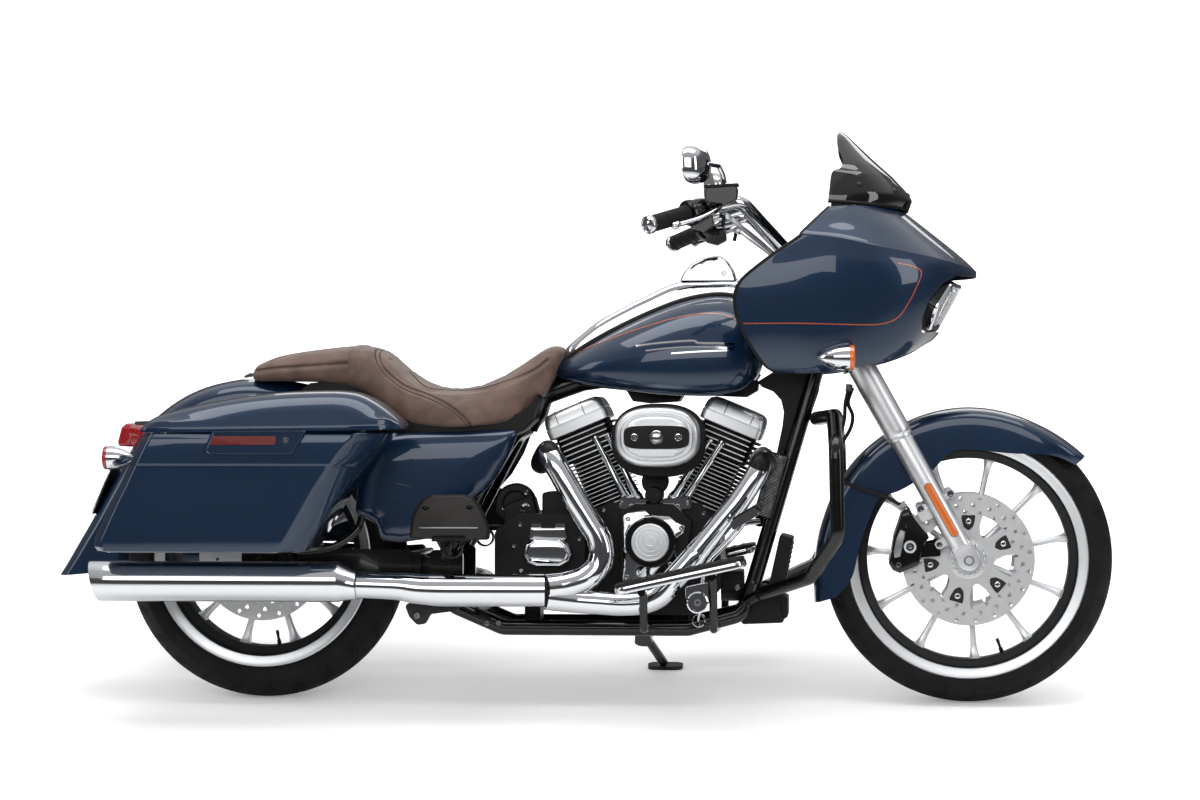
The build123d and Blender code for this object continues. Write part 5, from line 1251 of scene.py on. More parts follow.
piece("fin_edges", edges, machined, 60)

# %% [markdown]
# The rocker boxes are two chromed castings one above the other.  The joint between them is a
# fine groove, and a bolt stands in a pocket at each corner.

# %% Rocker boxes
ROCKER_LEVELS = [(443.4, -2, 14), (445, 0, 14), (466, 0, 14), (467.2, -2.2, 13), (468.6, -2.2, 13),
                 (469.8, -0.4, 14), (486, -3, 16), (494, -7, 18), (499, -15, 18), (500.6, -26, 16)]
ROCKER_SEAM = [(470.5, -103.4), (485, -100.6), (494, -96.4), (499, -88), (500.9, -78)]
boxes, caps, seams = [], [], []
for tilt in TILTS:
    away = -1 if tilt < 0 else 1
    boxes.append(stacked([footprint(tilt, along, 73 + grow, -103 - grow, 79 + grow, corner, 6)
                          for along, grow, corner in ROCKER_LEVELS]))
    for a in (-55, 55):
        for y in (-84, 60):
            foot = on_cylinder(tilt, 489, a, y)
            axis = on_cylinder(tilt, 490, a, y) - foot
            caps.append(spun([(-10, 8.5), (6, 8.5), (7.5, 7.2), (7.5, 4), (2, 3.6), (2, 0.1)], foot, axis, 20))
    for a in (-24 * away, 40 * away):
        seams.append(swept([on_cylinder(tilt, along, a, y) for along, y in ROCKER_SEAM], 0.9, sides=6))
piece("rocker_boxes", boxes, machined, 32, ["rocker_covers"])
piece("rocker_bolts", caps, chrome, 50)
piece("rocker_seams", seams, lamp_dark, 60)

# %% Pushrod tubes with their collars, and the lifter blocks below
tubes, blocks, cups = [], [], []
for top, foot in (((767, 602), (842, 458)), ((797, 607), (866, 462)), ((1058, 592), (970, 458)),
                  ((1029, 598), (945, 462))):
    high, low = Vector((top[0], -100, top[1])), Vector((foot[0], -100, foot[1]))
    length = (high - low).length
    tubes.append(spun([(-4, 13), (8, 13), (10, 11), (14, 11), (16, 9.4), (38, 9.4), (40, 8), (length * 0.62, 8),
                       (length * 0.62 + 1, 9.6), (length * 0.70, 9.6), (length * 0.70 + 1, 6.6), (length - 8, 6.6),
                       (length - 6, 9), (length, 9)], low, high - low, 28))
for middle, lean_to, outline in ((854, -1, [(820, 440), (830, 470), (890, 462), (888, 432)]),
                                 (958, 1, [(924, 432), (922, 462), (982, 470), (992, 440)])):
    line = softened(outline, 5, 3)
    blocks.append(stacked([[Vector((x, y, z)) for x, z in line] for y in (-82, -128)] +
                          [[Vector((middle + (x - middle) * 0.92, -132, 451 + (z - 451) * 0.88))
                            for x, z in line]]))
    for dx in (-24, 0, 24):
        cups.append(domed_bolt((middle + dx, -132, 446 + 3 * dx * 0.1 * lean_to), 5, 5))
piece("pushrods", tubes, chrome, 50, ["pushrod_tubes"])
piece("lifter_blocks", blocks, chrome)
piece("lifter_bolts", cups, chrome, 50)

# %% [markdown]
# The air cleaner is a deep drawn cover over a black backplate.  Its outline is a
# superellipse, a little squarer than an oval, and its face is stepped like a coin.

# %% Air cleaner
def superellipse(cx, cz, half_wide, half_high, power, steps=72):
    """An outline between an oval and a rectangle."""
    def eased(share):
        return math.copysign(abs(share) ** (2 / power), share)

    turns = [2 * math.pi * k / steps for k in range(steps)]
    return [(cx + half_wide * eased(math.cos(a)), cz + half_high * eased(math.sin(a))) for a in turns]


CLEANER_X, CLEANER_Z = 916, 602


def turned_face(make_outline, rings):
    """A side-view outline at several sizes and depths: (grow, y)."""
    return stacked([[Vector((x, y, z)) for x, z in make_outline(grow)] for grow, y in rings])


backplate = turned_face(lambda g: superellipse(CLEANER_X, 594, 106 + g, 83 + g, 2.5),
                        [(0, -128), (0, -142), (-3, -146), (-12, -147)])
piece("air_cleaner_backplate", backplate, black_satin, 40, ["air_cleaner"])
cover = turned_face(lambda g: superellipse(CLEANER_X, CLEANER_Z, 94 + g, 67 + g, 2.6),
                    [(-1, -144), (0, -150), (0, -200), (-0.8, -206), (-3, -211), (-7, -214.5), (-12, -215.5),
                     (-14, -214.5), (-15.5, -212), (-19, -212), (-20.5, -214), (-23, -219), (-26, -221),
                     (-40, -221.5)])
piece("air_cleaner_cover", cover, machined)
steps_made = []
for side in (-1, 1):
    for rise, half, out in ((31, 50, 223.2), (38, 40, 224.4)):
        low, high, top_half = CLEANER_Z + side * rise - 3.2, CLEANER_Z + side * rise + 3.2, half - 5 * (side > 0)
        outline = [(CLEANER_X - half, low), (CLEANER_X + half, low), (CLEANER_X + top_half, high),
                   (CLEANER_X - top_half, high)]
        steps_made.append(plate(softened(outline, 2.4, 3), -220, -out))
piece("air_cleaner_steps", steps_made, machined)
oval = superellipse(CLEANER_X, CLEANER_Z, 73, 26, 4.5)
band = domed(oval, [(1, -219), (1, -223), (0.985, -224), (0.9, -224.2)], 0, (CLEANER_X, CLEANER_Z))
piece("air_cleaner_band", band, black_satin)
screws = [spun([(-1, 8), (1, 8), (2.2, 6.6), (2.2, 3.2), (0.6, 2.8), (0.6, 0.1)], (CLEANER_X + dx, -224, CLEANER_Z),
               TO_RIGHT, 28) for dx in (-49, 49)]
screws.append(spun([(-1, 15), (0.6, 15), (1.6, 14), (1.6, 12), (0.4, 11), (0.4, 9.6), (2.4, 8.6), (3.2, 6),
                    (3.4, 0.1)], (CLEANER_X, -224, CLEANER_Z), TO_RIGHT, 40))
piece("air_cleaner_screws", screws, chrome, 40)

# %% [markdown]
# The timing cover carries a bright disc turned with fine rings, inside a black collar.

# %% Timing cover and gearbox cover
TIMING_CENTRE = (899, -164, 366)
TIMING = [(836, 266), (836, 424), (846, 432), (886, 438), (900, 426), (942, 424), (956, 412), (978, 402),
          (974, 388), (950, 372), (958, 330), (948, 306), (900, 288)]
piece("timing_case", domed([(830, 256), (830, 436), (862, 452), (948, 452), (992, 414), (972, 296), (930, 258)],
                           [(1, -120), (1, -150), (0.98, -154)], 10), black_satin, 40,
      ["engine_covers"])
piece("timing_plate", domed(TIMING, [(1.0, -152), (1.0, -160), (0.985, -163), (0.95, -164)], 7), chrome)
collar = spun([(0, 58), (12, 57), (15, 54), (15, 45), (10, 43), (0, 43)], TIMING_CENTRE, TO_RIGHT, 72, closed=True)
piece("timing_collar", collar, black_gloss, 40)
profile = [(0, 44), (9, 44), (12.5, 42), (13.2, 39), (12.4, 37.5), (12.4, 36), (13.6, 35), (13.8, 30), (13.0, 29),
           (13.0, 27.6), (14.2, 26.6), (14.4, 20), (13.6, 19), (13.6, 17.6), (14.8, 16.6), (15.0, 8), (14.2, 7),
           (14.2, 0.1)]
disc = spun(profile, TIMING_CENTRE, TO_RIGHT, 96)
piece("timing_disc", disc, machined, 28)
bolts = [domed_bolt((x, -163, z), 6, 5) for x, z in ((968, 398), (848, 418), (845, 288), (944, 316), (842, 350))]
GEARBOX = [(610, 338), (622, 318), (640, 311), (700, 311), (718, 322), (726, 342), (718, 362), (700, 376),
           (634, 376), (616, 362)]
lower = domed(GEARBOX, [(1, -146), (1, -170), (0.97, -178), (0.9, -182), (0.84, -180.6), (0.8, -183), (0.74, -184)],
              10)
upper = domed([(624, 372), (628, 398), (708, 398), (714, 372)], [(1, -146), (1, -168), (0.95, -173), (0.8, -174)],
              5)
lugs = [domed([(x - 13, 396), (x - 13, 408), (x + 13, 408), (x + 13, 396)], [(1, -146), (1, -166), (0.9, -169)], 4)
        for x in (642, 696)]
piece("gearbox_cover", [lower, upper, *lugs], chrome)
bolts += [domed_bolt((x, -146, z), 6.5, 6)
          for x, z in ((606, 300), (730, 300), (590, 356), (738, 372), (604, 404), (732, 412))]
bolts += [domed_bolt((x, -120, z), 6, 6) for x, z in ((760, 300), (776, 262), (1000, 262), (1030, 300), (1040, 380),
                                                      (1016, 430), (790, 436), (764, 400))]
bolts += [spun([(-16, 14), (4, 14), (6, 12), (6, 5), (2, 4.5), (2, 0.1)], (x, -104, z), TO_RIGHT, 24)
          for x, z in ((612, 440), (742, 436))]
piece("case_bolts", bolts, chrome, 50)

# %% The black parts between the cylinders and behind the gearbox, where hoses and housings crowd together
dark = [domed([(650, 424), (650, 476), (712, 482), (716, 424)], [(1, -60), (1, -118), (0.9, -124)], 8),
        domed([(566, 372), (560, 446), (628, 470), (640, 424)], [(1, -40), (1, -104), (0.92, -110)], 10),
        spun([(0, 46), (30, 46), (36, 42), (36, 30), (30, 26), (30, 0.1)], (586, -60, 450), TO_RIGHT, 40),
        spun([(0, 30), (44, 30), (48, 27), (48, 0.1)], (903, -40, 500), TO_RIGHT, 36),
        spun([(0, 20), (70, 20), (73, 17), (73, 0.1)], (903, -50, 470), TO_RIGHT, 28)]
piece("dark_housings", dark, black_satin, 40)
nuts = [domed_bolt((x, -117, 470), 6, 6) for x in (896, 912)]
nuts += [domed_bolt((x, -96, z), 7, 6) for x, z in ((560, 440), (612, 474))]
piece("housing_nuts", nuts, chrome, 50)
primary = [spun([(-1, 50), (6, 50), (9, 47), (9, 40), (7, 38), (7, 0.1)], (938, 206, 310), ACROSS, 64),
           spun([(-1, 72), (7, 72), (10, 69), (10, 60), (7.5, 58), (7.5, 30), (9, 28), (9, 0.1)], (672, 206, 312),
                ACROSS, 72)]
piece("primary_covers_turned", primary, black_gloss)
rim_bolts = [domed_bolt((x, 195, z), 6, 6, ACROSS)
             for x, z in ((590, 300), (590, 350), (620, 392), (700, 402), (800, 408), (900, 406), (985, 396),
                          (1020, 340), (1016, 262), (960, 222), (860, 218), (760, 218), (660, 222), (604, 232))]
piece("primary_bolts", rim_bolts, chrome, 50)
# %% [markdown]
# ## Exhaust
# The pipes themselves are dark steel that never shows its best side.  What shines is a set
# of half-round chrome shields clamped over them, each with rounded tips and an open back.
# A shield is swept like a tube, but only part of the circle is drawn, and that part always
# faces the same way.

# %% Pipes and shields
def along_line(line, step):
    """A line cut into short equal steps, each place with the length run so far; and the whole length."""
    lengths = [0.0]
    for a, b in zip(line, line[1:]):
        lengths.append(lengths[-1] + (b - a).length)
    count = max(2, int(lengths[-1] / step))
    places, at = [], 0
    for k in range(count + 1):
        want = lengths[-1] * k / count
        while at < len(line) - 2 and lengths[at + 1] < want:
            at += 1
        share = (want - lengths[at]) / max(1e-6, lengths[at + 1] - lengths[at])
        places.append((line[at].lerp(line[at + 1], min(1, max(0, share))), want))
    return places, lengths[-1]


SHIELD_SHEET, SHIELD_SIDES, SHIELD_STEP = 1.6, 22, 7


def between(pairs, share):
    """The value at a share of the way, from (share, value) pairs; the last fitting pair counts."""
    fitting = [(s0, r0, s1, r1) for (s0, r0), (s1, r1) in zip(pairs, pairs[1:]) if s0 <= share <= s1]
    s0, r0, s1, r1 = fitting[-1]
    return r0 + (r1 - r0) * (share - s0) / (s1 - s0)


def shield(points, radii, opening, tips):
    """A half-round shield along a line; its radius is given at shares of its length."""
    facing = Vector(TO_RIGHT)
    places, total = along_line(flowing(points, 12), SHIELD_STEP)
    rows = []
    for i, (place, want) in enumerate(places):
        ahead = (places[min(i + 1, len(places) - 1)][0] - places[max(i - 1, 0)][0]).normalized()
        out = (facing - ahead * ahead.dot(facing)).normalized()
        side = ahead.cross(out)
        size = between(radii, want / total)
        narrow = 1.0
        for tip, gone in ((tips[0], want), (tips[1], total - want)):
            if tip and gone < tip:
                narrow = min(narrow, math.sqrt(1 - (1 - max(gone, 0.4) / tip) ** 2))
        half = math.radians(opening) * max(narrow, 0.06)
        angles = [-half + 2 * half * k / SHIELD_SIDES for k in range(SHIELD_SIDES + 1)]
        rows.append([place + (out * math.cos(a) + side * math.sin(a)) * reach
                     for reach, turns in ((size, angles), (size - SHIELD_SHEET, reversed(angles))) for a in turns])
    return stacked(rows)


dark_pipes, shields, seams, clamps = [], [], [], []
rear_port = [on_cylinder(TILTS[0], 404, -86, -77), on_cylinder(TILTS[0], 404, -112, -104)]
rear_run = [(672, -206, 573), (686, -226, 549), (708, -232, 512), (737, -234, 462), (768, -234, 412),
            (787, -234, 380), (795, -234, 345), (785, -236, 312), (756, -244, 287), (718, -256, 274),
            (680, -270, 270), (636, -282, 268)]
front_port = [on_cylinder(TILTS[1], 404, 86, -77), on_cylinder(TILTS[1], 404, 108, -98)]
front_run = [(1148, -214, 548), (1138, -228, 520), (1102, -232, 463), (1062, -232, 414), (1023, -232, 366),
             (990, -231, 326), (952, -230, 284), (924, -229, 252), (888, -229, 236), (840, -232, 232),
             (791, -238, 235), (730, -250, 240), (684, -264, 246), (640, -276, 252)]
for start, run in ((rear_port, rear_run), (front_port, front_run)):
    dark_pipes.append(swept(flowing(start + run, 8), 22.5, sides=24))
dark_pipes.append(swept([(660, -272, 262), (560, -288, 265), (420, -290, 268), (300, -290, 274), (250, -290, 274)],
                        26, bend=80, sides=28))
shields.append(shield(rear_run[:10] + [(696, -262, 271), (674, -271, 269)],
                      [(0, 26), (0.5, 27.5), (1, 30)], 118, (40, 0)))
shields.append(shield(front_run[:6], [(0, 24), (1, 25.5)], 112, (30, 34)))
shields.append(shield([(1024, -232, 366)] + front_run[5:12] + [(674, -268, 247)],
                      [(0, 22), (0.08, 27), (0.8, 27), (1, 27)], 112, (34, 0)))
shields.append(shield([(671, -280, 264), (610, -287, 264), (520, -290, 264), (440, -290, 264), (390, -290, 266),
                       (350, -290, 271), (256, -290, 274)],
                      [(0, 36), (0.58, 36), (0.70, 33.5), (0.80, 29.5), (1, 29)], 125, (0, 0)))
for side_x, radius, place_y, place_z in ((672.6, 35, -279, 264), (255, 29.5, -290, 274)):
    seams.append(spun([(-1.4, radius - 3), (-1.4, radius), (1.4, radius), (1.4, radius - 3)],
                      (side_x, place_y, place_z), (1, 0, 0), 48, closed=True))
for start in (rear_port, front_port):
    axis = (start[1] - start[0]).normalized()
    clamps.append(spun([(0, 26), (0, 31), (5, 33), (9, 31), (10, 24)], start[0] + axis * 4, axis, 40, closed=True))
    for turn in (-1, 1):
        side = axis.orthogonal().normalized() * 30 * turn
        clamps.append(domed_bolt(start[0] + side + axis * 6, 6, 7, tuple(axis)))
piece("exhaust_pipes_dark", dark_pipes, black_satin, 60, ["exhaust_headers", "front_header"])
piece("exhaust_shields", shields, chrome, 40)
piece("exhaust_seams", seams, lamp_dark, 40)
piece("exhaust_flanges", clamps, dull_steel, 40)

# %% [markdown]
# A muffler is a long drum with a swaged cone in front and a rolled lip behind, where it is
# cut a little aslant.  Far inside, a perforated plate closes it.

# %% Mufflers
BACK_X, CENTRE_Y, CENTRE_Z, DRUM = -349, 290, 281, 45
drums, insides, lips = [], [], []
profile = [(606, 27), (605, 29.5), (603, 31.5), (600, 32.5), (588, 35), (574, 39.5), (563, 44.2), (561, 45),
           (552, 45), (60, 45), (4, 45), (1, 44.4), (0, 43), (0.6, 41.6), (3, 41), (60, 41)]


def slanted(p):
    """A point moved with the slant of the drum's back and the droop of its front cone."""
    reach = max(0.0, 1 - (p.x - BACK_X) / (2 * DRUM))
    droop = 8 * max(0, (p.x - 213) / 40)
    return Vector((p.x + reach * 21 * (DRUM - (p.z - CENTRE_Z)) / (2 * DRUM), p.y, p.z - droop))


for side in (-1, 1):
    for made_of, run in ((drums, profile), (insides, [(56, 40.6), (58, 22), (60, 20), (60, 0.1)])):
        points, faces = spun(run, (BACK_X, side * CENTRE_Y, CENTRE_Z), (1, 0, 0), 64)
        made_of.append(([slanted(p) for p in points], faces))
    lips.append(spun([(0, 30), (0, 31.6), (4, 31.6), (4, 30)], (251, side * CENTRE_Y, 273), (1, 0, 0), 48,
                     closed=True))
piece("muffler_drums", drums, chrome, 28, ["mufflers"])
piece("muffler_baffles", insides, cast_dark, 40)
piece("muffler_lips", lips, lamp_dark, 40)

# %% The cast hanger under the pipe, its bolt, and the two bolts on the lower rail
HANGER = [(352, 226), (362, 200), (380, 182), (398, 184), (410, 206), (470, 214), (486, 232), (470, 244),
          (380, 240)]
hanger = domed(HANGER, [(1, -206), (1, -226), (0.95, -230)], 9)
piece("pipe_hanger", hanger, cast_dark, 40)
hanger_bolts = [domed_bolt((381, -229, 203), 9, 7)] + [domed_bolt((x, -123, 180), 7, 6) for x in (525, 552)]
piece("hanger_bolts", hanger_bolts, dull_steel, 40)
# %% [markdown]
# ## Fork and front brake
# Each leg is a satin slider that ends in a rounded lug for the axle.  Above it a wider cover
# hides the upper tube.  The lug at the bottom is cut from solid in the maker's shop, so its
# outline is a plain arc tangent to two straight sides.

# %% Fork legs
fork_axis = (leg_point(1) - leg_point(0)).normalized()
LEG_Y = 115
FENDER_EARS = ((152, -38), (150, 36))
REFLECTOR_STEPS = 30
UPPER_COVER = [(322, 24), (320, 27), (322, 29.4), (326, 30.6), (334, 31), (430, 31), (499.5, 31), (499.5, 21)]
legs, lugs, covers, rims, reflectors, bezels = [], [], [], [], [], []
for side in (-1, 1):
    y = side * LEG_Y
    legs.append(spun([(34, 0.1), (34, 21), (36, 24), (60, 24.6), (306, 25.4), (312, 24), (312, 20.5), (500, 20.5)],
                     leg_point(0, 0, y), fork_axis, 56))
    outline = [leg_point(24 * math.sin(a), 24 * math.cos(a)) for a in map(math.radians, range(-172, -7, 8))]
    outline += [leg_point(40, 24), leg_point(46, 21), leg_point(46, -21), leg_point(40, -24)]
    rings = []
    for share, across in ((0.93, y - side * 16), (1.0, y - side * 14), (1.0, y + side * 12), (0.94, y + side * 15),
                          (0.86, y + side * 15.6)):
        rings.append([Vector((FRONT_AXLE.x + (p.x - FRONT_AXLE.x) * share, across,
                              FRONT_AXLE.z + (p.z - FRONT_AXLE.z) * share)) for p in outline])
    lugs.append(stacked(rings))
    # the caliper lug behind the leg, in two fingers
    for low, high in ((52, 72), (122, 150)):
        finger = [leg_point(low, -10), leg_point(low, -44), leg_point(low + 5, -50), leg_point(high - 5, -50),
                  leg_point(high, -44), leg_point(high, -10)]
        lugs.append(plate([(p.x, p.z) for p in finger], y - side * 22, y - side * 8))
    # the two small ears that hold the fender
    for up, ahead in FENDER_EARS:
        middle = leg_point(up, ahead)
        lugs.append(spun([(-10, 4), (-10, 10), (8, 10), (10, 8), (10, 4)], (middle.x, y - side * 14, middle.z),
                         ACROSS, 28, closed=True))
        inner_end = leg_point(up, ahead * 0.5)
        lugs.append(swept([Vector((inner_end.x, y - side * 10, inner_end.z)),
                           Vector((middle.x, y - side * 14, middle.z))], 8, sides=14))
    covers.append(spun(UPPER_COVER, leg_point(0, 0, y), fork_axis, 56, closed=True))
    rims.append(spun([(312, 25.4), (312, 28), (318, 29), (322, 28), (322, 25.4)], leg_point(0, 0, y), fork_axis, 48,
                     closed=True))
    # a long amber reflector on the outer face, wrapped to the curve of the leg
    for grow, made_of, high in ((1.6, bezels, 0.6), (0, reflectors, 2.0)):
        rows = []
        for k in range(REFLECTOR_STEPS + 1):
            along = 62 - grow + (134 + 2 * grow) * k / REFLECTOR_STEPS
            end = min((along - 62 + grow), (196 + grow - along)) / 9
            half = (8.6 + grow) * (1 if end >= 1 else math.sqrt(max(0.02, 1 - (1 - end) ** 2)))
            row = []
            for j in range(9):
                across = -half + 2 * half * j / 8
                base = math.sqrt(25.2 ** 2 - across ** 2)
                place = leg_point(along, across + 0.5)
                row.append(Vector((place.x, y + side * (base + high * (1 - (across / (half + 0.6)) ** 2)),
                                   place.z)))
            rows.append(row + [Vector((p.x, y + side * 20, p.z)) for p in reversed(row)])
        made_of.append(stacked(rows))
piece("fork_legs", legs, fork_satin, 40, ["fork_sliders"], body="steering")
piece("fork_lugs", lugs, fork_satin, body="steering")
piece("fork_cover_tubes", covers, fork_satin, 35, ["fork_covers"], body="steering")
piece("fork_dust_rims", rims, machined, body="steering")
piece("fork_reflectors", reflectors, amber, 60, body="steering")
piece("fork_reflector_bezels", bezels, dull_steel, 60, body="steering")

# %% Axle ends and fender bolts
axle_ends = []
for side in (-1, 1):
    axle_ends.append(spun([(0, 7.4), (0, 12.4), (8, 12.4), (12, 12), (16.4, 12), (17.4, 11), (17.4, 8), (10, 7.4)],
                          leg_point(0, 0, side * LEG_Y), (0, side, 0), 40, closed=True))
axle_ends.append(spun([(-96, 7.5), (-96, 12.3), (96, 12.3), (96, 7.5)], FRONT_AXLE, ACROSS, 32, closed=True))
piece("axle_tube", axle_ends, dull_steel, 40, ["front_axle"], body="steering")
ears = []
for side in (-1, 1):
    for up, ahead in FENDER_EARS:
        p = leg_point(up, ahead)
        ears.append(domed_bolt((p.x, side * 112, p.z), 8.5, 7, (0, side, 0)))
    p = leg_point(62, -40)
    ears.append(domed_bolt((p.x, side * 108, p.z), 7.5, 7, (0, side, 0)))
    for x, z in ((1543, 595), (1584, 602), (1405, 504)):
        ears.append(spun([(-1, 4), (0.6, 4), (1.6, 2.6), (1.9, 0.1)], (x, side * 82, z), (0, side, 0), 16))
piece("front_bolts", ears, chrome, 50, body="steering")

# %% [markdown]
# The front caliper is one black casting shaped to its pistons, with a window through which
# the pads show.  A thin plate beside the leg carries it.

# %% Front calipers
CALIPER = [(1462, 436), (1478, 441), (1487, 421), (1500, 404), (1523, 376), (1511, 364), (1499, 314), (1478, 305),
           (1456, 295), (1440, 302), (1431, 317), (1437, 342), (1443, 377), (1454, 409)]


PAD_WINDOW = [(1457, 394), (1469, 389), (1465, 370), (1457, 333), (1443, 330), (1442, 345), (1448, 373)]


def beside_disc(side, outline, rings, corner):
    """A block beside a front disc, in rings of (share of full size, place outward from the disc)."""
    return domed(outline, [(share, side * (DISC_Y + out)) for share, out in rings], corner)


castings, pads, rings_made, heads = [], [], [], []
for side in (-1, 1):
    castings.append(beside_disc(side, CALIPER, [(0.97, -16), (1.0, -13), (1.0, -5)], 7))
    castings.append(beside_disc(side, CALIPER, [(1.0, 5), (1.0, 27), (0.985, 31), (0.93, 33.5), (0.8, 34)], 7))
    castings.append(beside_disc(side, [(1462, 433), (1478, 439), (1486, 420), (1478, 412), (1455, 408)],
                                [(1, -12), (1, 26)], 5))
    castings.append(beside_disc(side, [(1440, 304), (1456, 297), (1476, 306), (1470, 318), (1436, 320)],
                                [(1, -12), (1, 26)], 5))
    castings.append(beside_disc(side, [(1496, 330), (1504, 358), (1546, 366), (1548, 334)], [(1, 9), (1, 17)], 4))
    pads.append(beside_disc(side, PAD_WINDOW, [(1, 31), (1, 35.2), (0.94, 36)], 4))
    rings_made.append(spun([(0, 8.4), (0, 14), (3, 14.6), (5, 13.4), (5, 9.4), (3, 8.4)],
                           (1479, side * (DISC_Y + 33), 355), (0, side, 0), 40, closed=True))
    heads.append(domed_bolt((1479, side * (DISC_Y + 34), 355), 6, 4, (0, side, 0)))
    heads.append(domed_bolt((1453, side * (DISC_Y + 33), 314), 7, 5, (0, side, 0)))
    heads.append(domed_bolt((1470, side * (DISC_Y + 33), 401), 3.4, 3, (0, side, 0)))
    heads.append(spun([(0, 6), (7, 6), (8, 5), (8, 2), (16, 2), (17, 0.1)], (1470, side * (DISC_Y + 8), 438),
                      (-0.3, 0, 1), 20))
piece("front_caliper_castings", castings, black_gloss, 35, ["brake_calipers"], body="steering")
piece("front_caliper_pads", pads, dull_steel, body="steering")
piece("front_caliper_rings", rings_made, machined, body="steering")
piece("front_caliper_bolts", heads, chrome, 50, body="steering")

# %% Brake lines: steel pipes in a black sleeve, clipped to the fork at both ends
BRAKE_RUNS = [[(1342, -60, 716), (1334, -74, 679), (1332, -78, 647), (1327, -82, 622), (1309, -86, 568),
               (1307, -90, 542), (1315, -94, 519), (1334, -97, 502), (1359, -100, 488), (1419, -102, 470),
               (1453, -100, 452), (1468, -92, 446)],
              [(1350, -46, 712), (1340, -58, 679), (1350, -62, 650), (1345, -66, 620), (1324, -70, 584),
               (1311, -74, 552), (1317, -78, 524), (1332, -84, 503), (1360, -88, 486)]]
piece("brake_lines", [swept(flowing(run, 8), 4.2, sides=12) for run in BRAKE_RUNS], grip_rubber, 60,
      body="steering")
unions = [spun([(-8, 5), (-8, 8), (8, 8), (8, 5)], place, axis, 6, closed=True)
          for place, axis in (((1342, -60, 712), (0.1, 0.2, 1)), ((1462, -96, 449), (1, 0, 0.4)))]
piece("brake_line_unions", unions, dull_steel, 25, body="steering")

# %% [markdown]
# ## Handlebar
# Every control is placed by its distance out along the grip, so both sides come from one
# description.

# %% Grips, controls and levers
BAR_BEND, BAR_END = Vector((1030, 307, 1106)), Vector((914, 425, 1064))
# the lever's blade and the trigger, as distance along the grip, rise and place ahead of it
BLADE = [(10, 10, 34), (24, 8, 49), (50, 3, 56), (86, -4, 51), (116, -7, 42), (131, -8, 36), (139, -9, 33)]
TRIGGER = [(4, -16, 34), (6, -20, 44), (8, -40, 42)]


def by_grip(distance, rise=0.0, ahead=0.0, side=-1):
    """A place beside a grip, counted outward from where the bar straightens."""
    place = BAR_BEND + (BAR_END - BAR_BEND).normalized() * distance
    return Vector((place.x + ahead, side * place.y, place.z + rise))


rubber, caps, housings, levers, tanks, lids, screws, cables = [], [], [], [], [], [], [], []
grip_profile = [(60, 16.4), (60, 20.5), (64, 20.5), (66, 18.4)]
for ring in range(4):
    at = 76 + 24 * ring
    grip_profile += [(at, 18.6), (at + 1, 17.6), (at + 3, 17.6), (at + 4, 18.6), (at + 6, 18.6), (at + 7, 17.6),
                     (at + 9, 17.6), (at + 10, 18.6)]
grip_profile += [(164, 18.6), (166, 16.4)]
for side in (-1, 1):
    start, along = by_grip(0, side=side), (by_grip(1, side=side) - by_grip(0, side=side))
    rubber.append(spun(grip_profile, start, along, 48))
    caps.append(spun([(164, 18.8), (166, 20.4), (174, 20.4), (177, 19), (178, 16), (176.6, 15), (176.6, 9),
                      (177.4, 8), (177.4, 0.1)], start, along, 48))
    housings.append(spun([(4, 17), (4, 23), (8, 25.5), (30, 26.5), (42, 25), (44, 29), (50, 29.5), (56, 28),
                          (58, 22), (58, 17)], start, along, 44, closed=True))
    knob = by_grip(26, -26, 10, side)
    housings.append(domed([(knob.x - 26, knob.z - 12), (knob.x - 22, knob.z + 14), (knob.x + 24, knob.z + 16),
                           (knob.x + 26, knob.z - 8), (knob.x + 4, knob.z - 20)],
                          [(0.95, knob.y - 17), (1, knob.y - 14), (1, knob.y + 14), (0.95, knob.y + 17)], 7))
    blade = [by_grip(*place, side) for place in BLADE]
    levers.append(swept(flowing(blade, 6), [11 - 4 * min(1, k / 16) + (3.0 if k > 30 else 0) for k in range(37)],
                        sides=18, flat=0.55))
    levers.append(spun([(-9, 0.1), (-8, 5), (-4, 8), (0, 9), (4, 8), (8, 5), (9, 0.1)], blade[-1],
                       along, 20))
    middle = Vector((1066, side * 322, 1136))
    box = [(middle.x - 34, middle.z - 18), (middle.x - 36, middle.z + 12), (middle.x + 36, middle.z + 16),
           (middle.x + 34, middle.z - 14), (middle.x + 10, middle.z - 24)]
    tanks.append(domed(box, [(0.94, middle.y - 25), (1, middle.y - 21), (1, middle.y + 21), (0.94, middle.y + 25)],
                       6))
    lid = [(middle.x - 38, middle.z + 12.5), (middle.x - 38, middle.z + 18), (middle.x + 37, middle.z + 22),
           (middle.x + 38, middle.z + 16.5)]
    lids.append(domed(lid, [(0.98, middle.y - 27), (1, middle.y - 25), (1, middle.y + 25), (0.98, middle.y + 27)],
                      2.4))
    tanks.append(swept([by_grip(20, 6, 14, side), (1050, side * 322, 1122)], 15, sides=20))
    for dx in (-28, 28):
        screws.append(domed_bolt((middle.x + dx, middle.y, middle.z + 20.4 + dx * 0.05), 3.6, 2, (0, 0, 1)))
    run = [by_grip(14, -18, 24, side), Vector((1076, side * 296, 1088)), Vector((1112, side * 262, 1062)),
           Vector((1151, side * 196, 1032)), Vector((1186, side * 130, 1000)),
           Vector((1204, side * 110, 974))]
    cables.append(swept(flowing(run, 8), 5.2, sides=14))
    cables.append(spun([(-10, 6.4), (-8, 7.6), (8, 7.6), (10, 6.4)], run[1], run[2] - run[1], 20))
piece("grip_sleeves", rubber, grip_rubber, 40, ["hand_grips"], body="steering")
piece("grip_caps", caps, chrome, 40, body="steering")
piece("switch_housings", housings, black_gloss, 40, ["hand_controls"], body="steering")
piece("hand_levers", levers, chrome, 60, body="steering")
piece("fluid_reservoirs", tanks, black_gloss, body="steering")
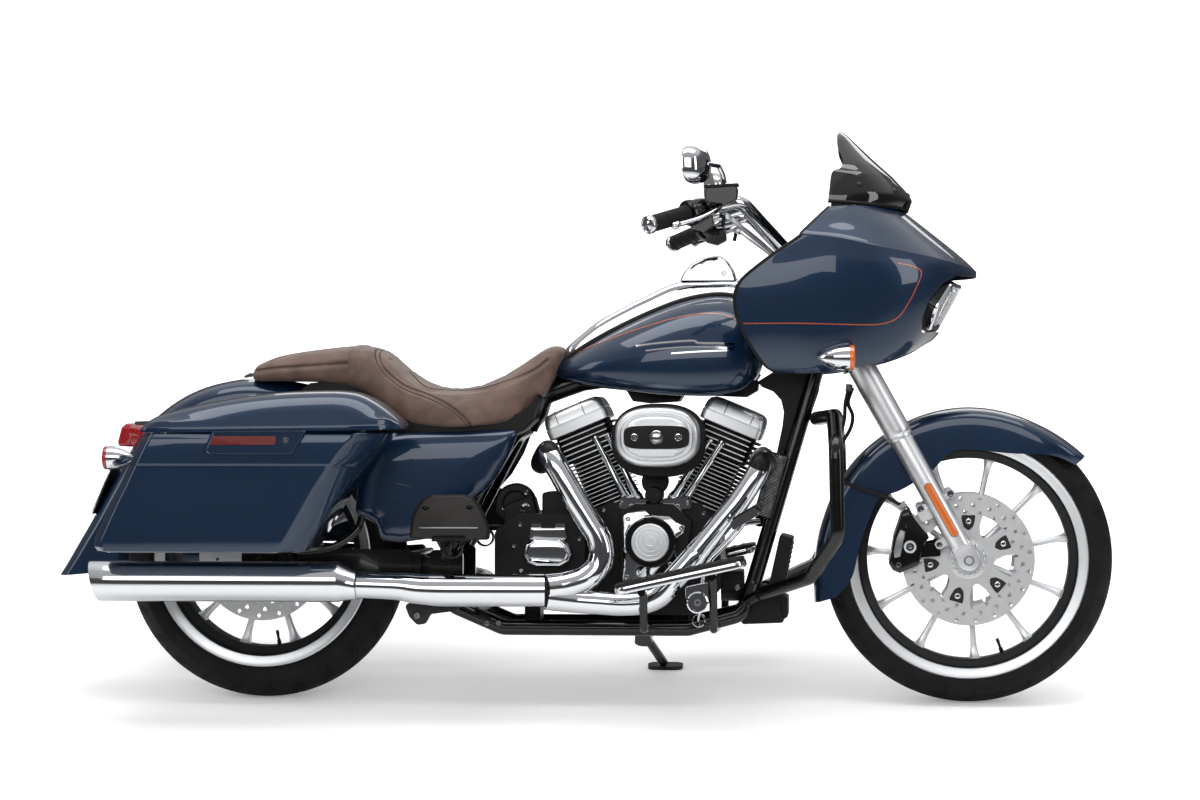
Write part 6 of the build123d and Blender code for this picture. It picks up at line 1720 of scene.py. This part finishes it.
piece("reservoir_lids", lids, black_satin, body="steering")
piece("reservoir_screws", screws, chrome, 50, body="steering")
piece("control_pipes", cables, machined, 60, body="steering")
lines = [flowing([by_grip(*place, side) for place in TRIGGER], 6) for side in (-1, 1)]
piece("switch_triggers", [swept(line, 4.4, sides=12) for line in lines], black_satin, 50,
      body="steering")

# %% [markdown]
# Mirrors are stamped shells with a flat glass pressed into the mouth, on a bent round stalk.

# %% Mirrors
MIRROR_FACE = superellipse(0, 0, 57, 41, 3.0, 56)
MIRROR_SHELL = [(0.93, -3), (0.97, -4), (1.0, -2), (1.0, 4), (0.985, 10), (0.93, 18), (0.82, 25), (0.6, 31),
                (0.3, 34), (0.08, 34.6)]
MIRROR_TURN = math.radians(17)
MIRROR_GLASS = [(0.92, -2), (0.92, -3.6), (0.9, -4)]
shells, glasses, stalks = [], [], []
for side in (-1, 1):
    centre = Vector((1006, side * 406, 1194))
    back = Vector((math.cos(MIRROR_TURN), side * math.sin(MIRROR_TURN), 0.05)).normalized()
    wide = UP.cross(back).normalized()
    tall = back.cross(wide)
    for made_of, levels in ((shells, MIRROR_SHELL), (glasses, MIRROR_GLASS)):
        made_of.append(stacked([[centre + wide * (a * s) + tall * (b * s) + back * d for a, b in MIRROR_FACE]
                                for s, d in levels]))
    foot = Vector((1074, side * 324, 1150))
    knee = Vector((1060, side * 346, 1196))
    stalk = [foot, foot.lerp(knee, 0.5) + Vector((2, 0, 4)), knee, centre + back * 30 + wide * (-6 * side)]
    stalks.append(swept(stalk, 5.6, bend=9, sides=16))
    stalks.append(spun([(-4, 9), (8, 9), (10, 7), (10, 5)], foot, UP, 24))
    stalks.append(spun([(-6, 8), (4, 9), (8, 7)], centre + back * 28, -back, 24))
piece("mirror_shells", shells, chrome, 45, ["mirrors"], body="steering")
piece("mirror_glasses", glasses, machined, 40, body="steering")
piece("mirror_stalks", stalks, chrome, 50, body="steering")

# %% The riser cover with its two indicator windows
cover = [(1173, 1064), (1190, 1078), (1199, 1074), (1226, 1042), (1224, 1034), (1209, 1026)]
piece("riser_cover", cushioned(cover, 60, 6, 0.94, 5), chrome, 40, body="steering")
windows = [spun([(0, 0.1), (0.5, 5), (0.5, 6), (0, 7)], Vector((1194 + 12 * k, -65.4, 1058 - 12 * k)), TO_RIGHT, 20)
           for k in (0, 1)]
piece("riser_windows", windows, lamp_dark, 40, body="steering")
# %% [markdown]
# ## Windscreen
# The screen is one sheet of smoked polycarbonate, bent over a former while hot.  Its shape
# is a handful of levels; each level is a half-ellipse from one side edge round to the other,
# and the side edges step in above the skirt.

# %% Windscreen
SCREEN = [  # front place and height, side place and height, half width
    (1470, 1113, 1296, 1124, 198), (1481, 1128, 1298, 1142, 196), (1484, 1140, 1300, 1160, 193),
    (1470, 1160, 1303, 1186, 187), (1455, 1176, 1310, 1197, 182), (1441, 1191, 1322, 1201, 174),
    (1416, 1213, 1329, 1214, 160), (1392, 1235, 1326, 1232, 138), (1367, 1259, 1317, 1252, 112),
    (1343, 1282, 1315, 1274, 80), (1331, 1292, 1315, 1286, 52), (1323, 1299, 1318, 1296, 22)]
rows = []
for front_x, front_z, side_x, side_z, half in SCREEN:
    row = []
    for k in range(-16, 17):
        a = k / 16 * math.pi / 2
        across, ahead = math.sin(a), max(0.0, math.cos(a)) ** 0.8
        row.append(Vector((side_x + (front_x - side_x) * ahead, half * across,
                           side_z + (front_z - side_z) * ahead)))
    rows.append(row)
screen_rows = flowing_between(rows, 4)
sheet_metal("windscreen_sheet", screen_rows, 3.2, smoked, 60, ["windscreen"], offset=-1)
piece("windscreen_gasket", swept(screen_rows[1], 4.2, sides=10), grip_rubber, 60)
buttons = []
for k in (3, 9, 14, 18, 23, 29):
    p, q, r = screen_rows[10][k], screen_rows[10][k + 1], screen_rows[13][k]
    out = (q - p).cross(r - p).normalized()
    if out.x * 0.4 + out.y * p.y < 0:
        out = -out
    buttons.append(spun([(-3, 6), (0.6, 6), (2.2, 4.6), (2.8, 2), (2.8, 0.1)], p, out, 20))
piece("windscreen_buttons", buttons, black_gloss, 40)
vent = plate([(1474, 1136), (1482, 1130), (1476, 1114), (1466, 1112), (1456, 1122)], -62, -58, 58, 62)
piece("windscreen_vent", vent, black_plastic, 30)

# %% [markdown]
# ## Pinstripes
# A pinstripe is painted by hand along a chalk line.  Here the line is dropped onto the panel
# from the side, so it always lies on whatever curve the panel has.

# %% Stripes dropped onto the panels
OVERHEAD, WELL_OUT = 1400, 520


def dropped(thing, x, other, down=False):
    """Where a line from the right-hand side at (x, z), or from above at (x, y), meets a panel."""
    start = parked @ (Vector((x, other, OVERHEAD)) if down else Vector((x, -WELL_OUT, other)))
    way = (parked.to_3x3() @ (-UP if down else Vector(ACROSS))).normalized()
    hit, place, normal, _ = thing.ray_cast(start, way)
    if not hit:
        return None
    back = parked.inverted()
    return back @ place, (back.to_3x3() @ normal).normalized()


def stripe(thing, points, width, lift=0.5):
    """A thin painted line over a panel, through side-view (x, z) points."""
    line = flowing([Vector((x, z, 0)) for x, z in points], 10)
    rows = []
    for i, here in enumerate(line):
        ahead = (line[min(i + 1, len(line) - 1)] - line[max(i - 1, 0)]).normalized()
        aside = Vector((-ahead.y, ahead.x, 0)) * width / 2
        pair = [dropped(thing, p.x, p.y) for p in (here - aside, here + aside)]
        if None in pair:
            continue
        rows.append([place + normal * lift * (1 if normal.y < 0 else -1) for place, normal in pair])
    return stacked(rows, closed=False, capped=False)


FAIRING_STRIPE = [(1112, 853), (1160, 853), (1236, 853), (1320, 851), (1381, 850), (1414, 852), (1438, 859),
                  (1456, 872), (1470, 893), (1483, 916), (1494, 940), (1501, 958), (1500, 970), (1488, 977),
                  (1470, 982), (1450, 985)]
TANK_STRIPE = [(716, 790), (762, 808), (822, 829), (860, 842), (897, 853), (930, 863), (964, 871), (1000, 877),
               (1030, 879), (1060, 876), (1082, 869), (1098, 860)]
lines = [both(stripe(panel, line, 2.6)) for panel, line in ((fairing, FAIRING_STRIPE), (tank, TANK_STRIPE))]
piece("pinstripes", lines, stripe_orange, 60)

DART = [([(867, 806), (931, 813), (994, 817), (1009, 812), (1054, 811), (1088, 809)], 5.0),
        ([(889, 795), (937, 800), (989, 803), (1043, 802), (1086, 800)], 4.0),
        ([(947, 789), (1009, 793), (1084, 796)], 3.4)]
dart = joined(*[both(joined(*[stripe(tank, line, width * share, lift) for share, lift in ((1.0, 0.6), (0.6, 1.8))]))
                for line, width in DART])
piece("tank_darts", dart, chrome, 60)

# %% [markdown]
# ## Tank console
# A chromed pressing runs along the top of the tank over a rubber bead, and a hinged dome
# covers the filler.

# %% Console, bead and filler dome
CONSOLE = [(694, 800, 34), (706, 812, 44), (730, 832, 48), (776, 868, 50), (846, 906, 51), (884, 924, 52),
           (950, 953, 52), (1020, 957, 52), (1080, 958, 52), (1100, 952, 46)]
rows = []
for x, top, half in CONSOLE:
    right = [(half + 1.5, top - 52), (half + 1, top - 26), (half, top - 12), (half - 3, top - 5),
             (half - 10, top - 1), (half * 0.5, top + 1.6), (0, top + 2.4)]
    rows.append(carried_over([Vector((x, -y, z)) for y, z in right]))
piece("console_pressing", stacked(flowing_between(rows, 5)), chrome, 50, ["tank_console"])
beads = []
for side in (-1, 1):
    line = []
    for k in range(40):
        x = 700 + 394 * k / 39
        half = 47 + 7 * min(1, k / 6)
        found = dropped(tank, x, side * half, down=True)
        if found:
            line.append(found[0] + Vector((0, side * 1.5, 0.6)))
    beads.append(swept(line, 6.5, sides=12))
piece("console_bead", beads, grip_rubber, 60)
DOME = [(958, 957.5), (966, 974), (984, 996), (1000, 1004), (1022, 1011), (1040, 1014), (1052, 1013), (1064, 1004),
        (1078, 982), (1086, 957.5)]
dome = domed(DOME, [(0.8, -51), (0.93, -50), (0.985, -46), (1.0, -40), (1.0, 40), (0.985, 46), (0.93, 50),
                    (0.8, 51)], 0, centre=(1022, 957.5))
piece("filler_dome", dome, chrome, 32, ["fuel_door"], body="fuel_door")
piece("filler_lock", spun([(-1, 7), (1, 7), (2, 6), (2, 3.4), (0.6, 3), (0.6, 0.1)], (1058, -50.6, 974), TO_RIGHT,
                          28), machined, 40, body="fuel_door")

# %% [markdown]
# ## Lamps
# Turn signals are spun bullets with a coloured lens pressed into the mouth.

# %% Turn signals and tail lamp
def bullet(place, ahead, length, radius):
    """The bright shell of a signal lamp, mouth first."""
    profile = [(0, radius - 4), (0, radius), (4, radius), (length * 0.2, radius * 0.985),
               (length * 0.42, radius * 0.9), (length * 0.64, radius * 0.7), (length * 0.84, radius * 0.4),
               (length * 0.96, radius * 0.14), (length, 0.1)]
    return spun(profile, place, (-ahead, 0, 0), 56)


def lens(place, ahead, radius):
    """The coloured lens pressed into a signal lamp's mouth."""
    profile = [(0, radius - 1), (1, radius), (9, radius), (11.5, radius * 0.96), (13, radius * 0.8),
               (14, radius * 0.4), (14.2, 0.1)]
    return spun(profile, place, (ahead, 0, 0), 56)


shells = both(joined(bullet((1346, -302, 778), 1, 72, 28.4),
                     swept([(1310, -262, 776), (1312, -284, 777), (1316, -296, 778)], 9, sides=18)))
piece("front_signal_shells", shells, chrome, 45, ["front_signals"])
piece("front_signal_lenses", both(lens((1344, -302, 778), 1, 28)), amber, 45)
bar = [swept([(-326, -166, 554), (-326, 166, 554)], 9, sides=20),
       domed([(-330, 544), (-330, 564), (-296, 564), (-296, 544)], [(1, -42), (1, 42)], 4)]
for side in (-1, 1):
    bar.append(bullet((-330, side * 190, 554), -1, 60, 27))
piece("rear_signal_shells", bar, chrome, 45, ["rear_signal_bar"])
piece("rear_signal_lenses", [lens((-328, side * 190, 554), -1, 26.6) for side in (-1, 1)], red_lens, 45)
TAIL = [(-256, 633), (-322, 631), (-332, 622), (-341, 588), (-339, 578), (-292, 576)]
piece("tail_lens", domed(TAIL, [(0.84, -61), (0.95, -58), (1, -50), (1, 50), (0.95, 58), (0.84, 61)], 6), red_lens,
      40, ["tail_light"])
TAIL_RIB = [(-337.5, 589), (-340.8, 590), (-340.0, 593), (-336.7, 592)]
ribs = [plate([(x + k * 3.0, z + k * 12) for x, z in TAIL_RIB], -50, 50) for k in range(3)]
piece("tail_lens_ribs", ribs, dark_red, 20)
tail_base = cushioned([(-252, 637), (-300, 636), (-300, 628), (-262, 628)], 60, 4, 0.94, 3)
piece("tail_lamp_hood", tail_base, chrome, 40)
PLATE_HIGH = 104
outline = softened([(-88, 0), (88, 0), (88, PLATE_HIGH), (-88, PLATE_HIGH)], 8, 4)


def on_plate(y, up, size, out):
    """A place on the number plate, drawn a little larger or smaller about its middle."""
    middle = PLATE_HIGH / 2
    up = middle + (up - middle) * size
    return Vector((-345 - (PLATE_HIGH - up) * 0.424 - out * 0.92, y * size, 424 + up * 0.98 + out * 0.39))


blank = stacked([[on_plate(y, up, size, out) for y, up in outline]
                 for size, out in ((1.0, 0), (1.0, 3), (0.985, 4))])
piece("number_plate_blank", blank, black_satin, 30)
frame_line = [on_plate(y, up, 1.01, 4) for y, up in outline]
piece("number_plate_frame", swept(frame_line + frame_line[:2], 2.6, sides=10, capped=False), chrome, 60)
stay = domed([(-350, 528), (-344, 528), (-322, 552), (-330, 556)], [(1, -34), (1, 34)], 2)
piece("number_plate_stay", stay, black_satin, 30)

# %% [markdown]
# ## Boards and pedals
# The rider's boards are steel trays with a rubber pad on rivets; the passenger's fold up
# against the machine.

# %% Boards
BOARD_BACK, BOARD_INNER = Vector((836, 0, 262)), 290
BOARD_WAY, BOARD_ABOVE = Vector((286, 0, 64)).normalized(), Vector((-64, 0, 286)).normalized()


def on_board(along, across, up, side):
    """A place on a rider's board: along it from its back, across it from its inner edge, above it."""
    place = BOARD_BACK + BOARD_WAY * along + BOARD_ABOVE * up
    return Vector((place.x, side * (BOARD_INNER + across), place.z))


def board_layers(side, levels):
    """The board's plan in levels of (size, height)."""
    plan = softened([(1, 1), (292, 1), (292, 111), (1, 111)], 26, 6)
    mid, half = 146, 56
    return stacked([[on_board(mid + (a - mid) * s, half + (c - half) * s, up, side) for a, c in plan]
                    for s, up in levels])


trays, pads, ribs = [], [], []
for side in (-1, 1):
    trays.append(board_layers(side, ((0.96, -3), (0.99, -2), (1, 0), (1, 11), (0.99, 12.4))))
    pads.append(board_layers(side, ((0.985, 11), (0.99, 18), (0.97, 20), (0.94, 20.5))))
    for k in range(11):
        along = 30 + 23 * k
        ribs.append(stacked([[on_board(along + da, 10 + dc, 20 + du, side)
                              for da, du in ((-5, 0), (-3.4, 2), (3.4, 2), (5, 0))] for dc in (0, 92)]))
piece("rider_board_trays", trays, chrome, 40, ["rider_floorboards"])
piece("rider_board_pads", pads, grip_rubber, 40)
piece("rider_board_ribs", ribs, grip_rubber, 30)
FLAP = [(376, 380), (381, 425), (392, 448), (404, 465), (424, 476), (499, 477), (518, 468), (530, 455), (542, 434),
        (555, 396), (552, 377), (506, 376), (503, 384), (428, 384), (424, 378)]
piece("passenger_boards", both(domed(FLAP, [(0.97, -301), (1, -304), (1, -320), (0.985, -324), (0.95, -326)], 5)),
      black_satin, 35, ["passenger_floorboards"])
piece("passenger_board_pads", both(domed(FLAP, [(0.93, -324), (0.93, -327), (0.9, -328.4)], 5)), board_rubber)
lip = swept([(400, -328, 404), (404, -331, 403.6), (524, -331, 403.6), (528, -328, 404)], 1.8, sides=8)
piece("passenger_board_edges", both(lip), dull_steel, 60)
flap_bolts = [spun([(-1, 8), (1.2, 8), (2, 7), (2, 5.4), (0.4, 5), (0.4, 3), (1.6, 2.6), (1.8, 0.1)], (x, -328, z),
                   TO_RIGHT, 28) for x, z in ((413, 447), (511, 449))]
piece("passenger_board_bolts", both(flap_bolts), black_gloss, 40)
arms = [swept([(440, -130, 332), (440, -210, 338), (456, -292, 372), (460, -306, 384)], 12, bend=30, sides=18),
        swept([(424, -306, 380), (508, -306, 380)], 8, sides=16),
        spun([(-12, 18), (-10, 22), (10, 22), (12, 18)], (470, -300, 356), ACROSS, 32)]
piece("passenger_board_arms", both(arms), black_satin, 40)

# %% Pedals and levers
lever = flowing([(1010, -150, 182), (1010, -238, 196), (1016, -266, 232), (1024, -272, 300), (1042, -275, 336),
                 (1078, -276, 374), (1108, -276, 410), (1118, -278, 430)], 6)
arm = swept(lever, [8 + 5 * min(1, max(0, k - 16) / 10) for k in range(len(lever))], sides=18, flat=0.5)
arm_boss = [spun([(-14, 13), (-12, 15), (12, 15), (14, 13)], (1011, -230, 196), ACROSS, 32),
            spun([(-6, 22), (-4, 24), (8, 24), (10, 21)], (1012, -298, 240), TO_RIGHT, 36)]
clip = domed([(986, 250), (984, 274), (1036, 286), (1038, 250), (1030, 226), (1012, 218), (994, 228)],
             [(1, -286), (1, -300), (0.95, -303)], 9)
PAD = [(1084, 412), (1090, 402), (1096, 402), (1146, 434), (1148, 440), (1142, 450), (1136, 450), (1086, 420)]
pad_tray = domed(PAD, [(0.96, -342), (1, -338), (1, -274), (0.96, -270)], 3)
left = [swept([(1128, 268, 398), (1060, 240, 392), (1010, 226, 384), (860, 226, 360), (820, 240, 368),
               (780, 268, 372)], 8, bend=22, sides=16), swept([(996, 208, 382), (996, 230, 382)], 12, sides=20)]
piece("pedal_arms", [arm, clip, *arm_boss, *left, pad_tray], chrome, 45, ["foot_controls"])
rubbers = [domed([(x + 3, z + 7) for x, z in PAD], [(0.9, -338), (0.94, -334), (0.94, -278), (0.9, -274)], 3)]
grooves = [(6 + 6 * k + d, r) for k in range(8) for d, r in ((0, 13.4), (1, 12.2), (3, 12.2), (4, 13.4))]
for x, z in ((1128, 398), (780, 372)):
    rubbers.append(spun([(0, 12), (2, 13.4), *grooves, (56, 13), (58, 11), (58, 0.1)], (x, 264, z), ACROSS, 28))
piece("pedal_rubbers", rubbers, grip_rubber, 40)
clip_bolt = [domed_bolt((1012, -302, 240), 9, 5), domed_bolt((1092, -110, 262), 7, 6)]
piece("pedal_bolts", clip_bolt, dull_steel, 40)

# %% [markdown]
# ## Filling in behind
# Under the seat and below the bags the frame is boxed in by black pressings, so no daylight
# shows there.

# %% Seat pan, bag guards, woven sleeve and the box ahead of the frame
pan = cushioned([(250, 596), (250, 628), (330, 642), (470, 640), (560, 644), (606, 656), (634, 680), (644, 700),
                 (650, 690), (634, 640), (612, 616), (590, 604)],
                144, 6, 0.97, 6)
piece("seat_pan", pan, black_satin)
GUARD = [(120, -300, 352), (169, -262, 352), (205, -254, 362), (236, -248, 382), (251, -244, 400), (256, -232, 424)]
piece("bag_guards", both(swept(flowing(GUARD, 8), 8, sides=18)), black_gloss, 60)
weave = []
start, end = Vector((1146, -86, 424)), Vector((1184, -80, 560))
way = (end - start).normalized()
one = way.cross(Vector(ACROSS)).normalized()
two = way.cross(one)
length = (end - start).length
THREADS, WINDS, THREAD_STEPS = 14, 1.6, 48
for turn in range(THREADS):
    for hand in (-1, 1):
        line = []
        for k in range(THREAD_STEPS + 1):
            a = hand * k / THREAD_STEPS * 2 * math.pi * WINDS + turn * 2 * math.pi / THREADS
            line.append(start + way * (length * k / THREAD_STEPS) + (one * math.cos(a) + two * math.sin(a)) * 19)
        weave.append(swept(line, 0.9, sides=5))
piece("woven_sleeve", weave, dull_steel, 60)
piece("sleeve_core", swept([start - way * 4, end + way * 4], 17.4, sides=28), black_satin, 60)
BOX = [(1080, 206), (1102, 176), (1196, 180), (1184, 246), (1160, 262), (1128, 262)]
BOX_FIN = [(1184, 186), (1194, 187), (1193, 190), (1183, 189)]
fins = [plate([(x + (2 - k * 1.6), z + 8 * k) for x, z in BOX_FIN], -58, 58) for k in range(7)]
piece("regulator_box", cushioned(BOX, 60, 4, 0.97, 7), black_satin)
piece("regulator_fins", fins, black_satin, 30)
rear_pan = [(92, 706), (120, 724), (236, 732), (300, 706), (330, 652), (300, 640), (230, 676), (170, 694)]
piece("seat_pan_rear", cushioned(rear_pan, 118, 4, 0.97, 6), black_satin)
SPINE = [(700, 724), (762, 714), (836, 706), (850, 682), (889, 677), (956, 681), (965, 697), (1108, 691),
         (1134, 706), (1136, 730), (900, 740)]
piece("spine_cover", cushioned(SPINE, 42, 4, 0.98, 6), black_satin)
SHROUD = [(1133, 726), (1170, 749), (1281, 757), (1272, 703), (1258, 662), (1244, 630), (1224, 603), (1204, 537),
          (1181, 458), (1172, 430), (1162, 439), (1168, 503), (1177, 560), (1191, 628), (1194, 658), (1188, 685),
          (1170, 705), (1145, 715)]
piece("neck_shroud", cushioned(SHROUD, 40, 2, 0.985, 8), black_satin)
latch = [(-54, 736), (-54, 741), (-40, 748), (-26, 747), (-26, 741)]
piece("seat_rear_latch", cushioned(latch, 10, 2, 0.9, 2), chrome, 40)

# %% [markdown]
# ## The studio
# A pale seamless floor, a large soft light overhead, a strip on each side and a fill at each
# end give chrome and lacquer something to mirror.  The floor and the world are white to the
# camera; darker bands near the horizon give the bright metal its contrast.

# %% Two small helpers
def clear_rays(tree, rays):
    """One for what the camera sees directly or through glass, and nothing for other rays."""
    return add_node(tree, "ShaderNodeMath", {0: rays.outputs["Is Camera Ray"],
                                             1: rays.outputs["Is Transmission Ray"]},
                    operation="MAXIMUM").outputs[0]


def remapped(tree, value, *limits):
    """A value carried from one range to another."""
    numbers = {"in_" + str(k + 1): limit for k, limit in enumerate(limits)}
    return add_node(tree, "ShaderNodeMapRange", {"Value": value}, **numbers).outputs[0]


# %% Floor
floor_white, tree, shader = finish_named("seamless_studio_paper", "#f6f6f6", 0.0, 0.95)
rays = add_node(tree, "ShaderNodeLightPath")
spot = add_node(tree, "ShaderNodeNewGeometry")
far = add_node(tree, "ShaderNodeVectorMath", {0: spot.outputs["Position"]}, operation="LENGTH")
glow = remapped(tree, far.outputs["Value"], 1.0, 3.8, 0.22, 1.0)
faint = add_node(tree, "ShaderNodeMath", {0: clear_rays(tree, rays), 1: glow}, operation="MULTIPLY")
shader.inputs["Emission Color"].default_value = linear("#ffffff")
tree.links.new(faint.outputs[0], shader.inputs["Emission Strength"])
fading = remapped(tree, far.outputs["Value"], 1.6, 3.8, 0.0, 0.93)
dimmer = add_node(tree, "ShaderNodeMath", {0: fading, 1: rays.outputs["Is Glossy Ray"]}, operation="MULTIPLY")
mixed = add_node(tree, "ShaderNodeMix", data_type="RGBA")
mixed.inputs[6].default_value = linear("#f6f6f6")
mixed.inputs[7].default_value = linear("#050505")
tree.links.new(dimmer.outputs[0], mixed.inputs[0])
tree.links.new(mixed.outputs[2], shader.inputs["Base Color"])
FLOOR_HALF = 300
corners = [(x * FLOOR_HALF, y * FLOOR_HALF, 0) for x, y in ((-1, -1), (1, -1), (1, 1), (-1, 1))]
floor = drawn("studio_floor", (corners, [(0, 1, 2, 3)]), outward=False)
floor.data.materials.append(floor_white)

# %% World
world = bpy.data.worlds.new("studio_light")
bpy.context.scene.world = world
world.use_nodes = True
tree = world.node_tree
tree.nodes.clear()
rays = add_node(tree, "ShaderNodeLightPath")
place = add_node(tree, "ShaderNodeTexCoord")
parts = add_node(tree, "ShaderNodeSeparateXYZ", {"Vector": place.outputs["Generated"]})
bands = add_node(tree, "ShaderNodeValToRGB", {"Fac": parts.outputs["Z"]})
ramp = bands.color_ramp
ramp.elements[0].position, ramp.elements[0].color = 0.0, (0.12, 0.12, 0.125, 1)
ramp.elements[1].position, ramp.elements[1].color = 1.0, (0.85, 0.85, 0.86, 1)
for position, level in ((0.16, 0.10), (0.34, 0.18), (0.44, 0.62), (0.70, 0.74)):
    step = ramp.elements.new(position)
    step.color = (level, level, level * 1.01, 1)
behind = remapped(tree, parts.outputs["Y"], -0.35, 0.25, 0.62, 1.0)
mirror_side = add_node(tree, "ShaderNodeBackground", {"Color": bands.outputs["Color"], "Strength": behind})
plain = add_node(tree, "ShaderNodeBackground", in_Color=(1, 1, 1, 1), in_Strength=0.72)
white = add_node(tree, "ShaderNodeBackground", in_Color=(1, 1, 1, 1), in_Strength=1.0)
glossy = add_node(tree, "ShaderNodeMixShader",
                  {0: rays.outputs["Is Glossy Ray"], 1: plain.outputs[0], 2: mirror_side.outputs[0]})
shown = add_node(tree, "ShaderNodeMixShader",
                 {0: clear_rays(tree, rays), 1: glossy.outputs[0], 2: white.outputs[0]})
add_node(tree, "ShaderNodeOutputWorld", {"Surface": shown.outputs[0]})

# %% Lamps
def soft_light(name, place, aim, size, power):
    """A rectangular soft light that faces a point."""
    data = bpy.data.lights.new(name, "AREA")
    data.shape = "RECTANGLE"
    data.size, data.size_y = size
    data.energy = power
    lamp = bpy.data.objects.new(name, data)
    lamp.location = place
    lamp.rotation_euler = (Vector(aim) - Vector(place)).to_track_quat("-Z", "Y").to_euler()
    bpy.context.scene.collection.objects.link(lamp)


for lamp in (("overhead", (0.1, -0.4, 3.4), (0.1, -0.1, 0.5), (4.2, 1.6), 70),
             ("right_strip", (-0.3, -4.6, 2.4), (0.0, 0.0, 0.7), (4.6, 1.7), 58),
             ("front_fill", (4.2, -2.0, 1.9), (0.4, 0.0, 0.7), (1.2, 2.4), 28),
             ("rear_fill", (-4.2, -1.6, 2.0), (-0.4, 0.0, 0.6), (1.2, 2.4), 22),
             ("far_side", (0.2, 4.4, 2.6), (0.0, 0.0, 0.7), (4.0, 1.2), 26)):
    soft_light(*lamp)

# %% [markdown]
# The camera stands 7.4 m from the machine's right side, a little toward its nose, and
# leans with it, so that it sees the wheels upright.

# %% Camera
YAW = math.radians(4.8)
DISTANCE, SENSOR, FRAME_WIDTH, FOCAL = 7400, 36, 1200, 3223
aim = Vector((771.5, 0, 685))
away = Vector((math.sin(YAW), -math.cos(YAW), 0))
stand = aim + away * DISTANCE
sideways = Vector((math.cos(YAW), math.sin(YAW), 0))
camera_data = bpy.data.cameras.new("portrait")
camera_data.sensor_width = SENSOR
camera_data.lens = SENSOR * FOCAL / FRAME_WIDTH
camera_data.clip_end = 900
camera = bpy.data.objects.new("portrait", camera_data)
bpy.context.scene.collection.objects.link(camera)
facing = Matrix((sideways, UP, away)).transposed()
upright_pose = Matrix.Translation(stand) @ facing.to_4x4()
seen_from = parked @ upright_pose
place, turn, _ = seen_from.decompose()
camera.location = place
camera.rotation_mode = "QUATERNION"
camera.rotation_quaternion = turn
bpy.context.scene.camera = camera
bpy.context.scene.view_settings.view_transform = "Standard"
